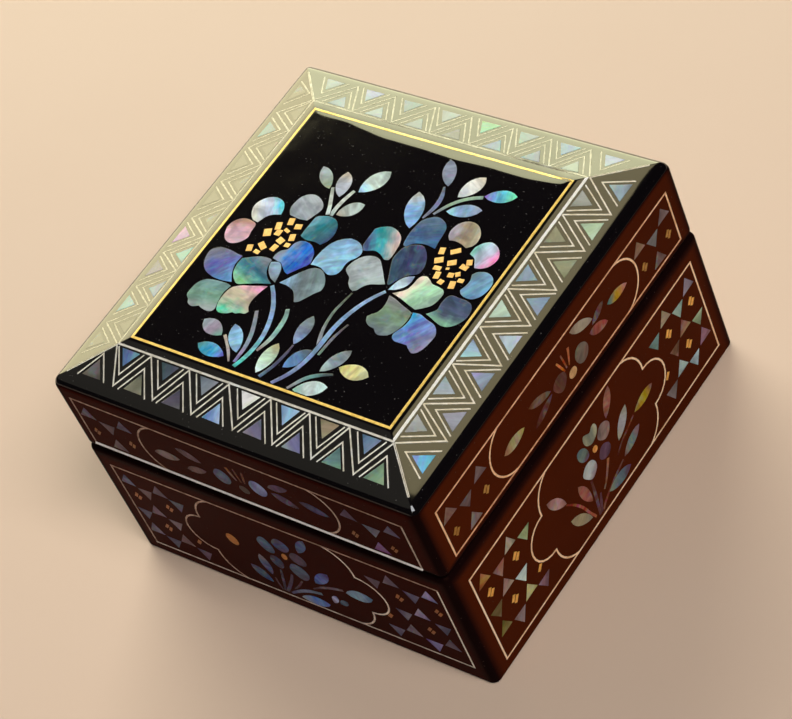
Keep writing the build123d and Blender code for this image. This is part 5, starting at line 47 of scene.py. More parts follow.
# ------------------------------------------------------------------ inlay tables
# Each plate: kind, the direction in degrees that its tones run in, its three
# tones, and its outline in millimetres in the plane of its face. On a side, x is
# to the right and y is up. On a bevel, y runs up the slope. On the top, x and y
# are the row's own.
TOP = (
    ("gold_a", 0, None, ((-18.78, 3.86), (-19.27, 5.7), (-20.62, 5.34), (-20.13, 3.5))),
    ("gold_a", 0, None, ((-16.2, 3.44), (-16.56, 4.8), (-18.2, 4.36), (-17.84, 3))),
    ("gold_a", 0, None, ((-20.78, 1.85), (-21.5, 3.83), (-22.82, 3.35), (-22.1, 1.37))),
    ("gold_a", 0, None, ((-18.26, 2.22), (-19.67, 2.73), (-19.94, 1.98), (-18.53, 1.47))),
    ("gold_a", 0, None, ((-19.95, 1.81), (-20.03, 1.85), (-20.62, 1.85), (-20.73, 1.7), (-21.45, 1.44), (-21.45, 0.15), (-19.95, 0.15))),
    ("gold_a", 0, None, ((-21.94, -0.37), (-22.83, 1.53), (-24.46, 0.77), (-23.57, -1.13))),
    ("gold_a", 0, None, ((-15.72, 0.15), (-16.37, 1.93), (-17.68, 1.45), (-17.03, -0.33))),
    ("gold_a", 0, None, ((-17.7, -0.4), (-19.39, 0.21), (-19.9, -1.2), (-18.21, -1.81))),
    ("gold_a", 0, None, ((-15.85, -0.85), (-17.15, -0.85), (-17.15, -1.95), (-15.85, -1.95))),
    ("gold_a", 0, None, ((-18.15, -2.24), (-19.53, -1.99), (-19.85, -3.76), (-18.47, -4.01))),
    ("gold_a", 0, None, ((-20.66, -3.49), (-22.54, -2.17), (-23.34, -3.31), (-21.46, -4.63))),
    ("gold_a", 0, None, ((-23.53, -5.51), (-24.15, -3.81), (-25.47, -4.29), (-24.85, -5.99))),
    ("gold_a", 0, None, ((-21.37, -4.94), (-22.85, -4.68), (-23.03, -5.66), (-21.55, -5.92))),
    ("gold_b", 0, None, ((19.26, 8.1), (18.79, 9.84), (17.54, 9.5), (18.01, 7.76))),
    ("gold_b", 0, None, ((22.71, 9.83), (21.97, 10.89), (20.09, 9.57), (20.83, 8.51))),
    ("gold_b", 0, None, ((27.01, 7.59), (26.37, 8.95), (25.19, 8.41), (25.83, 7.05))),
    ("gold_b", 0, None, ((20.44, 6.25), (19.69, 7.55), (17.96, 6.55), (18.71, 5.25))),
    ("gold_b", 0, None, ((23.62, 6.59), (22.92, 7.81), (21.18, 6.81), (21.88, 5.59))),
    ("gold_b", 0, None, ((26.73, 7.01), (26.27, 7.08), (25.83, 6.89), (25.68, 6.98), (25.59, 7.17), (24.85, 7.28), (24.67, 5.99), (26.55, 5.72))),
    ("gold_b", 0, None, ((21.04, 3.93), (20.95, 5.03), (19.16, 4.87), (19.25, 3.77))),
    ("gold_b", 0, None, ((22.88, 4.85), (22.67, 5.42), (21.92, 5.15), (22.13, 4.58))),
    ("gold_b", 0, None, ((26.29, 4.22), (25.61, 5.21), (24.71, 4.58), (25.39, 3.59))),
    ("gold_b", 0, None, ((24.89, 3.23), (24.71, 4.3), (24.63, 4.4), (23.31, 4.17), (23.51, 2.99))),
    ("gold_b", 0, None, ((27.84, 2.66), (27.75, 3.66), (26.36, 3.54), (26.45, 2.54))),
    ("gold_b", 0, None, ((22.01, 1.88), (21.68, 3.75), (20.39, 3.52), (20.72, 1.65))),
    ("gold_b", 0, None, ((23.74, 1.88), (22.46, 2.1), (22.26, 0.92), (23.54, 0.7))),
    ("gold_b", 0, None, ((26.83, 0.72), (26.38, 2.4), (26.3, 2.47), (26.28, 2.64), (24.97, 2.28), (25.48, 0.35))),
    ("bud", -70, ("a4c6e4", "9ab4c8", "8a949a"), ((-12.71, -11.16), (-13, -9.59), (-13.39, -8.2), (-13.57, -7.72), (-13.8, -7.3), (-14.09, -6.91), (-14.42, -6.55), (-14.8, -6.26), (-15.2, -6.1), (-15.64, -6.11), (-17.1, -6.6), (-16.94, -7.39), (-16.8, -7.8), (-16.42, -8.49), (-16.18, -8.85), (-15.57, -9.55), (-14.8, -10.22), (-14.4, -10.5), (-13.99, -10.72), (-12.73, -11.19))),
    ("bud", -130, ("8f9ccc", "cfe8f2", "b6dcec"), ((14.23, -3.97), (14.6, -3.8), (15.4, -3.27), (15.78, -2.94), (16.1, -2.6), (16.35, -2.23), (16.55, -1.84), (16.7, -1.42), (16.8, -1), (16.83, -0.56), (16.7, 0.8), (15.46, 0.31), (15.1, 0.1), (14.49, -0.44), (14, -1.1), (13.81, -1.49), (13.52, -2.38), (13.28, -3.31), (13.1, -4.3))),
    ("petal_a", -75, ("c9a088", "e9bccb", "f6cfe0"), ((-29.77, -5.19), (-29.33, -5.1), (-28.89, -4.95), (-28.47, -4.74), (-28.1, -4.5), (-27.76, -4.2), (-27.45, -3.82), (-27.17, -3.41), (-26.94, -2.99), (-26.8, -2.6), (-26.76, -2.15), (-27.1, -0.8), (-27.17, 0.79), (-27.3, 1.2), (-27.62, 1.52), (-28.06, 1.69), (-28.99, 1.87), (-29.9, 1.98), (-30.36, 1.97), (-30.8, 1.9), (-31.22, 1.76), (-31.64, 1.56), (-32.04, 1.31), (-32.4, 1.02), (-32.7, 0.7), (-32.95, 0.33), (-33.16, -0.08), (-33.31, -0.54), (-33.4, -1.01), (-33.4, -1.5), (-33.34, -1.87), (-33.06, -2.71), (-32.66, -3.54), (-32.2, -4.2), (-31.85, -4.54), (-31.46, -4.8), (-31.05, -5), (-30.62, -5.14), (-30.2, -5.2))),
    ("petal_a", 35, ("dfe0d6", "c9d6ea", "6fd6ea"), ((-26.6, 3.56), (-26.4, 3.9), (-26.05, 4.32), (-25.66, 4.63), (-25.2, 4.9), (-24.77, 5.1), (-23.3, 5.6), (-23.63, 6.97), (-23.8, 7.4), (-24.31, 8.22), (-24.63, 8.6), (-25, 8.9), (-25.35, 9.1), (-26.16, 9.38), (-27, 9.5), (-27.41, 9.48), (-28.24, 9.32), (-29, 9), (-29.35, 8.78), (-29.99, 8.23), (-30.5, 7.6), (-30.74, 7.18), (-30.94, 6.74), (-31.06, 6.27), (-31.1, 5.8), (-31.05, 5.4), (-30.95, 4.99), (-30.61, 4.17), (-30.17, 3.45), (-29.62, 2.8), (-29, 2.3), (-28.6, 2.12), (-27.3, 1.9))),
    ("petal_a", 60, ("9aa8b2", "a9b4be", "a3abb0"), ((-18.04, 5.91), (-16.4, 6.1), (-15.79, 7.35), (-15.29, 8.61), (-15.05, 9.43), (-15, 9.8), (-15.05, 10.32), (-15.22, 10.77), (-15.5, 11.2), (-15.8, 11.53), (-16.16, 11.85), (-17, 12.4), (-17.94, 12.8), (-18.43, 12.93), (-18.9, 13), (-19.35, 12.99), (-19.79, 12.92), (-20.21, 12.79), (-20.6, 12.6), (-20.97, 12.36), (-21.32, 12.07), (-21.64, 11.72), (-21.9, 11.3), (-22.06, 10.89), (-22.2, 10.42), (-22.36, 9.43), (-22.4, 8.54), (-22.34, 8.13), (-22.1, 7.4), (-21.84, 6.97), (-21.2, 6.2), (-19.36, 5.96), (-18.5, 5.9))),
    ("petal_a", -20, ("6fa3b8", "2f7f8f", "3a5a86"), ((-8.41, 2.21), (-8.2, 2.6), (-7.95, 3.35), (-7.81, 4.18), (-7.8, 4.6), (-7.93, 5.5), (-8.21, 6.4), (-8.4, 6.8), (-8.87, 7.5), (-9.46, 8.08), (-9.8, 8.3), (-10.18, 8.48), (-10.61, 8.62), (-11.5, 8.77), (-11.9, 8.8), (-12.34, 8.77), (-12.74, 8.68), (-14.29, 8.12), (-14.64, 7.92), (-14.9, 7.6), (-15.02, 7.21), (-15.07, 6.72), (-15.1, 5.2), (-15.19, 3.99), (-15.19, 3.18), (-15.1, 1.9), (-13.7, 1.39), (-13.2, 1.3), (-12.77, 1.3), (-11.42, 1.48), (-11, 1.5), (-10.52, 1.46), (-9.2, 1.2))),
    ("petal_a", -10, ("93a0a8", "4a86d8", "5a72d2"), ((-9.8, -6.2), (-8.5, -4.64), (-8.3, -4.3), (-8.19, -3.84), (-8.26, -3.46), (-8.63, -2.26), (-8.97, -1.46), (-9.2, -1.1), (-9.48, -0.76), (-10.16, -0.11), (-10.9, 0.4), (-11.37, 0.61), (-11.87, 0.76), (-12.8, 0.9), (-13.32, 0.89), (-13.78, 0.79), (-14.2, 0.6), (-14.59, 0.32), (-14.93, -0.05), (-15.2, -0.5), (-15.32, -0.92), (-15.45, -1.9), (-15.6, -2.3), (-15.88, -2.58), (-16.6, -2.96), (-16.9, -3.2), (-17.18, -3.64), (-17.38, -4.14), (-17.5, -4.6), (-17.49, -5.12), (-17.4, -5.6), (-16.91, -5.66), (-16.3, -5.8), (-15.75, -5.97), (-15.2, -5.94), (-14.74, -6.12), (-14.33, -6.42), (-14.1, -6.67), (-13.82, -6.84), (-12.5, -7.9), (-12.09, -8.1), (-11.4, -8.3))),
    ("petal_a", -40, ("7c7f92", "6d77b8", "77b6e6"), ((-24.55, -14.77), (-22.5, -14.4), (-23.65, -12.83), (-24.27, -11.64), (-24.59, -10.83), (-24.8, -10), (-24.84, -9.58), (-24.81, -8.71), (-24.7, -7.4), (-25.48, -7.36), (-26.34, -7.24), (-27.61, -7.01), (-28.5, -6.9), (-29.89, -6.83), (-30.8, -6.89), (-31.2, -7), (-31.66, -7.2), (-32.1, -7.46), (-32.5, -7.79), (-32.81, -8.17), (-33, -8.6), (-33.05, -8.96), (-33.04, -9.38), (-32.87, -10.31), (-32.73, -10.77), (-32.4, -11.6), (-32.18, -12), (-31.62, -12.73), (-31.3, -13.04), (-30.6, -13.6), (-30.22, -13.83), (-29.37, -14.21), (-28, -14.6), (-27.16, -14.73), (-26.27, -14.8), (-25.41, -14.81))),
    ("petal_a", -105, ("7f8796", "3f7f92", "9fe6b4"), ((-20.39, -14.33), (-19.94, -14.16), (-18.98, -13.71), (-16.43, -12.74), (-13.35, -11.82), (-13.35, -11.77), (-14.51, -11.16), (-14.9, -10.9), (-15.65, -10.25), (-16.3, -9.5), (-16.56, -9.09), (-16.96, -8.22), (-17.19, -7.39), (-17.3, -6.2), (-17.56, -6.02), (-18, -5.9), (-18.77, -5.91), (-19.73, -6.01), (-20.2, -6.1), (-21.14, -6.4), (-22.5, -7), (-24.3, -8), (-24.42, -9.32), (-24.4, -9.8), (-24.25, -10.68), (-23.98, -11.59), (-23.8, -12), (-23.57, -12.37), (-23.01, -13.05), (-22.71, -13.34), (-21.66, -14.16), (-21.25, -14.34), (-20.8, -14.4))),
    ("petal_a", -80, ("6f9498", "7aa593", "98a2a4"), ((-26.73, -23.1), (-25.6, -22.5), (-25.14, -22.71), (-24.6, -22.9), (-23.76, -23.05), (-22.9, -23.1), (-22.46, -23.03), (-22.09, -22.89), (-21.8, -22.7), (-21.6, -22.33), (-21.5, -21.9), (-22.09, -20.05), (-22.35, -18.7), (-22.41, -17.83), (-22.4, -17.4), (-22.25, -16.59), (-21.9, -15.4), (-22.82, -15.17), (-23.4, -15.1), (-25.1, -15.12), (-27.32, -15.37), (-28.15, -15.57), (-28.5, -15.7), (-28.95, -15.96), (-29.32, -16.27), (-29.64, -16.62), (-29.9, -17), (-30.1, -17.41), (-30.24, -17.86), (-30.34, -18.32), (-30.44, -19.31), (-30.45, -19.85), (-30.41, -20.37), (-30.3, -20.8), (-30.01, -21.21), (-29.2, -21.8), (-28.79, -22.51), (-28.5, -22.8), (-28.09, -23.02), (-27.6, -23.17), (-27.1, -23.2))),
    ("petal_a", -100, ("f0a8cc", "c9bfa8", "67cfae"), ((-19.42, -22.49), (-19, -22.43), (-18.2, -22.2), (-17.77, -21.97), (-17, -21.4), (-16.55, -21.49), (-16.1, -21.5), (-15.2, -21), (-14.36, -20.9), (-14, -20.8), (-13.71, -20.44), (-13.5, -20), (-14.14, -19.24), (-14.4, -18.8), (-14.63, -17.97), (-14.69, -17.51), (-14.67, -16.55), (-14.41, -15.06), (-14.15, -14.09), (-13.61, -12.73), (-13.63, -12.71), (-14.01, -12.76), (-14.92, -13), (-17, -13.7), (-19.21, -14.34), (-20.44, -14.92), (-21.13, -15.41), (-21.4, -15.7), (-21.65, -16.11), (-21.82, -16.56), (-21.93, -17.06), (-22.03, -18), (-22.04, -18.91), (-21.93, -20.04), (-21.62, -21.01), (-21.26, -21.66), (-21, -22), (-20.64, -22.29), (-20.24, -22.44), (-19.8, -22.5))),
    ("petal_a", 20, ("9cc4e8", "6f7f86", "8aa4a8"), ((-4.76, -14.17), (-4.3, -13.9), (-4.03, -13.6), (-3.47, -12.8), (-2.3, -10.9), (-1.2, -9.6), (-1.19, -8.7), (-1.3, -8.2), (-1.45, -7.84), (-1.88, -7.04), (-2.4, -6.3), (-3.11, -5.56), (-3.5, -5.25), (-3.9, -5), (-4.31, -4.81), (-4.74, -4.68), (-5.18, -4.61), (-5.6, -4.6), (-6.01, -4.66), (-6.42, -4.79), (-7.2, -5.2), (-7.56, -5.48), (-7.9, -5.81), (-8.6, -6.6), (-9.67, -7.97), (-11.68, -10.87), (-11.66, -10.9), (-9.84, -10.94), (-9.4, -11), (-8.54, -11.21), (-7.75, -11.51), (-7.4, -11.7), (-7.02, -11.98), (-6.68, -12.31), (-5.85, -13.32), (-5.2, -14.3))),
    ("petal_a", -60, ("8fbce2", "9ccbe8", "92c6ec"), ((-1.81, -5.22), (-1.39, -5.06), (-1.01, -4.85), (-0.7, -4.6), (-0.44, -4.19), (-0.29, -3.71), (-0.2, -3.2), (-0.19, -2.81), (-0.3, -1.98), (-0.3, -1.6), (-0.23, -1.14), (-0.1, -0.71), (0.1, -0.3), (0.41, 0.1), (0.8, 0.5), (1.1, 0.9), (1.29, 1.32), (1.4, 1.76), (1.4, 2.2), (1.28, 2.67), (1.04, 3.15), (0.7, 3.6), (0.36, 3.91), (-0.06, 4.22), (-0.52, 4.49), (-1, 4.7), (-1.85, 4.93), (-2.76, 5.02), (-3.2, 5), (-3.62, 4.92), (-4.44, 4.63), (-5.2, 4.2), (-5.56, 3.94), (-6.24, 3.3), (-6.8, 2.6), (-7.02, 2.23), (-7.35, 1.45), (-7.74, 0.18), (-7.94, -1.23), (-7.99, -2.16), (-7.99, -3.01), (-7.9, -4.2), (-7.38, -4.14), (-6.44, -4.1), (-5.61, -4.13), (-5.2, -4.2), (-4.8, -4.34), (-3.99, -4.73), (-2.67, -5.26), (-2.2, -5.3))),
    ("petal_b", 10, ("c3bccb", "a8987e", "cfc6ac"), ((23.96, 12), (24.2, 12.3), (24.4, 12.76), (24.49, 13.26), (24.5, 13.8), (24.36, 14.69), (24.21, 15.16), (24, 15.6), (23.78, 15.95), (23.23, 16.63), (22.6, 17.2), (22.18, 17.46), (21.72, 17.67), (21.26, 17.82), (20.8, 17.9), (20.34, 17.92), (19.88, 17.87), (19.42, 17.76), (19, 17.6), (18.6, 17.38), (18.23, 17.09), (17.88, 16.76), (17.6, 16.4), (17.37, 15.99), (17.19, 15.52), (17.07, 15.05), (17, 14.6), (17, 14.17), (17.06, 13.76), (17.3, 13), (17.56, 12.6), (18.2, 11.9), (19.12, 12.06), (19.6, 12.1), (20.38, 12.06), (21.2, 11.9), (21.64, 11.76), (23, 11.2))),
    ("petal_b", -10, ("8fd0cc", "c4cfe4", "f29acb"), ((28.91, 7.24), (29.4, 7.4), (30.15, 7.86), (30.5, 8.16), (30.8, 8.5), (31.05, 8.88), (31.26, 9.31), (31.41, 9.75), (31.5, 10.2), (31.52, 10.65), (31.48, 11.11), (31.38, 11.56), (31.2, 12), (31, 12.35), (30.46, 13.03), (29.8, 13.6), (29.02, 14.04), (28.18, 14.34), (27.8, 14.4), (27.36, 14.36), (26.94, 14.23), (26.2, 13.8), (25.87, 13.52), (25.57, 13.18), (25.1, 12.5), (24.93, 12.13), (24.85, 11.77), (24.78, 10.98), (24.8, 10.1), (26.06, 9.6), (26.4, 9.4), (26.73, 9.07), (27.9, 7.1))),
    ("petal_b", -30, ("7f9cae", "7fb0d0", "7ba6cc"), ((31.67, -0.47), (32.1, -0.37), (32.5, -0.2), (32.87, 0.06), (33.23, 0.39), (33.54, 0.78), (33.8, 1.2), (33.96, 1.56), (34.19, 2.39), (34.3, 3.2), (34.3, 4.14), (34.23, 4.58), (34.1, 5), (33.9, 5.4), (33.65, 5.78), (33.35, 6.12), (33, 6.4), (32.6, 6.61), (32.14, 6.77), (31.67, 6.87), (31.2, 6.9), (30.73, 6.86), (30.24, 6.74), (29.4, 6.4), (29.03, 6.1), (28.5, 5.4), (28.87, 4.47), (29, 4), (29.06, 3.54), (29.06, 3.09), (29, 2.6), (28.89, 2.2), (28.4, 0.9), (28.87, 0.27), (29.2, 0), (29.94, -0.32), (30.37, -0.44), (30.8, -0.5))),
    ("petal_b", -95, ("3f4a6a", "55627e", "93c8b0"), ((31.02, -8.61), (31.42, -8.48), (31.8, -8.3), (32.18, -8.05), (32.9, -7.38), (33.2, -7), (33.69, -6.14), (33.88, -5.68), (34, -5.2), (34.06, -4.7), (34.06, -4.18), (34, -3.67), (33.9, -3.2), (33.75, -2.77), (33.54, -2.36), (33.29, -2), (33, -1.7), (32.66, -1.47), (32.28, -1.31), (31.4, -1.1), (30.99, -1.05), (29.2, -1), (28.21, -0.87), (27.8, -0.9), (27.41, -1.03), (27.07, -1.26), (26.8, -1.6), (26.66, -1.98), (26.58, -2.44), (26.5, -3.4), (26.53, -3.83), (26.68, -4.66), (26.7, -5), (26.59, -5.42), (26.3, -5.8), (25, -7.1), (26.6, -7.6), (27.95, -8.14), (29.31, -8.57), (29.76, -8.66), (30.2, -8.7))),
    ("petal_b", -30, ("efdccb", "b9ecc4", "a9c8b6"), ((23.05, -6.25), (24.15, -5.44), (24.51, -5.14), (24.8, -4.8), (25.02, -4.44), (25.18, -4.04), (25.4, -3.2), (25.53, -2.21), (25.54, -1.72), (25.5, -1.3), (25.36, -0.88), (25.13, -0.56), (24.8, -0.3), (24.46, -0.15), (23.2, 0.1), (21.96, 0.22), (21.6, 0.3), (21.23, 0.5), (20.6, 1), (19.81, 1.47), (19.4, 1.6), (18.97, 1.59), (18.55, 1.49), (18.2, 1.3), (17.88, 0.88), (17.7, 0.3), (17.6, -1.2), (17.42, -2.02), (17.29, -2.43), (17.1, -2.8), (16.83, -3.14), (16.49, -3.45), (15.39, -4.3), (14.64, -4.77), (14.65, -4.81), (17.2, -5.4), (20, -6.32), (22, -6.9))),
    ("petal_b", -85, ("8a8a90", "7f9a80", "7a8a92"), ((18.6, -15.4), (19.41, -15.19), (19.83, -15.01), (20.2, -14.8), (20.59, -14.47), (20.91, -14.08), (21.2, -13.6), (21.53, -12.86), (21.8, -12.01), (22, -11.09), (22.1, -10.08), (22.1, -9.6), (21.98, -8.73), (21.8, -7.9), (21, -7.6), (18.41, -6.76), (16.78, -6.13), (15.96, -5.87), (14.33, -5.51), (14.31, -5.53), (14.7, -6.77), (14.8, -7.2), (14.91, -8.12), (14.9, -9), (14.79, -9.52), (14.62, -9.99), (14.4, -10.4), (14.12, -10.71), (13.5, -11.2), (12.9, -12.1), (13.4, -13.01), (13.7, -13.4), (14.1, -13.7), (14.55, -13.93), (15, -14.1), (15.43, -14.2), (16.3, -14.3), (17.03, -14.95), (17.4, -15.2), (17.78, -15.35), (18.17, -15.42))),
    ("petal_b", -35, ("5fb4f0", "7f93d2", "8c8ca6"), ((28.52, -16.92), (29, -16.6), (29.22, -16.33), (29.63, -15.6), (29.8, -15.2), (30.04, -14.34), (30.33, -12.39), (30.35, -11.88), (30.3, -11.4), (30.15, -10.96), (29.93, -10.53), (29.4, -9.8), (29.06, -9.44), (28.69, -9.15), (28.2, -8.9), (27.82, -8.76), (26, -8.3), (24.21, -7.68), (23.8, -7.6), (23.34, -7.59), (22.1, -7.8), (22.45, -9.12), (22.5, -9.6), (22.49, -10.02), (22.4, -10.92), (22.2, -11.8), (22.04, -12.23), (21.57, -13.16), (21.3, -13.8), (21.27, -14.43), (21.5, -14.9), (21.77, -15.19), (22.15, -15.43), (22.6, -15.6), (23.01, -15.65), (25.8, -15.6), (26.45, -16.15), (27.19, -16.65), (27.61, -16.88), (28, -17))),
    ("petal_b", -50, ("a2aeb0", "b2bec2", "a4b4b2"), ((6, -7.06), (6.4, -6.8), (6.59, -6.51), (6.97, -5.75), (7.2, -5.4), (7.55, -5.02), (7.94, -4.69), (8.4, -4.4), (8.82, -4.22), (10.2, -3.8), (11.6, -3.3), (8.8, -0.14), (7.19, 1.57), (6.85, 1.86), (6.5, 2.1), (6.04, 2.31), (5.57, 2.44), (5.09, 2.51), (4.6, 2.5), (4.2, 2.44), (3.36, 2.2), (2.6, 1.8), (2.27, 1.54), (1.67, 0.9), (1.2, 0.2), (0.98, -0.25), (0.81, -0.73), (0.6, -1.6), (0.57, -2.22), (0.7, -2.7), (0.97, -3.06), (1.4, -3.4), (2.49, -4.13), (2.8, -4.4), (3.04, -4.79), (3.19, -5.19), (3.4, -5.6), (3.66, -5.92), (4.3, -6.56), (4.6, -6.8), (5.11, -7.05), (5.6, -7.2))),
    ("petal_b", 25, ("45588c", "4aa8b4", "d9c4bc"), ((7.83, 2.53), (8.3, 2.7), (8.42, 3.09), (8.5, 3.6), (8.45, 4.91), (8.22, 6.91), (8.1, 7.4), (7.74, 8.35), (7.5, 8.8), (7.2, 9.2), (6.9, 9.49), (6.18, 10.01), (5.4, 10.4), (4.6, 10.67), (3.79, 10.8), (3.4, 10.8), (2.93, 10.73), (2.46, 10.59), (1.6, 10.2), (1.22, 9.98), (0.2, 9.2), (0.23, 5.42), (0.3, 4.6), (0.45, 4.04), (0.81, 3.72), (1.24, 3.11), (1.9, 3.2), (3.3, 3.8), (3.8, 3.9), (4.2, 3.88), (4.62, 3.81), (5.8, 3.4), (6.22, 3.18), (6.97, 2.66), (7.3, 2.5))),
    ("petal_b", -70, ("5f7894", "47658e", "4f7aa8"), ((10.06, 7.4), (10.65, 8.1), (11, 8.4), (11.41, 8.6), (11.86, 8.77), (12.8, 9), (13.25, 9.07), (14.14, 9.11), (14.6, 9.1), (16.5, 8.8), (16.27, 9.96), (16.16, 10.8), (16.05, 12.16), (15.84, 13.85), (15.75, 14.24), (15.6, 14.6), (15.33, 15.01), (15, 15.39), (14.62, 15.72), (14.2, 16), (13.43, 16.36), (12.6, 16.58), (12.2, 16.6), (11.72, 16.53), (11.26, 16.37), (10.81, 16.15), (10.02, 15.62), (9.66, 15.31), (9.35, 14.96), (9.1, 14.6), (8.93, 14.23), (8.83, 13.83), (8.52, 11.65), (8.5, 10.75), (8.55, 9.85), (8.76, 8.41), (8.86, 7.95), (9, 7.6), (9.35, 7.21), (9.8, 7.2))),
    ("petal_b", 20, ("3a5a72", "343f62", "424a6c"), ((12.68, -2.91), (13, -2.4), (13.57, -1.28), (13.8, -0.9), (14.37, -0.2), (15, 0.4), (15.43, 0.68), (16.3, 1.1), (16.74, 1.38), (17.1, 1.8), (17.2, 2.16), (17.25, 2.61), (17.25, 3.1), (17.2, 3.6), (17.11, 4.02), (16.81, 4.93), (16.4, 5.8), (16.16, 6.2), (15.6, 6.96), (15.3, 7.3), (14.63, 7.94), (14.25, 8.24), (13.85, 8.47), (13.4, 8.6), (12.99, 8.61), (12.53, 8.54), (11.6, 8.26), (10.59, 7.79), (10.18, 7.3), (9.86, 7.05), (9.73, 7.04), (9.51, 6.65), (9.37, 6.26), (9.17, 5.4), (9.04, 4.54), (9.03, 3.65), (9.1, 3.2), (9.21, 2.83), (9.53, 2.07), (11.1, -1.13), (11.9, -2.9), (12.14, -3.12), (12.4, -3.2))),
    ("stem", -76, ("93b2db", "98b9e1", "66c6b9"), ((-6.3, -31.77), (-5.99, -30.72), (-5.78, -29.64), (-5.64, -28.54), (-5.56, -27.42), (-5.55, -26.28), (-5.61, -25.11), (-5.76, -23.91), (-6.02, -22.68), (-6.37, -21.43), (-6.79, -20.21), (-7.28, -19.01), (-7.84, -17.84), (-8.45, -16.73), (-9.12, -15.71), (-10.52, -13.89), (-11.19, -13.13), (-12.47, -11.79), (-13.13, -12.41), (-11.89, -13.76), (-11.28, -14.51), (-9.96, -16.29), (-9.35, -17.27), (-8.79, -18.32), (-8.27, -19.45), (-7.81, -20.59), (-7.42, -21.76), (-7.09, -22.94), (-6.84, -24.09), (-6.7, -25.2), (-6.63, -26.3), (-6.64, -27.38), (-6.7, -28.44), (-6.82, -29.47), (-7.01, -30.48), (-7.28, -31.46), (-7.97, -33.43), (-7.03, -33.77))),
    ("stem", -108, ("9cb9db", "89aad0", "7f89b9"), ((5.32, -32.4), (6.05, -31.24), (6.62, -30.08), (7.07, -28.92), (7.44, -27.74), (7.73, -26.51), (7.93, -25.27), (8.08, -24.05), (8.16, -22.88), (8.29, -18.25), (8.39, -17.07), (8.56, -15.89), (8.77, -14.71), (9.04, -13.55), (9.37, -12.4), (9.76, -11.27), (10.17, -10.21), (10.61, -9.23), (11.58, -7.45), (12.11, -6.65), (13.22, -5.14), (12.58, -4.66), (11.4, -6.14), (10.82, -6.95), (9.73, -8.78), (9.23, -9.79), (8.76, -10.89), (8.33, -12.06), (7.96, -13.25), (7.65, -14.46), (7.4, -15.69), (7.21, -16.93), (7.1, -18.17), (7, -20.58), (6.98, -22.84), (6.92, -23.95), (6.61, -26.3), (6.36, -27.46), (6.04, -28.58), (5.65, -29.67), (5.15, -30.76), (4.5, -31.86), (2.93, -34.14), (3.37, -34.45), (3.82, -34.45))),
    ("leaf", -44, ("b4c0c8", "aebfb4", "a3b494"), ((-17.17, 16.76), (-17.55, 17.69), (-18.02, 18.53), (-18.6, 19.27), (-19.29, 19.89), (-20.1, 20.39), (-21.06, 20.74), (-22.3, 20.8), (-22.21, 19.56), (-21.85, 18.61), (-21.34, 17.81), (-20.7, 17.13), (-19.95, 16.57), (-19.1, 16.11), (-18.16, 15.74), (-17, 15.6))),
    ("leaf", -71, ("d4cab6", "b4bcc8", "a9b2bd"), ((-12.8, 15.44), (-12.64, 16.46), (-12.64, 17.43), (-12.8, 18.34), (-13.14, 19.19), (-13.69, 19.97), (-14.47, 20.66), (-15.7, 21.2), (-16.33, 20.01), (-16.51, 18.98), (-16.46, 18.04), (-16.2, 17.16), (-15.76, 16.35), (-15.16, 15.59), (-14.4, 14.88), (-13.3, 14.3))),
    ("leaf", -117, ("b9ccc6", "d6ece2", "a4d4ee"), ((-8.37, 17.35), (-7.35, 18.01), (-6.51, 18.76), (-5.85, 19.61), (-5.42, 20.58), (-5.22, 21.66), (-5.29, 22.89), (-5.9, 24.4), (-7.48, 24.03), (-8.53, 23.39), (-9.31, 22.6), (-9.85, 21.69), (-10.17, 20.66), (-10.3, 19.54), (-10.26, 18.33), (-9.8, 16.9))),
    ("leaf", -136, ("aabfbc", "c0cfcc", "b4ab98"), ((-8.78, 9.89), (-7.96, 10.23), (-7.25, 10.7), (-6.69, 11.31), (-6.27, 12.07), (-6.02, 13.01), (-6.1, 14.3), (-7.38, 14.44), (-8.33, 14.23), (-9.11, 13.84), (-9.75, 13.3), (-10.24, 12.62), (-10.62, 11.81), (-10.89, 10.89), (-10.9, 9.7), (-9.71, 9.66))),
    ("leaf", -61, ("7f8aa0", "8c93a6", "8a9aae"), ((9.27, 26.13), (9.16, 27.21), (8.91, 28.21), (8.54, 29.14), (8.02, 29.98), (7.33, 30.73), (6.45, 31.37), (5.2, 31.8), (4.92, 30.51), (5.02, 29.42), (5.3, 28.44), (5.76, 27.56), (6.36, 26.77), (7.09, 26.04), (7.95, 25.39), (9.1, 24.9))),
    ("leaf", -114, ("e4dcc8", "f2f4ee", "e8f0f0"), ((14.25, 23.38), (15.13, 24.02), (15.84, 24.74), (16.37, 25.53), (16.72, 26.41), (16.84, 27.4), (16.71, 28.49), (16.1, 29.8), (14.71, 29.39), (13.81, 28.75), (13.16, 28.01), (12.73, 27.17), (12.49, 26.24), (12.42, 25.23), (12.53, 24.15), (13, 22.9))),
    ("leaf", -163, ("7fe8c0", "78dcec", "9c8cf0"), ((22.81, 24.43), (23.7, 24.74), (24.52, 25.26), (25.28, 26.01), (25.9, 27.2), (24.72, 27.84), (23.68, 28.04), (22.7, 28.01), (21.79, 27.77), (20.93, 27.36), (20.12, 26.79), (19.36, 26.07), (18.7, 25), (19.84, 24.48), (20.88, 24.31), (21.87, 24.29))),
    ("leaf", -160, ("8f9cb4", "90b4d4", "a4d4ea"), ((16.24, 18.14), (17.25, 18.36), (18.2, 18.75), (19.07, 19.34), (19.87, 20.15), (20.5, 21.4), (19.21, 21.95), (18.08, 22.06), (17.03, 21.95), (16.05, 21.64), (15.14, 21.16), (14.28, 20.52), (13.48, 19.73), (12.8, 18.6), (14.05, 18.17), (15.17, 18.08))),
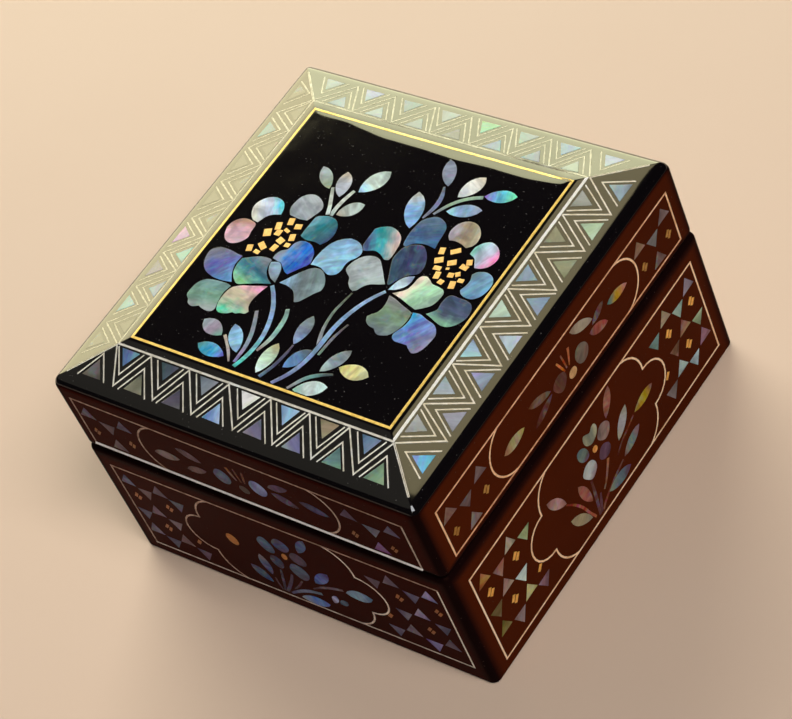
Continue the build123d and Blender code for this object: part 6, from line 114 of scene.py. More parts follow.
    ("leaf", -68, ("c8cfc8", "8cb4e0", "86b8ea"), ((8.08, 13.4), (8.14, 14.83), (8.01, 16.19), (7.69, 17.47), (7.15, 18.66), (6.37, 19.76), (5.31, 20.74), (3.7, 21.5), (3.07, 19.84), (2.98, 18.39), (3.17, 17.06), (3.61, 15.83), (4.27, 14.68), (5.11, 13.62), (6.15, 12.62), (7.6, 11.8))),
    ("leaf", -19, ("9fb2bc", "a79bb0", "86b6a8"), ((-17.5, -28.22), (-16.51, -28.04), (-15.4, -27.5), (-15.94, -26.39), (-16.6, -25.63), (-17.32, -25.04), (-18.09, -24.6), (-18.93, -24.36), (-19.85, -24.33), (-20.84, -24.53), (-22, -25.2), (-21.51, -26.45), (-20.85, -27.22), (-20.12, -27.77), (-19.31, -28.1), (-18.43, -28.24))),
    ("leaf", -51, ("86aede", "9ccce8", "98bce4"), ((-9.23, -29.01), (-9.52, -27.94), (-9.93, -26.96), (-10.46, -26.07), (-11.13, -25.3), (-11.96, -24.65), (-12.96, -24.14), (-14.3, -23.9), (-14.37, -25.26), (-14.09, -26.35), (-13.65, -27.3), (-13.04, -28.13), (-12.3, -28.84), (-11.43, -29.46), (-10.45, -29.99), (-9.2, -30.3))),
    ("leaf", -7, ("3f8f9c", "52b4e8", "7a78d4"), ((-14.5, -33.31), (-13.49, -33.13), (-12.47, -32.79), (-11.4, -32.1), (-12.28, -31.19), (-13.21, -30.62), (-14.15, -30.21), (-15.11, -29.96), (-16.09, -29.89), (-17.09, -30.03), (-18.12, -30.39), (-19.2, -31.2), (-18.33, -32.24), (-17.41, -32.82), (-16.46, -33.18), (-15.49, -33.34))),
    ("leaf", -91, ("d4cfa0", "c4e0c8", "daf4f0"), ((-0.82, -32.27), (-0.32, -31.23), (0.03, -30.19), (0.2, -29.14), (0.18, -28.09), (-0.06, -27.04), (-0.54, -25.97), (-1.5, -24.9), (-2.51, -25.93), (-3.04, -26.96), (-3.33, -28.01), (-3.4, -29.06), (-3.28, -30.11), (-2.98, -31.17), (-2.53, -32.23), (-1.7, -33.3))),
    ("leaf", -88, ("7c8c88", "76849a", "9fb4ec"), ((2.54, -22.97), (2.95, -21.95), (3.2, -20.94), (3.3, -19.94), (3.22, -18.94), (2.94, -17.95), (2.44, -16.97), (1.5, -16), (0.63, -17.03), (0.21, -18.05), (0, -19.06), (0, -20.06), (0.18, -21.06), (0.5, -22.05), (0.98, -23.03), (1.8, -24))),
    ("leaf", -120, ("55606e", "6f94c4", "84b0ec"), ((4.36, -29.65), (5.2, -29.12), (5.89, -28.52), (6.21, -27.42), (6.46, -26.27), (6.74, -24.04), (6.7, -23.9), (5.43, -24.19), (4.57, -24.7), (3.91, -25.34), (3.43, -26.08), (3.12, -26.91), (2.95, -27.83), (2.92, -28.83), (3.2, -30))),
    ("leaf", -117, ("7a8286", "8a9aa6", "b9d2ce"), ((12.85, -27.57), (13.69, -26.88), (14.4, -26.12), (14.97, -25.3), (15.38, -24.39), (15.62, -23.39), (15.66, -22.3), (15.3, -21), (14.04, -21.48), (13.18, -22.16), (12.52, -22.93), (12.03, -23.8), (11.7, -24.75), (11.51, -25.77), (11.45, -26.86), (11.7, -28.1))),
    ("leaf", -179, ("dcdfb4", "d8d498", "d2cb8a"), ((20.04, -27.54), (21, -27.24), (21.95, -26.68), (22.9, -25.6), (21.92, -24.54), (20.95, -24.01), (19.99, -23.74), (19.02, -23.7), (18.06, -23.87), (17.11, -24.23), (16.15, -24.77), (15.2, -25.7), (16.17, -26.61), (17.14, -27.12), (18.11, -27.45), (19.08, -27.6))),
    ("leaf", -156, ("c8e8e8", "def2ee", "9fdcd0"), ((13.23, -34.33), (14.1, -33.89), (14.87, -33.24), (15.54, -32.35), (16, -31), (14.68, -30.45), (13.58, -30.36), (12.58, -30.51), (11.67, -30.87), (10.85, -31.41), (10.1, -32.12), (9.42, -32.98), (8.9, -34.2), (9.65, -34.45), (12.79, -34.45))),
    ("stem", -63, ("b5c0b5", "ced7ce", "c4d3d0"), ((-12.34, 9.29), (-13.39, 11.6), (-14.82, 14.21), (-16.09, 16.37), (-16.71, 16.03), (-15.58, 13.79), (-14.21, 11.2), (-13.26, 8.91))),
    ("stem", -98, ("bac4b9", "d5ddd7", "c0d5d4"), ((-11.45, 9.11), (-11.51, 10.9), (-11.5, 11.77), (-11.41, 12.61), (-11.13, 14.29), (-10.52, 16.79), (-11.28, 17.01), (-11.84, 15.36), (-12.07, 14.51), (-12.26, 13.63), (-12.5, 11.83), (-12.55, 10.14), (-12.19, 9.36), (-12.19, 9.23), (-12.29, 9.14), (-12.28, 9.1))),
    ("stem", -88, ("5a6778", "727da6", "848ca4"), ((9.6, 16.59), (10.03, 18.03), (10.18, 18.79), (10.25, 19.59), (10.22, 20.42), (10.09, 21.27), (9.87, 22.13), (9.51, 22.98), (8.63, 24.6), (8.17, 24.4), (8.73, 22.68), (8.93, 21.87), (9.06, 21.1), (9.15, 19.61), (9.13, 18.9), (8.96, 17.5), (8.56, 15.37), (9.04, 15.23))),
    ("stem", -137, ("98b9aa", "a3c2a2", "8e99aa"), ((11.95, 18.86), (12.55, 19.76), (13.17, 20.53), (13.83, 21.23), (14.5, 21.86), (15.18, 22.41), (15.9, 22.89), (16.61, 23.3), (17.31, 23.63), (18.76, 24.18), (18.44, 25.02), (16.96, 24.46), (16.19, 24.1), (15.42, 23.65), (14.65, 23.14), (13.9, 22.54), (13.19, 21.86), (12.5, 21.1), (11.85, 20.24), (11.27, 19.25), (10.24, 17.14), (10.76, 16.86))),
    ("stem", -47, ("baae9f", "ccc8c1", "a69f9b"), ((-9.24, -32.78), (-10.21, -31.31), (-10.75, -30.59), (-11.85, -29.36), (-12.41, -28.96), (-13.15, -28.24), (-13.48, -27.79), (-14.47, -26.94), (-14.93, -27.46), (-13.74, -28.5), (-12.51, -29.68), (-11.25, -31.01), (-9.56, -33.02))),
    ("stem", -75, ("81818c", "8494a2", "8e89b9"), ((-7.85, -32.6), (-7.74, -32.3), (-7.69, -29.86), (-7.74, -28.55), (-7.89, -27.39), (-8.12, -26.31), (-8.42, -25.25), (-8.81, -24.15), (-9.78, -22), (-10.31, -20.98), (-11.45, -19.01), (-12.15, -19.39), (-11.11, -21.39), (-10.17, -23.44), (-9.74, -24.5), (-9.38, -25.55), (-9.08, -26.56), (-8.84, -27.56), (-8.66, -28.65), (-8.56, -29.89), (-8.45, -32.6))),
    ("stem", -89, ("84a6a2", "92c0b5", "a69493"), ((-3.91, -26.07), (-3.57, -24.89), (-3.4, -23.74), (-3.36, -22.64), (-3.4, -21.57), (-3.5, -20.5), (-3.66, -19.44), (-3.88, -18.46), (-4.19, -17.62), (-4.89, -16.21), (-5.71, -16.59), (-5.14, -17.99), (-4.92, -18.74), (-4.77, -19.62), (-4.66, -20.61), (-4.56, -22.65), (-4.56, -23.67), (-4.63, -24.71), (-4.83, -25.82), (-5.39, -28.21), (-4.81, -28.39))),
    ("stem", -103, ("554d69", "535879", "62819b"), ((1, -31.87), (1.39, -30.71), (1.69, -29.48), (1.91, -28.22), (2.05, -27.05), (2.11, -26.03), (2.1, -24.21), (1.7, -24.19), (1.5, -25.98), (0.91, -29.31), (0.61, -30.49), (0.22, -31.57), (-0.72, -33.73), (0.12, -34.07))),
    ("stem", -85, ("48554b", "728179", "989fae"), ((6.82, -22.34), (6.85, -20.36), (6.39, -19.27), (6.1, -18.46), (5.86, -17.53), (5.66, -16.4), (5.52, -15.16), (5.45, -14), (5.47, -12.99), (5.84, -10), (6.2, -7.84), (5.8, -7.76), (5.32, -9.9), (4.94, -11.95), (4.8, -12.94), (4.75, -14), (4.82, -15.22), (4.96, -16.5), (5.14, -17.67), (5.36, -18.66), (5.9, -20.36), (6.21, -21.13), (6.77, -22.35))),
    ("stem", -99, ("4d464f", "7f7288", "729084"), ((9.45, -20.44), (9.59, -19.47), (9.9, -17.88), (10.49, -15.46), (10.11, -15.34), (9.55, -16.91), (9.08, -18.52), (8.9, -19.36), (8.75, -20.36), (8.65, -21.63), (8.5, -24.48), (9.1, -24.52))),
    ("stem", -139, ("556369", "66908f", "a6a6ae"), ((9.39, -32.1), (10.17, -31.13), (10.95, -30.41), (11.77, -29.82), (12.61, -29.29), (13.44, -28.83), (15.19, -28.03), (15.01, -27.57), (13.14, -28.12), (12.19, -28.51), (11.26, -29.01), (10.33, -29.63), (9.43, -30.47), (8.64, -31.59), (7.24, -34.14), (7.76, -34.46))),
)
BASE_R = (
    ("frame", 0, None, ((-44.83, 31.08), (45.13, 31.98), (45.13, 32.42), (-44.83, 31.52))),
    ("frame", 0, None, ((-44.83, 2.78), (45.23, 3.88), (45.23, 4.32), (-44.83, 3.22))),
    ("frame", 0, None, ((-44.83, 3.26), (-44.37, 3.26), (-44.37, 31.04), (-44.83, 31.04))),
    ("frame", 0, None, ((44.77, 4.35), (45.23, 4.36), (45.13, 31.95), (44.67, 31.94))),
    ("cartouche", 0, None, ((-16.38, 4.16), (-17.58, 4.97), (-18.6, 5.98), (-19.43, 7.14), (-20.02, 8.44), (-20.36, 9.82), (-20.46, 11.45), (-22.27, 11.58), (-23.76, 12.1), (-25.04, 12.99), (-26.04, 14.18), (-26.66, 15.59), (-26.88, 17.11), (-26.66, 18.64), (-26.04, 20.06), (-25.05, 21.27), (-23.76, 22.19), (-22.28, 22.74), (-20.46, 22.91), (-20.45, 24.65), (-20.15, 26.13), (-19.55, 27.54), (-18.7, 28.81), (-17.61, 29.9), (-16.32, 30.77), (-15.01, 31.34), (-16.15, 31.33), (-16.54, 31.15), (-17.9, 30.24), (-19.05, 29.08), (-19.96, 27.74), (-20.58, 26.26), (-20.91, 24.69), (-20.91, 23.31), (-22.38, 23.17), (-23.98, 22.58), (-25.37, 21.59), (-26.43, 20.28), (-27.11, 18.75), (-27.33, 17.1), (-27.1, 15.46), (-26.43, 13.95), (-25.36, 12.66), (-23.97, 11.71), (-22.37, 11.14), (-20.89, 11.04), (-20.81, 9.75), (-20.45, 8.29), (-19.83, 6.93), (-18.96, 5.69), (-17.87, 4.63), (-16.61, 3.78), (-16.23, 3.61), (-15.16, 3.62))),
    ("cartouche", 0, None, ((16.9, 4.17), (18.14, 5.04), (19.21, 6.12), (20.06, 7.35), (20.67, 8.72), (21.01, 10.16), (21.07, 11.44), (22.54, 11.62), (24.12, 12.25), (25.47, 13.25), (26.52, 14.56), (27.17, 16.08), (27.39, 17.72), (27.16, 19.34), (26.5, 20.85), (25.45, 22.14), (24.09, 23.11), (22.5, 23.7), (21.05, 23.85), (21.05, 25.21), (20.74, 26.75), (20.12, 28.21), (19.22, 29.51), (18.08, 30.63), (16.73, 31.5), (16.36, 31.66), (15.21, 31.64), (16.51, 31.12), (17.79, 30.29), (18.87, 29.23), (19.72, 28), (20.3, 26.62), (20.59, 25.16), (20.59, 23.46), (22.39, 23.27), (23.86, 22.72), (25.13, 21.82), (26.1, 20.62), (26.72, 19.22), (26.93, 17.71), (26.73, 16.19), (26.12, 14.78), (25.15, 13.56), (23.89, 12.63), (22.42, 12.05), (20.63, 11.82), (20.56, 10.22), (20.23, 8.85), (19.66, 7.56), (18.85, 6.39), (17.85, 5.37), (16.67, 4.55), (15.46, 4), (16.54, 4.01))),
    ("tri", 65, ("885740", "9e7652", "ad8066"), ((-41.37, 29.47), (-43.57, 26.01), (-39.26, 26.04))),
    ("tri", 335, ("b7ad9d", "a89e8c", "8a8270"), ((-31.44, 29.48), (-33.7, 26.07), (-29.57, 26.07))),
    ("tri", 110, ("a98077", "967062", "815e50"), ((-34.17, 25.88), (-38.51, 25.85), (-36.53, 22.24))),
    ("tri", 20, ("a2b695", "96a582", "798f6d"), ((-24.52, 25.87), (-28.9, 25.89), (-26.72, 22.48))),
    ("tri", 290, ("8b716e", "96807a", "a29688"), ((-34.24, 17.88), (-36.43, 21.4), (-38.68, 17.71))),
    ("tri", 110, ("7d6e55", "706446", "5c5636"), ((-39.15, 17.58), (-43.61, 17.47), (-41.24, 13.95))),
    ("tri", 290, ("b2c4c4", "c4d6d2", "d1e1d8"), ((-29.38, 17.64), (-33.84, 17.68), (-31.5, 13.9))),
    ("tri", 290, ("636336", "787046", "877c57"), ((-39.21, 9.37), (-41.39, 12.73), (-43.39, 9.27))),
    ("tri", 110, ("a19e6e", "c4be8c", "dcdfa9"), ((-29.22, 9.45), (-31.56, 12.94), (-33.75, 9.38))),
    ("tri", 155, ("99888a", "8c7a7c", "7c6b6b"), ((-34.2, 9.14), (-38.52, 9.17), (-36.37, 5.42))),
    ("tri", 335, ("8f7786", "8a6e7a", "70575f"), ((-24.56, 9.29), (-28.94, 9.09), (-26.68, 5.77))),
    ("bar", 0, None, ((-39.64, 22.24), (-40.33, 22.86), (-41.61, 21.53), (-40.92, 20.91))),
    ("bar", 0, None, ((-40.31, 23.29), (-41.03, 23.86), (-42.28, 22.38), (-41.56, 21.81))),
    ("bar", 0, None, ((-29.82, 22.42), (-30.57, 22.96), (-31.76, 21.44), (-31.01, 20.89))),
    ("bar", 0, None, ((-30.52, 23.24), (-31.22, 23.83), (-32.46, 22.48), (-31.76, 21.88))),
    ("bar", 0, None, ((-34.66, 13.51), (-35.37, 14.1), (-36.66, 12.65), (-35.95, 12.06))),
    ("bar", 0, None, ((-35.47, 14.44), (-36.22, 14.97), (-37.29, 13.56), (-36.53, 13.02))),
    ("bar", 0, None, ((-25.72, 12.76), (-26.41, 13.37), (-27.64, 12.06), (-26.95, 11.45))),
    ("tri", 290, ("9c96a5", "968e9e", "797583"), ((43.98, 26.92), (41.71, 30.55), (39.51, 26.75))),
    ("tri", 245, ("948e75", "a09482", "a59d8a"), ((34.22, 26.92), (32.05, 30.42), (29.93, 26.73))),
    ("tri", 20, ("acc4ba", "a0bab4", "819893"), ((39.05, 26.48), (34.66, 26.57), (36.67, 23.01))),
    ("tri", 200, ("799187", "708a8a", "5e7670"), ((29.09, 26.52), (24.75, 26.32), (27.1, 22.9))),
    ("tri", 290, ("8c5d57", "987464", "a18f72"), ((39.09, 18.73), (36.65, 22.29), (34.61, 18.48))),
    ("tri", 65, ("7c8c73", "96aa8e", "afc0a5"), ((43.93, 18.39), (39.63, 18.42), (41.68, 14.94))),
    ("tri", 155, ("5b4536", "705446", "785f52"), ((34.07, 18.45), (30.05, 18.24), (32.11, 14.94))),
    ("tri", 290, ("977c8e", "8e707e", "7c5f65"), ((44.1, 10.28), (41.79, 13.96), (39.61, 10.14))),
    ("tri", 245, ("bdd0cc", "aabebc", "96a5a9"), ((34.41, 10.27), (32.12, 13.7), (29.93, 10.12))),
    ("tri", 20, ("92a6ae", "b0c4ce", "c8dee4"), ((38.9, 9.99), (34.71, 9.92), (36.88, 6.49))),
    ("tri", 200, ("5e5857", "746c6c", "7c7578"), ((29.51, 9.93), (24.8, 9.98), (27, 6.11))),
    ("bar", 0, None, ((42.66, 23.13), (41.96, 23.73), (40.75, 22.43), (41.44, 21.82))),
    ("bar", 0, None, ((42, 24.18), (41.27, 24.74), (40.03, 23.25), (40.77, 22.69))),
    ("bar", 0, None, ((33, 23.06), (32.25, 23.6), (31.12, 22.15), (31.87, 21.61))),
    ("bar", 0, None, ((32.3, 23.97), (31.57, 24.53), (30.36, 23.05), (31.09, 22.49))),
    ("bar", 0, None, ((37.78, 14.27), (37.09, 14.89), (35.78, 13.53), (36.47, 12.92))),
    ("bar", 0, None, ((37.04, 15.32), (36.29, 15.85), (35.13, 14.34), (35.88, 13.81))),
    ("bar", 0, None, ((28.04, 14.39), (27.35, 15), (26.04, 13.6), (26.73, 13))),
    ("gold", 0, None, ((0.39, 20.19), (0.65, 20.48), (0.76, 20.87), (0.7, 21.29), (0.48, 21.65), (0.14, 21.88), (-0.24, 21.94), (-0.59, 21.81), (-0.85, 21.52), (-0.96, 21.13), (-0.9, 20.71), (-0.68, 20.35), (-0.34, 20.12), (0.04, 20.06))),
    ("petal", 10, ("979b86", "787f75", "afae96"), ((0.2, 23.18), (1.05, 23.49), (1.51, 23.76), (1.9, 24.1), (2.14, 24.43), (2.36, 24.81), (2.52, 25.22), (2.6, 25.6), (2.57, 26.12), (2.42, 26.63), (2.2, 27), (1.74, 27.19), (1.2, 27.1), (0.87, 26.85), (0.54, 26.5), (0.2, 26.3), (-0.16, 26.37), (-1.61, 27.29), (-1.9, 27.4), (-2.21, 27.23), (-2.4, 26.8), (-2.49, 26.39), (-2.53, 25.89), (-2.5, 25.4), (-2.38, 24.94), (-2.18, 24.5), (-1.9, 24.1), (-1.62, 23.82), (-0.93, 23.35), (-0.6, 23.2), (-0.2, 23.13))),
    ("petal", -60, ("5a6e73", "707f7a", "5c5352"), ((-2.97, 21.14), (-2.58, 21.32), (-2.3, 21.6), (-2.16, 21.99), (-2.14, 22.49), (-2.2, 23), (-2.46, 23.83), (-2.66, 24.24), (-2.9, 24.6), (-3.18, 24.9), (-3.51, 25.17), (-3.86, 25.38), (-4.2, 25.5), (-4.68, 25.54), (-5.16, 25.46), (-5.5, 25.2), (-5.63, 24.85), (-5.68, 24.38), (-5.67, 23.86), (-5.6, 23.4), (-5.48, 22.99), (-5.29, 22.59), (-5.06, 22.22), (-4.8, 21.9), (-4.49, 21.62), (-4.12, 21.37), (-3.74, 21.19), (-3.4, 21.1))),
    ("petal", -50, ("a5afb0", "b6bec0", "9b8a91"), ((-3.4, 15.21), (-2.99, 15.37), (-2.19, 15.87), (-1.8, 16.21), (-1.5, 16.6), (-1.33, 17.03), (-1.25, 17.5), (-1.3, 18), (-1.43, 18.43), (-1.64, 18.91), (-1.9, 19.35), (-2.2, 19.7), (-2.56, 19.93), (-2.97, 20.09), (-3.4, 20.17), (-3.8, 20.2), (-4.3, 20.14), (-4.77, 19.97), (-5.2, 19.7), (-5.86, 19.1), (-6.11, 18.72), (-6.2, 18.3), (-6.1, 17.91), (-5.88, 17.46), (-5.59, 16.99), (-5, 16.2), (-4.6, 15.73), (-4.2, 15.39), (-3.8, 15.2))),
    ("petal", -20, ("756867", "867571", "8a6e6a"), ((4.2, 20.02), (4.63, 20.13), (5.04, 20.33), (5.4, 20.6), (5.71, 20.97), (5.99, 21.44), (6.2, 21.94), (6.3, 22.4), (6.26, 22.81), (6.11, 23.21), (5.88, 23.58), (5.6, 23.9), (5.26, 24.18), (4.84, 24.43), (4.41, 24.61), (4, 24.7), (3.5, 24.64), (3.03, 24.43), (2.6, 24.1), (2.28, 23.75), (1.96, 23.31), (1.71, 22.84), (1.6, 22.4), (1.66, 22), (1.85, 21.6), (2.12, 21.23), (2.7, 20.6), (3.05, 20.32), (3.42, 20.11), (3.8, 20))),
    ("petal", -40, ("5a4552", "61495c", "4c3844"), ((3.2, 15.6), (3.54, 15.8), (3.86, 16.1), (4.13, 16.45), (4.3, 16.8), (4.37, 17.29), (4.3, 17.81), (4.1, 18.3), (3.84, 18.65), (3.48, 19.01), (3.09, 19.31), (2.7, 19.5), (2.19, 19.59), (1.67, 19.51), (1.2, 19.3), (0.89, 19.01), (0.59, 18.61), (0.35, 18.18), (0.2, 17.8), (0.14, 17.37), (0.21, 16.97), (0.4, 16.6), (0.71, 16.25), (1.13, 15.93), (1.6, 15.7), (2.41, 15.52), (2.83, 15.51))),
    ("leaf", -120, ("8d655e", "986c61", "784d45"), ((6.93, 24.81), (7.72, 25.45), (8.4, 26.16), (8.97, 26.93), (9.42, 27.77), (9.72, 28.69), (9.87, 29.71), (9.7, 30.9), (8.58, 30.44), (7.78, 29.81), (7.13, 29.08), (6.63, 28.27), (6.25, 27.39), (5.98, 26.45), (5.82, 25.44), (5.9, 24.3))),
    ("leaf", -132, ("9b9d8f", "adaeb6", "9fa08b"), ((8.21, 15.59), (9.18, 16.09), (10.06, 16.68), (10.82, 17.36), (11.47, 18.14), (11.98, 19.05), (12.34, 20.09), (12.4, 21.4), (11.11, 21.18), (10.12, 20.7), (9.28, 20.08), (8.58, 19.34), (7.99, 18.5), (7.52, 17.56), (7.14, 16.53), (7, 15.3))),
    ("leaf", -173, ("865b48", "a69653", "9f884f"), ((18.27, 15.76), (19.24, 15.92), (20.19, 16.24), (21.12, 16.74), (22, 17.6), (20.93, 18.21), (19.91, 18.46), (18.91, 18.53), (17.93, 18.44), (16.97, 18.2), (16.02, 17.84), (15.09, 17.36), (14.2, 16.6), (15.26, 16.09), (16.28, 15.86), (17.28, 15.75))),
    ("leaf", -160, ("7f626c", "788581", "785f5a"), ((10.1, 9.67), (11.05, 9.89), (11.95, 10.26), (12.79, 10.8), (13.56, 11.52), (14.2, 12.6), (13.01, 13.01), (11.96, 13.05), (10.97, 12.91), (10.05, 12.61), (9.18, 12.16), (8.35, 11.58), (7.57, 10.88), (6.9, 9.9), (8.05, 9.59), (9.1, 9.57))),
    ("leaf", 175, ("63465e", "60707a", "7f8876"), ((5.5, 4.98), (6.63, 5.33), (7.8, 6.1), (6.79, 7.07), (5.75, 7.62), (4.68, 7.95), (3.6, 8.09), (2.5, 8.06), (1.38, 7.88), (0.26, 7.55), (-0.9, 6.9), (0.12, 6.05), (1.17, 5.52), (2.23, 5.14), (3.3, 4.91), (4.39, 4.85))),
    ("leaf", -73, ("8a625a", "9b6961", "8d5b4f"), ((-5.91, 11.36), (-5.88, 12.43), (-5.96, 13.48), (-6.16, 14.48), (-6.49, 15.45), (-6.97, 16.37), (-7.62, 17.23), (-8.6, 18), (-8.98, 16.82), (-9.03, 15.73), (-8.91, 14.7), (-8.64, 13.72), (-8.24, 12.77), (-7.72, 11.87), (-7.09, 10.99), (-6.2, 10.2))),
    ("leaf", -45, ("989276", "a9a084", "8d8b7d"), ((-8.28, 7.82), (-8.77, 8.83), (-9.34, 9.76), (-10.01, 10.59), (-10.78, 11.32), (-11.68, 11.92), (-12.71, 12.39), (-14, 12.6), (-13.79, 11.31), (-13.32, 10.28), (-12.72, 9.38), (-11.99, 8.61), (-11.16, 7.94), (-10.23, 7.37), (-9.22, 6.88), (-8, 6.6))),
    ("leaf", -50, ("8a6965", "b79693", "987773"), ((-13.35, 19.16), (-13.71, 20.15), (-14.17, 21.05), (-14.72, 21.87), (-15.38, 22.6), (-16.17, 23.22), (-17.1, 23.73), (-18.3, 24), (-18.23, 22.77), (-17.88, 21.78), (-17.39, 20.9), (-16.78, 20.13), (-16.06, 19.45), (-15.24, 18.85), (-14.32, 18.34), (-13.2, 18))),
    ("stem", -62, ("743e32", "9f6251", "925b4b"), ((-6.63, 5.73), (-7.89, 8.52), (-8.63, 10.77), (-9.08, 11.94), (-9.63, 13.06), (-10.26, 14.14), (-10.95, 15.18), (-11.71, 16.14), (-13.35, 17.93), (-13.65, 17.67), (-12.15, 15.79), (-11.45, 14.82), (-10.83, 13.8), (-10.24, 12.73), (-9.72, 11.66), (-9.29, 10.54), (-8.79, 9.06), (-8.18, 7.84), (-8.05, 7.25), (-7.17, 5.47))),
    ("stem", -126, ("956857", "8b5b51", "74483e"), ((-0.83, 9.71), (-0.35, 10.19), (0.13, 10.8), (1.1, 12.21), (2.69, 14.67), (1.91, 15.13), (0.97, 13.39), (0.03, 11.87), (-0.85, 10.61), (-1.26, 10.12), (-2.07, 9.28), (-1.73, 8.92))),
    ("stem", -96, ("59342f", "5c3e42", "593b3e"), ((-4.57, 9.12), (-4.32, 11.55), (-4.15, 15.17), (-4.85, 15.23), (-5.56, 9.23), (-6, 4.75), (-5.2, 4.65))),
    ("stem", -108, ("593b42", "5f414b", "59383b"), ((-3.67, 7.26), (-3.02, 9.5), (-3.58, 9.7), (-4.23, 8.31), (-4.53, 7.54), (-4.85, 6.42), (-5.09, 4.75), (-4.56, 4.6))),
    ("stem", -155, ("744838", "66382f", "4b2119"), ((6.69, 13.17), (7.54, 13.61), (10.72, 14.89), (13.69, 16.17), (13.51, 16.63), (8.28, 14.67), (7.26, 14.19), (6.39, 13.66), (4.89, 12.57), (5.11, 12.23))),
    ("stem", -155, ("664138", "74483e", "7a4e45"), ((-3.2, 5.32), (-2.69, 5.69), (-2.06, 6.06), (-0.79, 6.68), (-0.99, 6.85), (-1, 6.93), (-0.95, 6.99), (0.21, 7.64), (1.36, 7.98), (2.48, 8.16), (2.82, 8.17), (6.28, 9.46), (6.12, 9.94), (3.91, 9.31), (1.56, 8.52), (-0.76, 7.56), (-2.43, 6.73), (-3.11, 6.31), (-3.67, 5.88), (-4.2, 5.38), (-4.37, 4.87), (-4.06, 4.54))),
)
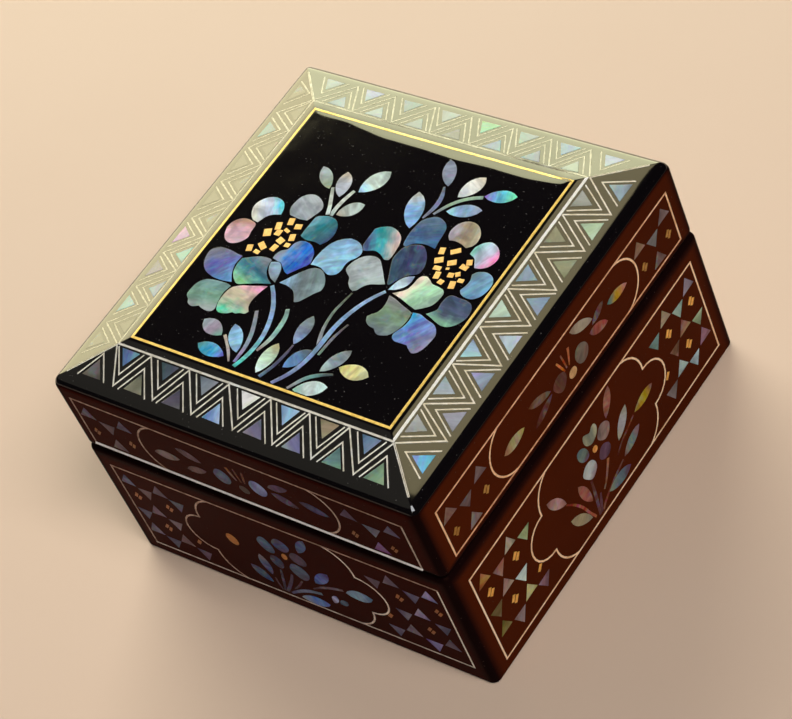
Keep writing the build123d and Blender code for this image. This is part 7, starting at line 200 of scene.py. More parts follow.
LID_R = (
    ("frame", 0, None, ((-44.83, 53.99), (45.23, 53.99), (45.23, 54.41), (-44.83, 54.41))),
    ("frame", 0, None, ((-44.83, 39.59), (45.13, 39.49), (45.13, 39.91), (-44.83, 40.01))),
    ("frame", 0, None, ((-44.83, 40.05), (-44.37, 40.05), (-44.37, 53.95), (-44.83, 53.95))),
    ("frame", 0, None, ((44.67, 39.95), (45.13, 39.95), (45.23, 53.95), (44.77, 53.95))),
    ("cartouche", 0, None, ((-22.07, 40.31), (-23.22, 40.82), (-24.27, 41.5), (-25.18, 42.33), (-25.93, 43.29), (-26.51, 44.36), (-26.89, 45.5), (-27.07, 46.68), (-27.04, 47.87), (-26.79, 49.04), (-26.35, 50.16), (-25.71, 51.2), (-24.91, 52.12), (-23.95, 52.91), (-22.87, 53.54), (-21.81, 53.95), (-23, 53.95), (-24.22, 53.26), (-25.23, 52.42), (-26.09, 51.44), (-26.76, 50.35), (-27.23, 49.16), (-27.49, 47.92), (-27.52, 46.65), (-27.34, 45.4), (-26.93, 44.19), (-26.32, 43.07), (-25.52, 42.05), (-24.56, 41.17), (-23.45, 40.45), (-22.5, 40.03), (-21, 40.02))),
    ("cartouche", 0, None, ((26.29, 40.55), (27.36, 41.34), (28.28, 42.29), (29.01, 43.37), (29.54, 44.55), (29.86, 45.8), (29.96, 47.07), (29.83, 48.35), (29.47, 49.58), (28.9, 50.74), (28.13, 51.79), (27.19, 52.71), (26.1, 53.46), (25.07, 53.95), (23.63, 53.95), (24.71, 53.64), (25.86, 53.1), (26.89, 52.38), (27.78, 51.52), (28.5, 50.52), (29.04, 49.43), (29.38, 48.27), (29.5, 47.06), (29.41, 45.86), (29.11, 44.68), (28.61, 43.57), (27.91, 42.55), (27.05, 41.66), (26.04, 40.91), (24.92, 40.33), (23.84, 39.97), (25.17, 39.97))),
    ("tri", 200, ("856a66", "7e635d", "6f5850"), ((-41.84, 52.49), (-44.22, 49.23), (-39.37, 49.19))),
    ("tri", 110, ("68585a", "756566", "796969"), ((-30.68, 52.34), (-32.94, 49.22), (-28.4, 49.15))),
    ("tri", 290, ("6b5e5c", "665656", "5c4d4e"), ((-34.2, 49.05), (-38.57, 48.95), (-36.26, 45.87))),
    ("tri", 155, ("736361", "7e6d6b", "907e7c"), ((-34, 40.91), (-36.4, 44.25), (-38.53, 40.77))),
    ("bar", 0, None, ((-40.63, 44.59), (-41.22, 45.12), (-42.5, 43.86), (-41.91, 43.34))),
    ("bar", 0, None, ((-41.29, 45.51), (-41.94, 45.96), (-43.02, 44.61), (-42.37, 44.16))),
    ("bar", 0, None, ((-29.46, 44.69), (-30.1, 45.16), (-31.24, 43.8), (-30.61, 43.33))),
    ("bar", 0, None, ((-30.04, 45.44), (-30.63, 45.95), (-31.85, 44.73), (-31.25, 44.21))),
    ("tri", 335, ("645759", "7a6b6d", "827376"), ((44.26, 49.26), (41.96, 52.43), (39.71, 49.22))),
    ("tri", 110, ("95746f", "836d5d", "6d564a"), ((34.31, 49.18), (32.17, 52.33), (29.82, 49.14))),
    ("tri", 110, ("676667", "757575", "7a7779"), ((39.26, 49.03), (34.79, 48.97), (37.09, 45.58))),
    ("tri", 200, ("5e4d4c", "6d5b5a", "756763"), ((37.04, 44.18), (34.58, 40.83), (39.23, 40.61))),
    ("bar", 0, None, ((43.08, 44.65), (42.45, 45.12), (41.28, 43.73), (41.91, 43.25))),
    ("bar", 0, None, ((42.45, 45.4), (41.83, 45.9), (40.7, 44.63), (41.32, 44.14))),
    ("bar", 0, None, ((33.28, 44.59), (32.66, 45.09), (31.48, 43.78), (32.1, 43.28))),
    ("bar", 0, None, ((32.65, 45.45), (32.01, 45.92), (30.9, 44.58), (31.54, 44.11))),
    ("gold", 0, None, ((3.23, 42.52), (3.67, 42.94), (3.88, 43.5), (3.82, 44.08), (3.49, 44.56), (2.97, 44.85), (2.36, 44.9), (1.77, 44.68), (1.33, 44.26), (1.12, 43.7), (1.18, 43.12), (1.51, 42.64), (2.03, 42.35), (2.64, 42.3))),
    ("petal", 10, ("745247", "593c35", "5f3f3b"), ((-1.41, 42.67), (-0.93, 42.93), (-0.5, 43.3), (-0.19, 43.66), (0.11, 44.09), (0.36, 44.56), (0.5, 45), (0.53, 45.43), (0.47, 45.86), (0.32, 46.27), (0.1, 46.6), (-0.24, 46.86), (-0.68, 47.08), (-1.15, 47.22), (-1.6, 47.3), (-2.02, 47.3), (-2.44, 47.22), (-2.84, 47.09), (-3.2, 46.9), (-3.56, 46.65), (-3.91, 46.35), (-4.18, 46), (-4.3, 45.6), (-4.26, 45.23), (-4.11, 44.8), (-3.9, 44.36), (-3.4, 43.6), (-3.06, 43.24), (-2.68, 42.93), (-2.28, 42.71), (-1.9, 42.6))),
    ("petal", -30, ("665e53", "706860", "7a655d"), ((6.93, 42.71), (7.39, 42.82), (7.83, 43.02), (8.2, 43.3), (8.46, 43.6), (8.69, 43.98), (8.89, 44.39), (9.04, 44.81), (9.1, 45.2), (9.06, 45.66), (8.91, 46.11), (8.68, 46.54), (8.4, 46.9), (8.06, 47.21), (7.66, 47.49), (7.22, 47.69), (6.8, 47.8), (6.38, 47.8), (5.95, 47.71), (5.54, 47.54), (5.2, 47.3), (4.91, 46.97), (4.66, 46.54), (4.48, 46.07), (4.4, 45.6), (4.42, 45.2), (4.5, 44.77), (4.8, 43.93), (5, 43.6), (5.31, 43.26), (5.68, 42.99), (6.09, 42.79), (6.5, 42.7))),
    ("leaf", 1, ("94755f", "afa881", "aca870"), ((-18.09, 45), (-17.12, 45.28), (-16.16, 45.69), (-15.2, 46.4), (-16.19, 47.06), (-17.18, 47.42), (-18.16, 47.65), (-19.14, 47.75), (-20.11, 47.69), (-21.08, 47.45), (-22.05, 47.02), (-23, 46.2), (-22, 45.43), (-21.02, 45.05), (-20.04, 44.86), (-19.06, 44.85))),
    ("leaf", -21, ("5a382d", "755a4f", "5a3834"), ((-5.04, 46.2), (-5.03, 46.23), (-5.74, 47.04), (-6.56, 47.66), (-7.42, 48.19), (-8.31, 48.63), (-9.25, 48.95), (-10.23, 49.15), (-11.26, 49.21), (-12.4, 49), (-11.69, 48.09), (-10.87, 47.45), (-10, 46.95), (-9.09, 46.57), (-8.13, 46.31), (-7.14, 46.14), (-6.11, 46.06))),
    ("leaf", 19, ("5a312a", "5a3837", "5a3834"), ((-10.41, 42.56), (-9.4, 42.75), (-8.43, 43.05), (-7.49, 43.46), (-6.59, 43.95), (-5.71, 44.53), (-4.93, 45.27), (-4.95, 45.3), (-6.01, 45.42), (-7.06, 45.35), (-8.08, 45.19), (-9.07, 44.95), (-10.02, 44.6), (-10.94, 44.14), (-11.81, 43.54), (-12.57, 42.73), (-12.56, 42.69), (-11.46, 42.51))),
    ("leaf", -27, ("908374", "aca595", "978d84"), ((12.9, 49.2), (12.27, 50.24), (11.51, 51.04), (10.69, 51.73), (9.82, 52.3), (8.88, 52.75), (7.86, 53.05), (6.76, 53.18), (5.5, 53), (6.09, 51.87), (6.84, 51.05), (7.67, 50.4), (8.58, 49.9), (9.56, 49.52), (10.59, 49.26), (11.68, 49.11))),
    ("leaf", -24, ("7c504b", "8d5a55", "976159"), ((16.8, 44.2), (16.28, 45.12), (15.65, 45.79), (14.97, 46.35), (14.24, 46.79), (13.45, 47.09), (12.6, 47.25), (11.67, 47.24), (10.6, 46.9), (11.08, 45.88), (11.7, 45.2), (12.4, 44.68), (13.16, 44.31), (13.98, 44.08), (14.85, 43.96), (15.77, 43.95))),
    ("leaf", -158, ("5a3f37", "684541", "68424f"), ((13.76, 47.77), (14.48, 47.88), (15.16, 48.07), (15.8, 48.35), (16.39, 48.74), (16.95, 49.25), (17.4, 50), (16.55, 50.22), (15.81, 50.21), (15.1, 50.07), (14.44, 49.83), (13.82, 49.5), (13.24, 49.08), (12.68, 48.58), (12.2, 47.9), (13.02, 47.75))),
    ("leaf", -8, ("5d8684", "af9455", "af7977"), ((23.61, 46.02), (24.58, 46.23), (25.6, 46.7), (24.77, 47.45), (23.89, 47.93), (23, 48.29), (22.09, 48.54), (21.16, 48.64), (20.21, 48.59), (19.23, 48.37), (18.2, 47.8), (19.02, 46.96), (19.89, 46.46), (20.79, 46.13), (21.71, 45.96), (22.65, 45.93))),
    ("stem", -69, ("c08464", "c88c6c", "a46c50"), ((0.79, 46.27), (0.34, 47.71), (-0.19, 49.08), (-0.77, 50.39), (-1.23, 50.21), (-0.2, 47.5), (0.41, 46.13))),
    ("stem", -84, ("8c5844", "945c48", "84503c"), ((1.6, 46.42), (1.52, 47.97), (1.35, 49.45), (1.1, 50.83), (0.7, 50.77), (1.2, 46.38))),
    ("stem", -108, ("ac745c", "b47c60", "94604c"), ((3.04, 47.53), (3.99, 50.29), (3.21, 50.51), (2.91, 49.08), (2.11, 46.37), (2.49, 46.23))),
)
BEVEL_R = (
    ("pearl", 0, None, ((-37.14, -1.6), (37.14, -1.6), (37.6, -2.07), (-37.6, -2.07))),
    ("mitre", 0, None, ((-37.28, -2.11), (-37.58, -2.11), (-46.57, -11.41), (-46.24, -11.41))),
    ("mitre", 0, None, ((37.58, -2.11), (37.28, -2.11), (46.24, -11.41), (46.57, -11.41))),
    ("zigzag", 0, None, ((-5.7, -2.48), (-0.3, -11.24), (5.02, -2.51), (9.72, -11.24), (15.48, -2.48), (20.94, -11.23), (26.5, -2.49), (31.5, -11.23), (37.57, -2.44), (37.31, -2.18), (31.53, -10.55), (26.7, -2.12), (26.31, -2.12), (20.94, -10.55), (15.68, -2.12), (15.28, -2.12), (9.75, -10.54), (5.22, -2.12), (4.83, -2.12), (-0.3, -10.55), (-5.49, -2.12), (-5.89, -2.12), (-11.43, -10.54), (-15.85, -2.12), (-16.24, -2.12), (-21.66, -10.55), (-26.77, -2.12), (-27.16, -2.12), (-31.93, -10.54), (-37.32, -2.18), (-37.57, -2.45), (-31.91, -11.24), (-26.96, -2.5), (-21.67, -11.23), (-16.05, -2.5), (-11.47, -11.24))),
    ("chevron", 0, None, ((-34.19, -11.26), (-38.2, -4.88), (-42.01, -10.95), (-41.74, -11.12), (-38.2, -5.48), (-34.47, -11.43))),
    ("chevron", 0, None, ((-23.05, -10.88), (-26.9, -4.75), (-30.75, -10.88), (-30.48, -11.05), (-26.9, -5.35), (-23.32, -11.05))),
    ("chevron", 0, None, ((-16.1, -5.48), (-12.39, -11.39), (-12.12, -11.22), (-16.1, -4.88), (-20.09, -11.23), (-19.81, -11.4))),
    ("chevron", 0, None, ((-5.8, -5.66), (-2.19, -11.41), (-1.92, -11.24), (-5.8, -5.06), (-9.7, -11.27), (-9.43, -11.44))),
    ("chevron", 0, None, ((9.12, -11.25), (5.1, -4.85), (1.28, -10.93), (1.55, -11.1), (5.1, -5.45), (8.85, -11.42))),
    ("chevron", 0, None, ((19.31, -11.13), (15.5, -5.06), (11.85, -10.87), (12.13, -11.04), (15.5, -5.67), (19.04, -11.3))),
    ("chevron", 0, None, ((26.4, -5.48), (29.97, -11.17), (30.24, -11), (26.4, -4.87), (22.55, -11.01), (22.82, -11.18))),
    ("chevron", 0, None, ((41.6, -10.97), (37.7, -4.77), (33.87, -10.86), (34.15, -11.03), (37.7, -5.37), (41.33, -11.14))),
    ("chevron", 0, None, ((-28.16, -2.47), (-28.43, -2.3), (-32, -7.99), (-35.57, -2.3), (-35.84, -2.47), (-32, -8.59))),
    ("chevron", 0, None, ((-17.6, -2.47), (-17.87, -2.3), (-21.6, -8.24), (-25.33, -2.3), (-25.6, -2.47), (-21.6, -8.84))),
    ("chevron", 0, None, ((-7.62, -2.47), (-7.89, -2.3), (-11.4, -7.89), (-14.91, -2.3), (-15.18, -2.47), (-11.4, -8.49))),
    ("chevron", 0, None, ((3.7, -2.47), (3.43, -2.3), (-0.3, -8.24), (-4.03, -2.3), (-4.3, -2.47), (-0.3, -8.84))),
    ("chevron", 0, None, ((13.6, -2.47), (13.33, -2.3), (9.8, -7.93), (6.27, -2.3), (6, -2.47), (9.8, -8.53))),
    ("chevron", 0, None, ((24.74, -2.47), (24.47, -2.3), (20.9, -7.99), (17.33, -2.3), (17.06, -2.47), (20.9, -8.59))),
    ("chevron", 0, None, ((35.56, -2.47), (35.29, -2.3), (31.6, -8.18), (27.91, -2.3), (27.64, -2.47), (31.6, -8.78))),
    ("tri_o", 290, ("9bb5fa", "84c8f0", "6bb1d3"), ((-38.25, -6.72), (-40.7, -10.78), (-35.74, -10.78))),
    ("tri_o", 200, ("9e9fb7", "969cb2", "777c90"), ((-24.18, -10.71), (-26.94, -6.68), (-29.59, -10.76))),
    ("tri_o", 65, ("6f7e99", "8c9eba", "a6a9d2"), ((-15.93, -6.51), (-18.62, -10.71), (-13.64, -10.71))),
    ("tri_o", 290, ("aebdd4", "c0d6e6", "dbe3ff"), ((-3.25, -10.75), (-5.62, -6.62), (-8.33, -10.85))),
    ("tri_o", 20, ("9ba8cb", "8ca6c2", "7d95b4"), ((7.64, -10.75), (4.9, -6.67), (2.43, -10.82))),
    ("tri_o", 200, ("879380", "808672", "707662"), ((18.23, -10.71), (15.39, -6.58), (13.02, -10.81))),
    ("tri_o", 65, ("c2dbca", "b8d4ba", "9cb7a6"), ((28.97, -10.75), (26.37, -6.58), (23.94, -10.86))),
    ("tri_o", 110, ("76899e", "92a8be", "abcbd5"), ((37.83, -6.67), (35.23, -10.73), (40.39, -10.83))),
    ("tri_i", 200, ("adb2b9", "989ea4", "8c9098"), ((-29.59, -2.47), (-34.42, -2.47), (-31.89, -6.25))),
    ("tri_i", 20, ("aab9c8", "a0b2c2", "869ba6"), ((-19.21, -2.44), (-24.12, -2.52), (-21.79, -6.4))),
    ("tri_i", 20, ("b4e4e9", "a6c6e2", "8697bd"), ((-8.86, -2.54), (-13.89, -2.54), (-11.49, -6.25))),
    ("tri_i", 245, ("d0e7db", "c0dacc", "aec8c0"), ((2.2, -2.48), (-2.85, -2.49), (-0.41, -6.35))),
    ("tri_i", 290, ("7790a7", "8ca2be", "9cb7c9"), ((12.31, -2.53), (7.38, -2.51), (9.87, -6.26))),
    ("tri_i", 110, ("919684", "8a8c78", "797666"), ((23.37, -2.48), (18.53, -2.47), (21, -6.29))),
    ("tri_i", 20, ("848a88", "989e9e", "a7abac"), ((33.97, -2.53), (29.09, -2.46), (31.63, -6.32))),
)
BASE_F = (
    ("frame", 0, None, ((-45.33, 31.57), (45.93, 32.18), (45.93, 32.62), (-45.33, 32.02))),
    ("frame", 0, None, ((-45.33, 2.87), (45.73, 4.19), (45.73, 4.62), (-45.33, 3.32))),
    ("frame", 0, None, ((-45.33, 3.36), (-44.87, 3.37), (-44.87, 31.54), (-45.33, 31.54))),
    ("frame", 0, None, ((45.27, 4.65), (45.73, 4.66), (45.93, 32.15), (45.47, 32.14))),
    ("cartouche", 0, None, ((-18.55, 4.32), (-19.75, 5.16), (-20.77, 6.19), (-21.59, 7.38), (-22.17, 8.7), (-22.49, 10.1), (-22.56, 11.74), (-24.33, 11.97), (-25.78, 12.55), (-27.01, 13.47), (-27.96, 14.67), (-28.55, 16.07), (-28.75, 17.57), (-28.55, 19.08), (-27.95, 20.49), (-27, 21.71), (-25.76, 22.66), (-24.32, 23.27), (-22.53, 23.54), (-22.54, 25.24), (-22.23, 26.7), (-21.64, 28.08), (-20.78, 29.32), (-19.69, 30.37), (-18.4, 31.2), (-17.09, 31.72), (-18.31, 31.72), (-18.62, 31.6), (-19.98, 30.72), (-21.14, 29.6), (-22.05, 28.29), (-22.68, 26.83), (-23, 25.28), (-23, 23.92), (-24.44, 23.7), (-26, 23.04), (-27.33, 22.02), (-28.35, 20.71), (-28.99, 19.19), (-29.21, 17.57), (-29, 15.95), (-28.36, 14.44), (-27.34, 13.15), (-26.01, 12.16), (-24.46, 11.54), (-23.01, 11.35), (-22.95, 10.03), (-22.61, 8.56), (-21.99, 7.16), (-21.14, 5.91), (-20.06, 4.82), (-18.79, 3.94), (-18.37, 3.74), (-17.33, 3.76))),
    ("cartouche", 0, None, ((17.75, 4.97), (18.88, 5.93), (19.8, 7.06), (20.49, 8.33), (20.92, 9.7), (21.05, 10.93), (22.59, 11.22), (24.19, 11.94), (25.56, 13.03), (26.61, 14.4), (27.28, 15.97), (27.51, 17.64), (27.3, 19.3), (26.65, 20.86), (25.61, 22.21), (24.25, 23.26), (22.65, 23.95), (21.13, 24.2), (21.09, 25.59), (20.73, 27.14), (20.07, 28.58), (19.12, 29.88), (17.93, 30.97), (16.54, 31.83), (16.22, 31.95), (14.99, 31.94), (16.32, 31.43), (17.64, 30.62), (18.77, 29.59), (19.66, 28.36), (20.29, 26.99), (20.63, 25.53), (20.68, 23.83), (22.51, 23.53), (24, 22.88), (25.28, 21.9), (26.24, 20.64), (26.85, 19.19), (27.04, 17.63), (26.83, 16.07), (26.21, 14.61), (25.23, 13.33), (23.95, 12.32), (22.45, 11.64), (20.63, 11.3), (20.46, 9.78), (20.06, 8.49), (19.41, 7.29), (18.54, 6.22), (17.48, 5.33), (16.27, 4.64), (15.08, 4.22), (16.46, 4.24))),
    ("tri", 290, ("494569", "585578", "666583"), ((-42.23, 29.89), (-44.56, 26.39), (-40.26, 26.22))),
    ("tri", 65, ("605569", "604f63", "574457"), ((-33.04, 29.93), (-35.28, 26.37), (-30.85, 26.34))),
    ("tri", 200, ("705e69", "6f5a65", "635059"), ((-35.74, 26.24), (-40.02, 25.92), (-37.67, 22.49))),
    ("tri", 290, ("454f5e", "555970", "645a7d"), ((-26.32, 26.14), (-30.62, 26.16), (-28.5, 22.5))),
    ("tri", 20, ("574357", "675269", "6e586c"), ((-35.49, 17.12), (-37.89, 20.6), (-39.94, 16.89))),
    ("tri", 290, ("464461", "514f6c", "5e5d76"), ((-40.15, 16.72), (-44.49, 16.78), (-42.56, 13.12))),
    ("tri", 335, ("6e6070", "7a6978", "826f7d"), ((-30.98, 16.91), (-35.15, 16.77), (-33.08, 13.37))),
    ("tri", 155, ("746885", "635a77", "524560"), ((-40.15, 8.19), (-42.44, 11.9), (-44.58, 8.1))),
    ("tri", 110, ("725a60", "6f5560", "5d4653"), ((-30.85, 8.4), (-33.13, 11.97), (-35.26, 8.31))),
    ("tri", 290, ("4e4562", "5a556e", "636474"), ((-35.47, 8.07), (-39.98, 8.07), (-37.78, 4.5))),
    ("tri", 290, ("55445b", "67526a", "7a5d74"), ((-26.3, 8.1), (-30.61, 8.25), (-28.57, 4.46))),
    ("bar", 0, None, ((-40.38, 22.28), (-41, 22.7), (-42.12, 21.15), (-41.5, 20.73))),
    ("bar", 0, None, ((-41.16, 23.17), (-41.82, 23.53), (-42.81, 21.84), (-42.15, 21.48))),
    ("bar", 0, None, ((-31.06, 22.28), (-31.69, 22.7), (-32.8, 21.13), (-32.18, 20.72))),
    ("bar", 0, None, ((-31.87, 23.08), (-32.52, 23.45), (-33.45, 21.92), (-32.8, 21.55))),
    ("bar", 0, None, ((-35.78, 12.94), (-36.45, 13.29), (-37.42, 11.58), (-36.76, 11.23))),
    ("bar", 0, None, ((-36.47, 13.64), (-37.1, 14.05), (-38.23, 12.43), (-37.6, 12.02))),
    ("bar", 0, None, ((-27.46, 12.06), (-28.26, 12.55), (-29.29, 11), (-28.5, 10.51))),
    ("tri", 335, ("b6aedd", "9d93c9", "7b74a2"), ((42.05, 30.43), (39.74, 27.03), (44.02, 26.85))),
    ("tri", 335, ("7d697e", "6f6178", "5e5569"), ((33.89, 27), (31.55, 30.4), (29.44, 26.7))),
    ("tri", 200, ("75708d", "635f7f", "55496e"), ((39.03, 26.56), (34.59, 26.67), (36.69, 22.97))),
    ("tri", 200, ("5e495c", "655265", "756073"), ((28.67, 26.6), (24.37, 26.59), (26.63, 23.06))),
    ("tri", 155, ("85759d", "a393be", "baa6d0"), ((38.84, 17.84), (36.73, 21.27), (34.49, 17.78))),
    ("tri", 155, ("53526b", "605a78", "6d5e7e"), ((44.05, 17.74), (39.79, 17.49), (41.92, 14.24))),
    ("tri", 155, ("817c90", "6d637e", "585369"), ((33.73, 17.45), (29.36, 17.57), (31.43, 13.98))),
    ("tri", 65, ("736074", "63556a", "514458"), ((41.9, 12.76), (39.56, 9.39), (43.92, 9.23))),
    ("tri", 155, ("8b798b", "76687a", "6a596b"), ((31.63, 12.7), (29.22, 9.23), (33.66, 9.06))),
    ("tri", 200, ("9b89c1", "8b86bb", "73649f"), ((38.94, 9.14), (34.27, 8.9), (36.72, 5.38))),
    ("tri", 20, ("5a5971", "675f7e", "716d84"), ((28.68, 8.84), (24.35, 8.97), (26.29, 5.31))),
    ("bar", 0, None, ((43.95, 23.06), (43.33, 23.47), (42.19, 21.95), (42.81, 21.53))),
    ("bar", 0, None, ((43.2, 23.83), (42.58, 24.22), (41.55, 22.78), (42.17, 22.38))),
    ("bar", 0, None, ((33.64, 22.88), (33.02, 23.29), (31.87, 21.74), (32.49, 21.33))),
    ("bar", 0, None, ((32.83, 23.72), (32.17, 24.07), (31.22, 22.44), (31.88, 22.1))),
    ("bar", 0, None, ((38.65, 13.65), (38.02, 14.05), (36.98, 12.58), (37.61, 12.19))),
    ("bar", 0, None, ((37.95, 14.46), (37.32, 14.86), (36.26, 13.35), (36.89, 12.95))),
    ("bar", 0, None, ((27.31, 13.6), (26.54, 14.08), (26.11, 13.52), (25.39, 12.49), (26.18, 12))),
    ("gold", 0, None, ((0.24, 19.6), (0.62, 19.9), (0.93, 20.36), (1.08, 20.89), (1.07, 21.37), (0.88, 21.73), (0.55, 21.88), (0.16, 21.8), (-0.22, 21.5), (-0.53, 21.04), (-0.68, 20.51), (-0.67, 20.03), (-0.48, 19.67), (-0.15, 19.52))),
    ("gold", 0, None, ((-14.35, 17.51), (-13.83, 18.05), (-13.58, 18.83), (-13.65, 19.71), (-14.03, 20.51), (-14.64, 21.07), (-15.36, 21.28), (-16.05, 21.09), (-16.57, 20.55), (-16.82, 19.77), (-16.75, 18.89), (-16.37, 18.09), (-15.76, 17.53), (-15.04, 17.32))),
    ("petal", -70, ("5e7494", "52688a", "39456d"), ((-3.49, 20.16), (-3.06, 20.33), (-2.68, 20.59), (-2.4, 20.9), (-2.24, 21.27), (-2.16, 21.73), (-2.16, 22.21), (-2.27, 23.1), (-2.54, 23.96), (-2.9, 24.7), (-3.26, 25.17), (-3.67, 25.52), (-4.1, 25.7), (-4.54, 25.66), (-4.99, 25.45), (-5.4, 25.1), (-5.91, 24.49), (-6.15, 24.11), (-6.33, 23.71), (-6.4, 23.3), (-6.35, 22.85), (-6.21, 22.35), (-6, 21.84), (-5.76, 21.38), (-5.5, 21), (-5.15, 20.64), (-4.74, 20.36), (-4.31, 20.17), (-3.9, 20.1))),
    ("petal", -60, ("524f6a", "455282", "52456a"), ((1, 22.76), (1.42, 22.91), (1.84, 23.13), (2.2, 23.4), (2.53, 23.74), (2.84, 24.14), (3.08, 24.58), (3.2, 25), (3.17, 25.42), (3.01, 25.85), (2.78, 26.26), (2.5, 26.6), (2.16, 26.89), (1.75, 27.14), (1.31, 27.32), (0.9, 27.4), (0.51, 27.36), (0.11, 27.21), (-0.26, 26.99), (-0.6, 26.7), (-1.12, 26.05), (-1.35, 25.66), (-1.52, 25.26), (-1.6, 24.9), (-1.54, 24.46), (-1.35, 24.03), (-1.08, 23.62), (-0.8, 23.3), (-0.39, 22.98), (0.1, 22.77), (0.6, 22.7))),
    ("petal", -30, ("4c3c51", "52425f", "392c46"), ((5.11, 19.67), (5.5, 19.8), (5.85, 20.03), (6.18, 20.34), (6.44, 20.71), (6.6, 21.1), (6.65, 21.53), (6.61, 22.01), (6.49, 22.49), (6.3, 22.9), (6.01, 23.26), (5.63, 23.59), (5.21, 23.85), (4.8, 24), (4.4, 24.04), (3.98, 23.98), (3.57, 23.83), (3.2, 23.6), (2.86, 23.26), (2.53, 22.81), (2.26, 22.33), (2.1, 21.9), (2.06, 21.39), (2.17, 20.91), (2.4, 20.5), (2.67, 20.24), (3.01, 20.01), (3.4, 19.82), (3.8, 19.7), (4.22, 19.63), (4.67, 19.62))),
    ("petal", -60, ("52557b", "586882", "524566"), ((3.01, 13.35), (3.44, 13.52), (3.84, 13.78), (4.2, 14.1), (4.72, 14.78), (4.94, 15.19), (5.11, 15.6), (5.2, 16), (5.21, 16.49), (5.12, 17), (4.94, 17.48), (4.7, 17.9), (4.36, 18.26), (3.92, 18.59), (3.45, 18.84), (3, 19), (2.56, 19.06), (2.12, 19.03), (1.69, 18.91), (1.3, 18.7), (1.01, 18.43), (0.73, 18.06), (0.26, 17.25), (0.1, 16.9), (-0.02, 16.46), (-0.01, 16.09), (0.1, 15.7), (0.45, 14.99), (0.7, 14.63), (1, 14.3), (1.76, 13.66), (2.18, 13.41), (2.6, 13.3))),
    ("petal", -40, ("392c42", "323c5f", "392c49"), ((-2.76, 14.86), (-2.33, 15.23), (-2, 15.7), (-1.85, 16.05), (-1.62, 16.9), (-1.58, 17.32), (-1.6, 17.7), (-1.74, 18.13), (-1.97, 18.52), (-2.28, 18.86), (-2.6, 19.1), (-2.97, 19.24), (-3.4, 19.3), (-3.83, 19.26), (-4.2, 19.1), (-4.46, 18.86), (-4.72, 18.51), (-4.94, 18.11), (-5.11, 17.69), (-5.2, 17.3), (-5.18, 16.83), (-5.05, 16.34), (-4.84, 15.88), (-4.6, 15.5), (-4.3, 15.19), (-3.94, 14.92), (-3.55, 14.75), (-3.2, 14.7))),
    ("leaf", -122, ("595b83", "596c9e", "444a77"), ((6.78, 25.45), (7.54, 26.04), (8.2, 26.68), (8.76, 27.39), (9.21, 28.17), (9.53, 29.03), (9.71, 29.98), (9.6, 31.1), (8.54, 30.7), (7.77, 30.12), (7.14, 29.46), (6.64, 28.71), (6.25, 27.89), (5.96, 27.01), (5.77, 26.07), (5.8, 25))),
    ("leaf", -133, ("594d87", "7485c5", "596ca6"), ((7.4, 14.38), (8.38, 14.87), (9.27, 15.44), (10.06, 16.11), (10.73, 16.89), (11.28, 17.78), (11.68, 18.81), (11.8, 20.1), (10.52, 19.89), (9.52, 19.42), (8.67, 18.81), (7.94, 18.09), (7.33, 17.26), (6.82, 16.33), (6.4, 15.32), (6.2, 14.1))),
    ("leaf", -168, ("748fb5", "99b8d8", "8199b1"), ((19.37, 14.29), (20.36, 14.55), (21.31, 15.02), (22.21, 15.72), (23, 16.9), (21.79, 17.65), (20.69, 17.93), (19.64, 17.98), (18.63, 17.81), (17.66, 17.45), (16.72, 16.93), (15.82, 16.24), (15, 15.2), (16.18, 14.58), (17.28, 14.32), (18.34, 14.22))),
    ("leaf", -117, ("888fc8", "c4c6eb", "9f96b5"), ((9.79, 8.62), (10.22, 8.92), (10.57, 9.26), (10.85, 9.64), (11.04, 10.06), (11.14, 10.53), (11.13, 11.06), (10.9, 11.7), (10.25, 11.51), (9.81, 11.22), (9.48, 10.86), (9.25, 10.46), (9.1, 10.02), (9.03, 9.53), (9.03, 9.01), (9.2, 8.4))),
    ("leaf", -142, ("445168", "596c83", "3e4a60"), ((12.28, 8.94), (12.71, 9.06), (13.08, 9.25), (13.39, 9.52), (13.63, 9.88), (13.79, 10.34), (13.8, 11), (13.16, 11.16), (12.67, 11.12), (12.26, 10.98), (11.92, 10.75), (11.64, 10.44), (11.42, 10.06), (11.25, 9.61), (11.2, 9), (11.8, 8.89))),
    ("leaf", -170, ("7e8fd8", "88a7e3", "a6b5c8"), ((3.3, 4.14), (4.31, 4.35), (5.36, 4.78), (6.37, 5.42), (7.3, 6.5), (6.06, 7.2), (4.89, 7.47), (3.76, 7.52), (2.67, 7.38), (1.61, 7.05), (0.57, 6.58), (-0.45, 5.96), (-1.4, 5), (-0.18, 4.42), (0.98, 4.17), (1.64, 4.11))),
    ("leaf", -84, ("817783", "59698e", "3e4377"), ((-7.04, 11.08), (-6.77, 12.04), (-6.62, 12.98), (-6.61, 13.9), (-6.74, 14.81), (-7.05, 15.7), (-7.54, 16.57), (-8.4, 17.4), (-9.06, 16.4), (-9.35, 15.45), (-9.46, 14.51), (-9.39, 13.6), (-9.18, 12.7), (-8.83, 11.81), (-8.36, 10.94), (-7.6, 10.1))),
    ("leaf", -43, ("4b4664", "445877", "3e5b87"), ((-8.8, 6.7), (-8.84, 7.84), (-9.12, 8.72), (-9.5, 9.49), (-9.99, 10.14), (-10.6, 10.66), (-11.36, 11.03), (-12.28, 11.23), (-13.5, 11.1), (-13.55, 9.87), (-13.29, 8.97), (-12.87, 8.24), (-12.31, 7.66), (-11.63, 7.21), (-10.83, 6.88), (-9.94, 6.66))),
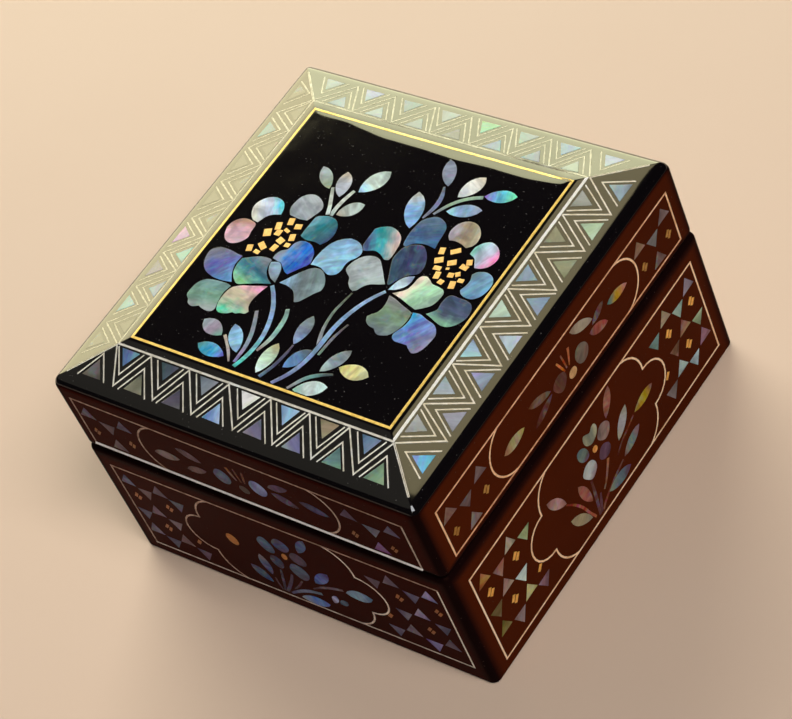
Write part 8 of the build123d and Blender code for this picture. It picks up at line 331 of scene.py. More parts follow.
    ("stem", -155, ("745f66", "654d5f", "352030"), ((6.39, 12.05), (7.38, 12.58), (9.58, 13.64), (10.74, 14.13), (11.96, 14.56), (14.5, 15.36), (14.3, 16.04), (11.72, 15.3), (10.46, 14.87), (9.25, 14.37), (8.1, 13.81), (7.02, 13.22), (6.05, 12.58), (4.29, 11.27), (4.51, 10.93))),
    ("stem", -154, ("718399", "8089a6", "595981"), ((-2.85, 5.51), (-0.33, 7.11), (0.64, 7.66), (1.6, 8.14), (2.58, 8.57), (3.55, 8.94), (4.51, 9.22), (6.49, 9.66), (6.31, 10.54), (4.29, 10.14), (3.25, 9.86), (2.21, 9.49), (1.17, 9.04), (0.16, 8.54), (-0.84, 7.93), (-1.8, 7.26), (-3.3, 6.1), (-4.39, 5.13), (-4.01, 4.67))),
    ("stem", -119, ("4d3b52", "473855", "3b2c4b"), ((-3.82, 6.71), (-2.12, 9.54), (-1.62, 10.5), (-1.16, 11.52), (-0.33, 13.58), (-0.87, 13.82), (-2.38, 10.9), (-3.98, 8.13), (-5.74, 5.21), (-5.06, 4.79))),
    ("stem", -130, ("3b2030", "47293a", "352030"), ((-0.88, 8.57), (-0.17, 9.31), (0.56, 10.25), (2, 12.35), (1.6, 12.65), (-0.63, 9.69), (-1.28, 8.95), (-2.54, 7.64), (-2.26, 7.36))),
    ("stem", -105, ("2f263e", "352944", "352944"), ((-5.63, 5.03), (-5.82, 5.15), (-5.84, 5.23), (-5.35, 6.06), (-4.28, 10), (-3.31, 14.02), (-3.89, 14.18), (-5.05, 10.21), (-6.34, 5.09), (-5.66, 4.91))),
    ("stem", -85, ("593b41", "4d3541", "3b2937"), ((-6.51, 4.96), (-6.8, 6.43), (-6.9, 7.13), (-6.95, 9.09), (-7.45, 9.11), (-7.52, 7.78), (-7.5, 7.07), (-7.39, 6.33), (-7.09, 4.84))),
)
LID_F = (
    ("frame", 0, None, ((-46.03, 54.58), (44.33, 52.98), (44.33, 53.41), (-46.03, 55.03))),
    ("frame", 0, None, ((-46.03, 39.17), (44.33, 38.59), (44.33, 39.01), (-46.03, 39.63))),
    ("frame", 0, None, ((-46.03, 39.67), (-45.57, 39.67), (-45.57, 54.53), (-46.03, 54.54))),
    ("frame", 0, None, ((43.87, 39.05), (44.33, 39.05), (44.33, 52.95), (43.87, 52.95))),
    ("cartouche", 0, None, ((-25.46, 40.09), (-26.36, 40.85), (-27.15, 41.74), (-27.79, 42.73), (-28.28, 43.8), (-28.62, 44.93), (-28.78, 46.09), (-28.78, 47.26), (-28.6, 48.41), (-28.26, 49.53), (-27.75, 50.58), (-27.1, 51.55), (-26.31, 52.41), (-25.4, 53.14), (-24.39, 53.74), (-23.42, 54.14), (-24.57, 54.16), (-25.67, 53.51), (-26.63, 52.74), (-27.46, 51.83), (-28.15, 50.81), (-28.68, 49.7), (-29.05, 48.52), (-29.23, 47.3), (-29.24, 46.06), (-29.07, 44.83), (-28.71, 43.64), (-28.19, 42.52), (-27.51, 41.47), (-26.69, 40.54), (-25.73, 39.73), (-25.42, 39.53), (-24.56, 39.52))),
    ("cartouche", 0, None, ((21.12, 39.29), (22.17, 39.98), (23.09, 40.81), (23.87, 41.76), (24.5, 42.81), (24.94, 43.94), (25.21, 45.12), (25.28, 46.33), (25.16, 47.54), (24.85, 48.72), (24.35, 49.84), (23.69, 50.89), (22.87, 51.83), (21.91, 52.65), (20.75, 53.36), (19.63, 53.38), (20.62, 52.94), (21.63, 52.3), (22.54, 51.53), (23.32, 50.64), (23.94, 49.65), (24.41, 48.59), (24.7, 47.47), (24.82, 46.33), (24.75, 45.19), (24.5, 44.07), (24.08, 43), (23.49, 42), (22.75, 41.1), (21.88, 40.32), (20.89, 39.67), (19.92, 39.22), (20.94, 39.21))),
    ("tri", 65, ("685165", "59495f", "533f55"), ((-42.76, 52.89), (-45.27, 49.54), (-40.61, 49.37))),
    ("tri", 245, ("5c4968", "4f4765", "43445a"), ((-32.64, 52.53), (-34.83, 49.38), (-30.39, 49.31))),
    ("tri", 335, ("644f5e", "5c4756", "4d3e4d"), ((-35.54, 49.18), (-40.11, 49.25), (-37.68, 45.53))),
    ("tri", 65, ("544550", "63525e", "695963"), ((-37.69, 44.04), (-40.02, 40.42), (-35.44, 40.38))),
    ("bar", 0, None, ((-41.75, 44.72), (-42.31, 45.11), (-43.33, 43.66), (-42.78, 43.27))),
    ("bar", 0, None, ((-42.44, 45.49), (-43.04, 45.82), (-43.85, 44.33), (-43.25, 44.01))),
    ("bar", 0, None, ((-31.55, 44.71), (-32.14, 45.05), (-33.02, 43.51), (-32.43, 43.18))),
    ("bar", 0, None, ((-32.18, 45.43), (-32.77, 45.76), (-33.66, 44.18), (-33.07, 43.86))),
    ("tri", 245, ("4d455e", "5c526d", "696277"), ((39.97, 51.39), (37.77, 48.37), (42.04, 48.17))),
    ("tri", 200, ("4e3a53", "55435e", "654e68"), ((28.94, 51.6), (26.55, 48.53), (31.05, 48.28))),
    ("tri", 335, ("525a68", "696980", "7a7a8c"), ((36.8, 48.11), (32.13, 48.22), (34.47, 44.72))),
    ("tri", 110, ("6f4d80", "7c598b", "876b9b"), ((36.68, 39.89), (34.45, 43.17), (32.26, 39.79))),
    ("bar", 0, None, ((39.5, 42.74), (38.94, 43.1), (37.97, 41.76), (38.53, 41.4))),
    ("bar", 0, None, ((38.88, 43.46), (38.31, 43.8), (37.4, 42.44), (37.98, 42.1))),
    ("bar", 0, None, ((29.41, 42.92), (28.85, 43.27), (27.82, 41.79), (28.39, 41.43))),
    ("bar", 0, None, ((28.75, 43.64), (28.16, 43.95), (27.26, 42.43), (27.85, 42.11))),
    ("gold", 0, None, ((-0.52, 42.39), (-0.03, 42.73), (0.25, 43.24), (0.26, 43.82), (0.01, 44.36), (-0.47, 44.74), (-1.07, 44.9), (-1.68, 44.81), (-2.17, 44.47), (-2.45, 43.96), (-2.46, 43.38), (-2.21, 42.84), (-1.73, 42.46), (-1.13, 42.3))),
    ("petal", -30, ("555883", "5c698a", "4e5f77"), ((-6.03, 43.29), (-5.59, 43.4), (-5.2, 43.6), (-4.87, 43.9), (-4.57, 44.31), (-4.34, 44.76), (-4.2, 45.2), (-4.18, 45.65), (-4.24, 46.13), (-4.39, 46.59), (-4.6, 47), (-4.9, 47.36), (-5.28, 47.69), (-5.69, 47.95), (-6.1, 48.1), (-6.51, 48.14), (-6.93, 48.08), (-7.34, 47.93), (-7.7, 47.7), (-7.96, 47.43), (-8.44, 46.67), (-8.61, 46.27), (-8.7, 45.9), (-8.7, 45.47), (-8.59, 45.05), (-8.42, 44.65), (-8.2, 44.3), (-7.94, 43.98), (-7.62, 43.68), (-7.27, 43.44), (-6.9, 43.3), (-6.49, 43.25))),
    ("petal", -30, ("7885b7", "98a4d5", "838fbb"), ((4.02, 43.82), (4.44, 43.94), (4.85, 44.14), (5.2, 44.4), (5.51, 44.75), (5.79, 45.18), (6, 45.65), (6.1, 46.1), (6.06, 46.54), (5.91, 47), (5.68, 47.43), (5.4, 47.8), (5.06, 48.11), (4.66, 48.39), (4.22, 48.59), (3.8, 48.7), (3.38, 48.7), (2.95, 48.62), (2.54, 48.45), (2.2, 48.2), (1.91, 47.84), (1.66, 47.37), (1.48, 46.87), (1.4, 46.4), (1.43, 45.95), (1.55, 45.49), (1.75, 45.07), (2, 44.7), (2.33, 44.38), (2.74, 44.11), (3.18, 43.9), (3.6, 43.8))),
    ("leaf", 3, ("6e5657", "8c7676", "625057"), ((-21.82, 44.4), (-20.91, 44.57), (-19.99, 44.87), (-19.09, 45.29), (-18.2, 46), (-19.16, 46.61), (-20.11, 46.93), (-21.04, 47.13), (-21.98, 47.2), (-22.9, 47.11), (-23.81, 46.86), (-24.72, 46.42), (-25.6, 45.6), (-24.63, 44.88), (-23.69, 44.54), (-22.75, 44.39))),
    ("leaf", -20, ("482a35", "5b4253", "482d3e"), ((-12.2, 47.73), (-11.2, 48), (-11.8, 48.84), (-12.49, 49.45), (-13.21, 49.94), (-13.98, 50.33), (-14.79, 50.58), (-15.65, 50.7), (-16.57, 50.66), (-17.6, 50.3), (-17.03, 49.37), (-16.35, 48.75), (-15.61, 48.29), (-14.82, 47.97), (-13.99, 47.78), (-13.11, 47.7))),
    ("leaf", 16, ("55393e", "684d53", "553947"), ((-14.56, 43), (-13.78, 43.2), (-13.03, 43.51), (-12.31, 43.93), (-11.62, 44.45), (-11, 45.2), (-11.93, 45.5), (-12.79, 45.57), (-13.62, 45.54), (-14.42, 45.4), (-15.19, 45.15), (-15.92, 44.77), (-16.6, 44.23), (-17.2, 43.4), (-16.25, 43.02), (-15.38, 42.93))),
    ("leaf", 18, ("412a41", "553f63", "3b2841"), ((9.87, 48.08), (10.65, 48.31), (11.4, 48.65), (12.11, 49.09), (12.79, 49.63), (13.4, 50.4), (12.46, 50.67), (11.59, 50.71), (10.75, 50.65), (9.95, 50.49), (9.18, 50.22), (8.46, 49.81), (7.78, 49.25), (7.2, 48.4), (8.17, 48.05), (9.04, 47.99))),
    ("leaf", -18, ("483353", "412d50", "3b2231"), ((13.15, 44.07), (14.2, 44.4), (13.55, 45.28), (12.81, 45.9), (12.03, 46.4), (11.22, 46.78), (10.36, 47.03), (9.44, 47.11), (8.48, 47.03), (7.4, 46.6), (8.02, 45.62), (8.76, 44.99), (9.54, 44.52), (10.38, 44.22), (11.27, 44.05), (12.19, 44))),
    ("leaf", -11, ("3b2841", "383963", "3b3357"), ((20.72, 45.27), (21.74, 45.41), (22.8, 45.8), (21.96, 46.57), (21.08, 47.08), (20.17, 47.49), (19.24, 47.78), (18.29, 47.93), (17.3, 47.94), (16.28, 47.78), (15.2, 47.3), (16.02, 46.44), (16.9, 45.91), (17.81, 45.54), (18.76, 45.32), (19.73, 45.24))),
    ("stem", -71, ("8c562d", "824b26", "65321a"), ((-1.97, 46.29), (-2.39, 47.75), (-3.22, 50.32), (-3.98, 50.08), (-3.38, 48.17), (-3.11, 47.48), (-2.43, 46.11))),
    ("stem", -84, ("5b2718", "622d1a", "552515"), ((-0.7, 46.23), (-1.2, 50.62), (-1.6, 50.58), (-1.51, 49.19), (-1.35, 47.72), (-1.1, 46.17))),
    ("stem", -101, ("622d1a", "68321f", "552715"), ((0.65, 47.64), (1.19, 50.24), (0.61, 50.36), (0.21, 48.46), (-0.1, 46.24), (0.3, 46.16))),
)
BEVEL_F = (
    ("pearl", 0, None, ((-37.14, -1.6), (37.14, -1.6), (37.6, -2.07), (-37.6, -2.07))),
    ("mitre", 0, None, ((-37.28, -2.11), (-37.58, -2.11), (-46.57, -11.41), (-46.24, -11.41))),
    ("mitre", 0, None, ((37.58, -2.11), (37.28, -2.11), (46.24, -11.41), (46.57, -11.41))),
    ("zigzag", 0, None, ((-27.7, -2.48), (-21.88, -11.23), (-16.88, -2.49), (-11.04, -11.23), (-5.89, -2.48), (0.37, -11.22), (5.49, -2.49), (11.07, -11.24), (15.85, -2.5), (21.36, -11.24), (26.31, -2.49), (32.31, -11.22), (37.58, -2.46), (37.32, -2.19), (32.29, -10.56), (26.49, -2.12), (26.1, -2.12), (21.34, -10.54), (16.03, -2.12), (15.64, -2.12), (11.05, -10.54), (5.69, -2.12), (5.29, -2.12), (0.34, -10.56), (-5.7, -2.12), (-6.1, -2.12), (-11.06, -10.55), (-16.69, -2.12), (-17.08, -2.12), (-21.91, -10.55), (-27.5, -2.12), (-27.9, -2.12), (-33.15, -10.52), (-37.33, -2.2), (-37.6, -2.48), (-33.19, -11.26))),
    ("chevron", 0, None, ((-39.6, -5.35), (-35.94, -11.17), (-35.67, -11), (-39.6, -4.74), (-43.56, -11.05), (-43.29, -11.22))),
    ("chevron", 0, None, ((-23.76, -11.26), (-27.8, -4.83), (-31.78, -11.16), (-31.5, -11.33), (-27.8, -5.43), (-24.03, -11.43))),
    ("chevron", 0, None, ((-16.9, -5.41), (-13.3, -11.15), (-13.03, -10.98), (-16.9, -4.81), (-20.87, -11.13), (-20.59, -11.3))),
    ("chevron", 0, None, ((-5.8, -5.57), (-2.33, -11.1), (-2.06, -10.93), (-5.8, -4.97), (-9.6, -11.02), (-9.33, -11.19))),
    ("chevron", 0, None, ((9.56, -11.23), (5.5, -4.76), (1.62, -10.94), (1.89, -11.11), (5.5, -5.36), (9.29, -11.4))),
    ("chevron", 0, None, ((19.75, -11.23), (15.8, -4.94), (12.02, -10.95), (12.3, -11.12), (15.8, -5.54), (19.48, -11.4))),
    ("chevron", 0, None, ((26.4, -5.8), (29.72, -11.09), (29.99, -10.92), (26.4, -5.19), (22.73, -11.04), (23, -11.21))),
    ("chevron", 0, None, ((41.41, -11), (37.5, -4.78), (33.66, -10.9), (33.93, -11.07), (37.5, -5.38), (41.14, -11.17))),
    ("chevron", 0, None, ((-29.43, -2.47), (-29.7, -2.3), (-33.2, -7.88), (-36.7, -2.3), (-36.97, -2.47), (-33.2, -8.48))),
    ("chevron", 0, None, ((-18.19, -2.47), (-18.46, -2.3), (-22, -7.94), (-25.54, -2.3), (-25.81, -2.47), (-22, -8.54))),
    ("chevron", 0, None, ((-7.28, -2.47), (-7.55, -2.3), (-11.1, -7.95), (-14.65, -2.3), (-14.92, -2.47), (-11.1, -8.55))),
    ("chevron", 0, None, ((4.2, -2.47), (3.93, -2.3), (0.3, -8.08), (-3.33, -2.3), (-3.6, -2.47), (0.3, -8.68))),
    ("chevron", 0, None, ((14.98, -2.47), (14.71, -2.3), (11, -8.21), (7.29, -2.3), (7.02, -2.47), (11, -8.81))),
    ("chevron", 0, None, ((25.34, -2.47), (25.07, -2.3), (21.4, -8.15), (17.73, -2.3), (17.46, -2.47), (21.4, -8.75))),
    ("chevron", 0, None, ((36.06, -2.47), (35.79, -2.3), (32.2, -8.01), (28.61, -2.3), (28.34, -2.47), (32.2, -8.61))),
    ("tri_o", 110, ("5d5b52", "726d65", "7a6f69"), ((-37.04, -10.76), (-39.78, -6.52), (-42.23, -10.79))),
    ("tri_o", 110, ("908d7e", "828372", "6d6f65"), ((-27.65, -6.5), (-30.26, -10.72), (-25.2, -10.81))),
    ("tri_o", 290, ("545361", "625e6e", "6d6e71"), ((-16.72, -6.69), (-19.57, -10.75), (-14.33, -10.78))),
    ("tri_o", 200, ("c8ddfb", "9eb1df", "83a2c8"), ((-5.64, -6.58), (-8.29, -10.71), (-3.34, -10.82))),
    ("tri_o", 65, ("918e9b", "7f7a92", "656b7a"), ((5.63, -6.7), (2.93, -10.7), (8.07, -10.86))),
    ("tri_o", 65, ("a1afb6", "8c89ac", "6d738e"), ((18.28, -10.73), (15.81, -6.64), (13.34, -10.75))),
    ("tri_o", 290, ("5b7578", "759292", "8db19b"), ((26.38, -6.6), (23.93, -10.82), (29.04, -10.83))),
    ("tri_o", 155, ("a4b69d", "94af92", "779282"), ((37.56, -6.53), (34.76, -10.83), (40.02, -10.86))),
    ("tri_i", 200, ("98c1ce", "7b91b7", "687da6"), ((-30.72, -2.51), (-35.74, -2.46), (-33.36, -6.25))),
    ("tri_i", 200, ("65657a", "535f6b", "435659"), ((-19.58, -2.46), (-24.44, -2.5), (-21.96, -6.23))),
    ("tri_i", 335, ("717985", "8f9aa4", "9da2ae"), ((-8.54, -2.5), (-13.6, -2.49), (-10.95, -6.37))),
    ("tri_i", 155, ("fafef3", "ffffff", "ffffff"), ((2.86, -2.51), (-2.21, -2.46), (0.22, -6.23))),
    ("tri_i", 20, ("95b3d1", "b4d3f0", "cae6fc"), ((13.43, -2.46), (8.55, -2.51), (11.07, -6.51))),
    ("tri_i", 110, ("b1ac91", "ab9f89", "8c856e"), ((23.81, -2.48), (18.88, -2.44), (21.47, -6.28))),
    ("tri_i", 155, ("929eba", "8498b5", "688897"), ((34.65, -2.46), (29.82, -2.51), (32.39, -6.32))),
)
# triangle colours of the back and left bevels, in the order of their tables
TONES_B = {'tri_o': [('85a7b7', '7787af', '6877a0'), ('366893', '4570a3', '5aa0b1'), ('64758f', '547a83', '4b7c77'), ('36a088', '229b6c', '159140'), ('717c8c', '657a83', '5a6a78'), ('2f5275', '226072', '195b6c'), ('7881b1', '697da8', '5b819a'), ('5f6a81', '546c7a', '4b6e72')], 'tri_i': [('65787f', '5d7a7a', '4f6b6a'), ('163877', '225883', '317885'), ('368599', '225890', '154a82'), ('29314b', '222848', '1b2740'), ('4b5e72', '546c7a', '5f8181'), ('728d94', '698390', '5e7086'), ('55708d', '456883', '376773')]}
TONES_L = {'tri_o': [('252525', '222222', '1e1e1e'), ('348486', '226c7a', '186274'), ('242424', '222222', '1f1f1f'), ('242424', '222222', '202020'), ('ae73b0', '8b60a3', '7e5397'), ('191a5e', '222265', '362e6a'), ('3a7094', '298d90', '1c7984'), ('252525', '222222', '1f1f1f')], 'tri_i': [('252525', '222222', '1e1e1e'), ('1e1e1e', '222222', '242424'), ('1e1e1e', '222222', '252525'), ('1e1e1e', '222222', '232323'), ('3d95a0', '299590', '1d7d8d'), ('358c91', '225c88', '154879'), ('252525', '222222', '1e1e1e')]}


# ------------------------------------------------------------------ the lacquered surface
BASE_FACE = 49.97      # lacquer on the base walls; the plates stand 0.03 proud
LID_FACE = 49.67       # lacquer on the lid rails
CORNER = 1.9           # upright corners
RIM = 37.3
PANEL_Z = 63.27
SLOPE = 3.8 / 13.8
BREAK = 35.6           # where the flat middle turns into the bevel
RAMP = 1.3             # half the width over which it turns
HIP = 0.35             # rounding along the mitres
SHOULDER = 3.0         # rounding of the lid's top outer edge
ALPHA = math.atan(SLOPE)
COS = math.cos(ALPHA)
TAN_LEN = SHOULDER / math.tan((math.pi / 2 + ALPHA) / 2)
SHOULDER_V = LID_FACE - TAN_LEN * COS
SHOULDER_Z = PANEL_Z - SLOPE * (LID_FACE - BREAK) - TAN_LEN


def step(t):
    t = min(1.0, max(0.0, t))
    return t * t * (3 - 2 * t)


def level(x, y):
    """How far out a point lies, counted in rounded squares round the middle."""
    a, b = max(abs(x), abs(y)), min(abs(x), abs(y))
    if b <= a - HIP:
        return a
    c = ((a + b) - math.sqrt(max(0.0, (a + b) ** 2 - 2 * (a * a + b * b - HIP * HIP)))) / 2
    return c + HIP


def profile(v):
    if v <= BREAK - RAMP:
        return PANEL_Z
    if v < BREAK + RAMP:
        t = (v - BREAK + RAMP) / (2 * RAMP)
        return PANEL_Z - SLOPE * 2 * RAMP * (t ** 3 - t ** 4 / 2)
    if v <= SHOULDER_V:
        return PANEL_Z - SLOPE * (v - BREAK)
    d = min(v - (LID_FACE - SHOULDER), SHOULDER)
    return SHOULDER_Z + math.sqrt(max(0.0, SHOULDER ** 2 - d * d))


def dip(x, y):
    """The hand-rubbed lacquer sinks a little along the far edge of the flat middle."""
    fade = step((x + 35.5) / 4) * (1 - step((x - 30.5) / 4))
    if fade <= 0 or y < 30:
        return 0.0
    width = 0.9 + 2.0 * step((x + 36) / 34) * (1 - 0.40 * step((x - 16) / 20)) + 0.2 * math.sin(x * 0.31)
    start = 34.6 - width
    t = (y - start) / 1.6
    if t <= 0:
        return 0.0
    full = 0.14
    grown = full * 1.6 * (min(t, 1.0) ** 3 - min(t, 1.0) ** 4 / 2)
    if t > 1:
        grown += full * max(0.0, min(y, 35.4) - start - 1.6)
    back = 1 - min(1.0, max(0.0, (y - 35.4) / 11.1))
    return -fade * grown * back


def surface(x, y):
    return profile(level(x, y)) + dip(x, y)


def spin(x, y, turn):
    a = math.radians(turn)
    return x * math.cos(a) - y * math.sin(a), x * math.sin(a) + y * math.cos(a)


# ------------------------------------------------------------------ mesh helpers
def make(name, verts, faces, material, body, nodes, slot, sharp=(), flat=False):
    me = bpy.data.meshes.new(name)
    me.from_pydata([(x * MM, y * MM, z * MM) for x, y, z in verts], [], faces)
    me.validate(clean_customdata=False)
    me.polygons.foreach_set("use_smooth", [not flat] * len(me.polygons))
    if sharp:
        keys = {tuple(sorted(e)) for e in sharp}
        att = me.attributes.new("sharp_edge", "BOOLEAN", "EDGE")
        att.data.foreach_set("value", [tuple(sorted(e.vertices)) in keys for e in me.edges])
    me.materials.append(material)
    ob = bpy.data.objects.new(name, me)
    bpy.context.scene.collection.objects.link(ob)
    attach(ob, body)
    if nodes:
        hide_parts(*nodes)
    return ob


def set_normals(ob, normals):
    ob.data.normals_split_custom_set([Vector(n).normalized() for n in normals])


def mitred_board(name, loop, face, turn, material, body, node, slot, segs=46, arc=8):
    """One board of a mitred frame. loop is its section: (out from the middle, height,
    (outward, upward) normal or None where the face is flat), in order round the section."""
    past = 1.5             # degrees past the mitre, where each board dips under the next, so that no gap shows
    verts, index, normal_at = [], {}, {}
    grid = []
    for d, z, n in loop:
        r = max(0.0, CORNER - (face - d))
        row = []
        path = []
        c = d - r
        for k in range(arc + 1):
            if k == 0 and r > 0:
                a = math.radians(-135 - past)
                path.append((-c + (r - 0.04) * math.cos(a), -c + (r - 0.04) * math.sin(a), math.cos(a), math.sin(a)))
            a = math.radians(-135 + 45 * k / arc)
            path.append((-c + r * math.cos(a), -c + r * math.sin(a), math.cos(a), math.sin(a)))
        for k in range(1, segs):
            path.append((-c + 2 * c * k / segs, -d, 0.0, -1.0))
        for k in range(arc + 1):
            a = math.radians(-90 + 45 * k / arc)
            path.append((c + r * math.cos(a), -c + r * math.sin(a), math.cos(a), math.sin(a)))
            if k == arc and r > 0:
                a = math.radians(-45 + past)
                path.append((c + (r - 0.04) * math.cos(a), -c + (r - 0.04) * math.sin(a), math.cos(a), math.sin(a)))
        if r == 0:
            path = [path[0]] + path + [path[-1]]
        for x, y, nx, ny in path:
            px, py = spin(x, y, turn)
            key = (round(px, 5), round(py, 5), round(z, 5))
            if key not in index:
                index[key] = len(verts)
                verts.append((px, py, z))
            i = index[key]
            if n:
                ox, oy = spin(nx, ny, turn)
                normal_at[i] = (ox * n[0], oy * n[0], n[1])
            row.append(i)
        grid.append(row)
    faces, smooth = [], []
    m = len(grid)
    for i in range(m):
        a, b = grid[i], grid[(i + 1) % m]
        soft = bool(loop[i][2]) and bool(loop[(i + 1) % m][2])
        for k in range(len(a) - 1):
            f = [a[k], a[k + 1], b[k + 1], b[k]]
            g = [p for q, p in enumerate(f) if p != f[q - 1]]
            if len(set(g)) >= 3:
                faces.append(g)
                smooth.append(soft)
    faces.append([row[0] for row in grid][::-1])
    smooth.append(False)
    faces.append([row[-1] for row in grid])
    smooth.append(False)
    ob = make(name, verts, faces, material, body, [node], slot)
    me = ob.data
    out = []
    for p, soft in zip(me.polygons, smooth):
        for v in p.vertices:
            out.append(normal_at[v] if soft and v in normal_at else tuple(p.normal))
    set_normals(ob, out)
    return ob


def arc_section(cx, cz, r, a0, a1, n):
    out = []
    for k in range(n + 1):
        a = math.radians(a0 + (a1 - a0) * k / n)
        out.append((cx + r * math.cos(a), cz + r * math.sin(a), (math.cos(a), math.sin(a))))
    return out


def hexlin(h):
    out = []
    for k in (0, 2, 4):
        c = int(h[k:k + 2], 16) / 255
        out.append(c / 12.92 if c <= 0.04045 else ((c + 0.055) / 1.055) ** 2.4)
    return (*out, 1.0)


def inset(poly, d):
    n = len(poly)
    out = []
    for i in range(n):
        (ax, ay), (bx, by), (cx, cy) = poly[i - 1], poly[i], poly[(i + 1) % n]
        e1 = Vector((bx - ax, by - ay)).normalized()
        e2 = Vector((cx - bx, cy - by)).normalized()
        n1, n2 = Vector((-e1.y, e1.x)), Vector((-e2.y, e2.x))
        k = n1 + n2
        k = k * (d / max(0.25, 1 + n1.dot(n2)))
        out.append((bx + k.x, by + k.y))
    return out


def area(poly):
    return 0.5 * sum(poly[i - 1][0] * poly[i][1] - poly[i][0] * poly[i - 1][1] for i in range(len(poly)))


def split_edges(poly, longest):
    out = []
    for i in range(len(poly)):
        a, b = poly[i], poly[(i + 1) % len(poly)]
        k = max(1, math.ceil(math.dist(a, b) / longest))
        out += [(a[0] + (b[0] - a[0]) * j / k, a[1] + (b[1] - a[1]) * j / k) for j in range(k)]
    return out


class Plates:
    """The cut plates of one node, as one piece."""

    def __init__(self):
        self.v, self.f = [], []
        self.att = {"c0": [], "c1": [], "c2": [], "tt": [], "loc": []}
        self.count = 0

    def tones(self, pts, angle, cols):
        a = math.radians(angle)
        along = [x * math.cos(a) + y * math.sin(a) for x, y in pts]
        across = [-x * math.sin(a) + y * math.cos(a) for x, y in pts]
        return along, across

    def add(self, poly, place, angle=0.0, cols=None, top=0.03, low=-0.12, edge=0.05, longest=None):
        poly = [tuple(p) for p in poly]
        if area(poly) < 0:
            poly = poly[::-1]
        if longest:
            poly = split_edges(poly, longest)
        inner = inset(poly, edge)
        cols = cols or ("ffffff",) * 3
        along, across = self.tones(poly, angle, cols)
        lo, hi = min(along), max(along)
        mid = sum(across) / len(across)
        self.count += 1
        seed = (self.count * 7.31) % 50
        n, b = len(poly), len(self.v)
        lin = [hexlin(c) for c in cols]
        for ring, h in ((inner, top), (poly, top - 0.012), (poly, low)):
            al, ac = self.tones(ring, angle, cols)
            for (x, y), s, t in zip(ring, al, ac):
                self.v.append(place(x, y, h))
                self.att["tt"].append((s - lo) / max(1e-6, hi - lo))
                self.att["loc"].append((s - lo, t - mid, seed))
                for k in range(3):
                    self.att["c%d" % k].append(lin[k])
        self.f.append(list(range(b, b + n)))
        for i in range(n):
            j = (i + 1) % n
            self.f.append([b + n + i, b + n + j, b + j, b + i])
            self.f.append([b + 2 * n + i, b + 2 * n + j, b + n + j, b + n + i])
        self.f.append(list(range(b + 2 * n, b + 3 * n))[::-1])

    def piece(self, name, material, body, node, slot):
        ob = make(name, self.v, self.f, material, body, [node], slot, flat=True)
        me = ob.data
        for k in ("c0", "c1", "c2"):
            me.attributes.new(k, "FLOAT_COLOR", "POINT").data.foreach_set("color", np.array(self.att[k], np.float32).ravel())
        me.attributes.new("tt", "FLOAT", "POINT").data.foreach_set("value", np.array(self.att["tt"], np.float32))
        me.attributes.new("loc", "FLOAT_VECTOR", "POINT").data.foreach_set("vector", np.array(self.att["loc"], np.float32).ravel())
        return ob


def on_side(face, turn):
    def place(x, y, h):
        px, py = spin(x, -(face + h), turn)
        return px, py, y
    return place


def on_bevel(turn):
    def place(x, y, h):
        v = BREAK - y * COS
        px, py = spin(x, -v, turn)
        return px, py, surface(px, py) + h
    return place


def on_top(x, y, h):
    return x, y, surface(x, y) + h


# ------------------------------------------------------------------ materials
class Tree:
    def __init__(self, name):
        self.m = bpy.data.materials.new(name)
        self.m.use_nodes = True
        self.nt = self.m.node_tree
        self.b = next(n for n in self.nt.nodes if n.type == "BSDF_PRINCIPLED")

    def set(self, **values):
        for k, v in values.items():
            self.b.inputs[k.replace("_", " ")].default_value = v

    def n(self, kind, **props):
        node = self.nt.nodes.new(kind)
        for k, v in props.items():
            setattr(node, k, v)
        return node

    def link(self, a, b):
        self.nt.links.new(a, b)

    def val(self, socket, value):
        if isinstance(value, (int, float, tuple, list)):
            socket.default_value = value
        else:
            self.link(value, socket)

    def math(self, op, a, b=None, c=None, clamp=False):
        node = self.n("ShaderNodeMath", operation=op, use_clamp=clamp)
        self.val(node.inputs[0], a)
        if b is not None:
            self.val(node.inputs[1], b)
        if c is not None:
            self.val(node.inputs[2], c)
        return node.outputs[0]

    def mix(self, fac, a, b, blend="MIX"):
        node = self.n("ShaderNodeMix", data_type="RGBA", blend_type=blend)
        self.val(node.inputs["Factor"], fac)
        self.val(node.inputs[6], a)
        self.val(node.inputs[7], b)
        return node.outputs[2]

    def ramp(self, v, a0, a1, b0=0.0, b1=1.0, kind="SMOOTHSTEP"):
        node = self.n("ShaderNodeMapRange", interpolation_type=kind)
        self.val(node.inputs["Value"], v)
        for k, x in (("From Min", a0), ("From Max", a1), ("To Min", b0), ("To Max", b1)):
            self.val(node.inputs[k], x)
        return node.outputs[0]

    def noise(self, vec, scale, detail=2.0, rough=0.5, distort=0.0):
        node = self.n("ShaderNodeTexNoise")
        self.val(node.inputs["Vector"], vec)
        node.inputs["Scale"].default_value = scale
        node.inputs["Detail"].default_value = detail
        node.inputs["Roughness"].default_value = rough
        node.inputs["Distortion"].default_value = distort
        return node.outputs["Fac"]

    def scaled(self, vec, by):
        node = self.n("ShaderNodeVectorMath", operation="MULTIPLY")
        self.link(vec, node.inputs[0])
        node.inputs[1].default_value = by
        return node.outputs[0]

    def attr(self, name):
        return self.n("ShaderNodeAttribute", attribute_name=name)

    def bump(self, height, strength, distance):
        node = self.n("ShaderNodeBump")
        node.inputs["Strength"].default_value = strength
        node.inputs["Distance"].default_value = distance
        self.link(height, node.inputs["Height"])
        self.link(node.outputs[0], self.b.inputs["Normal"])


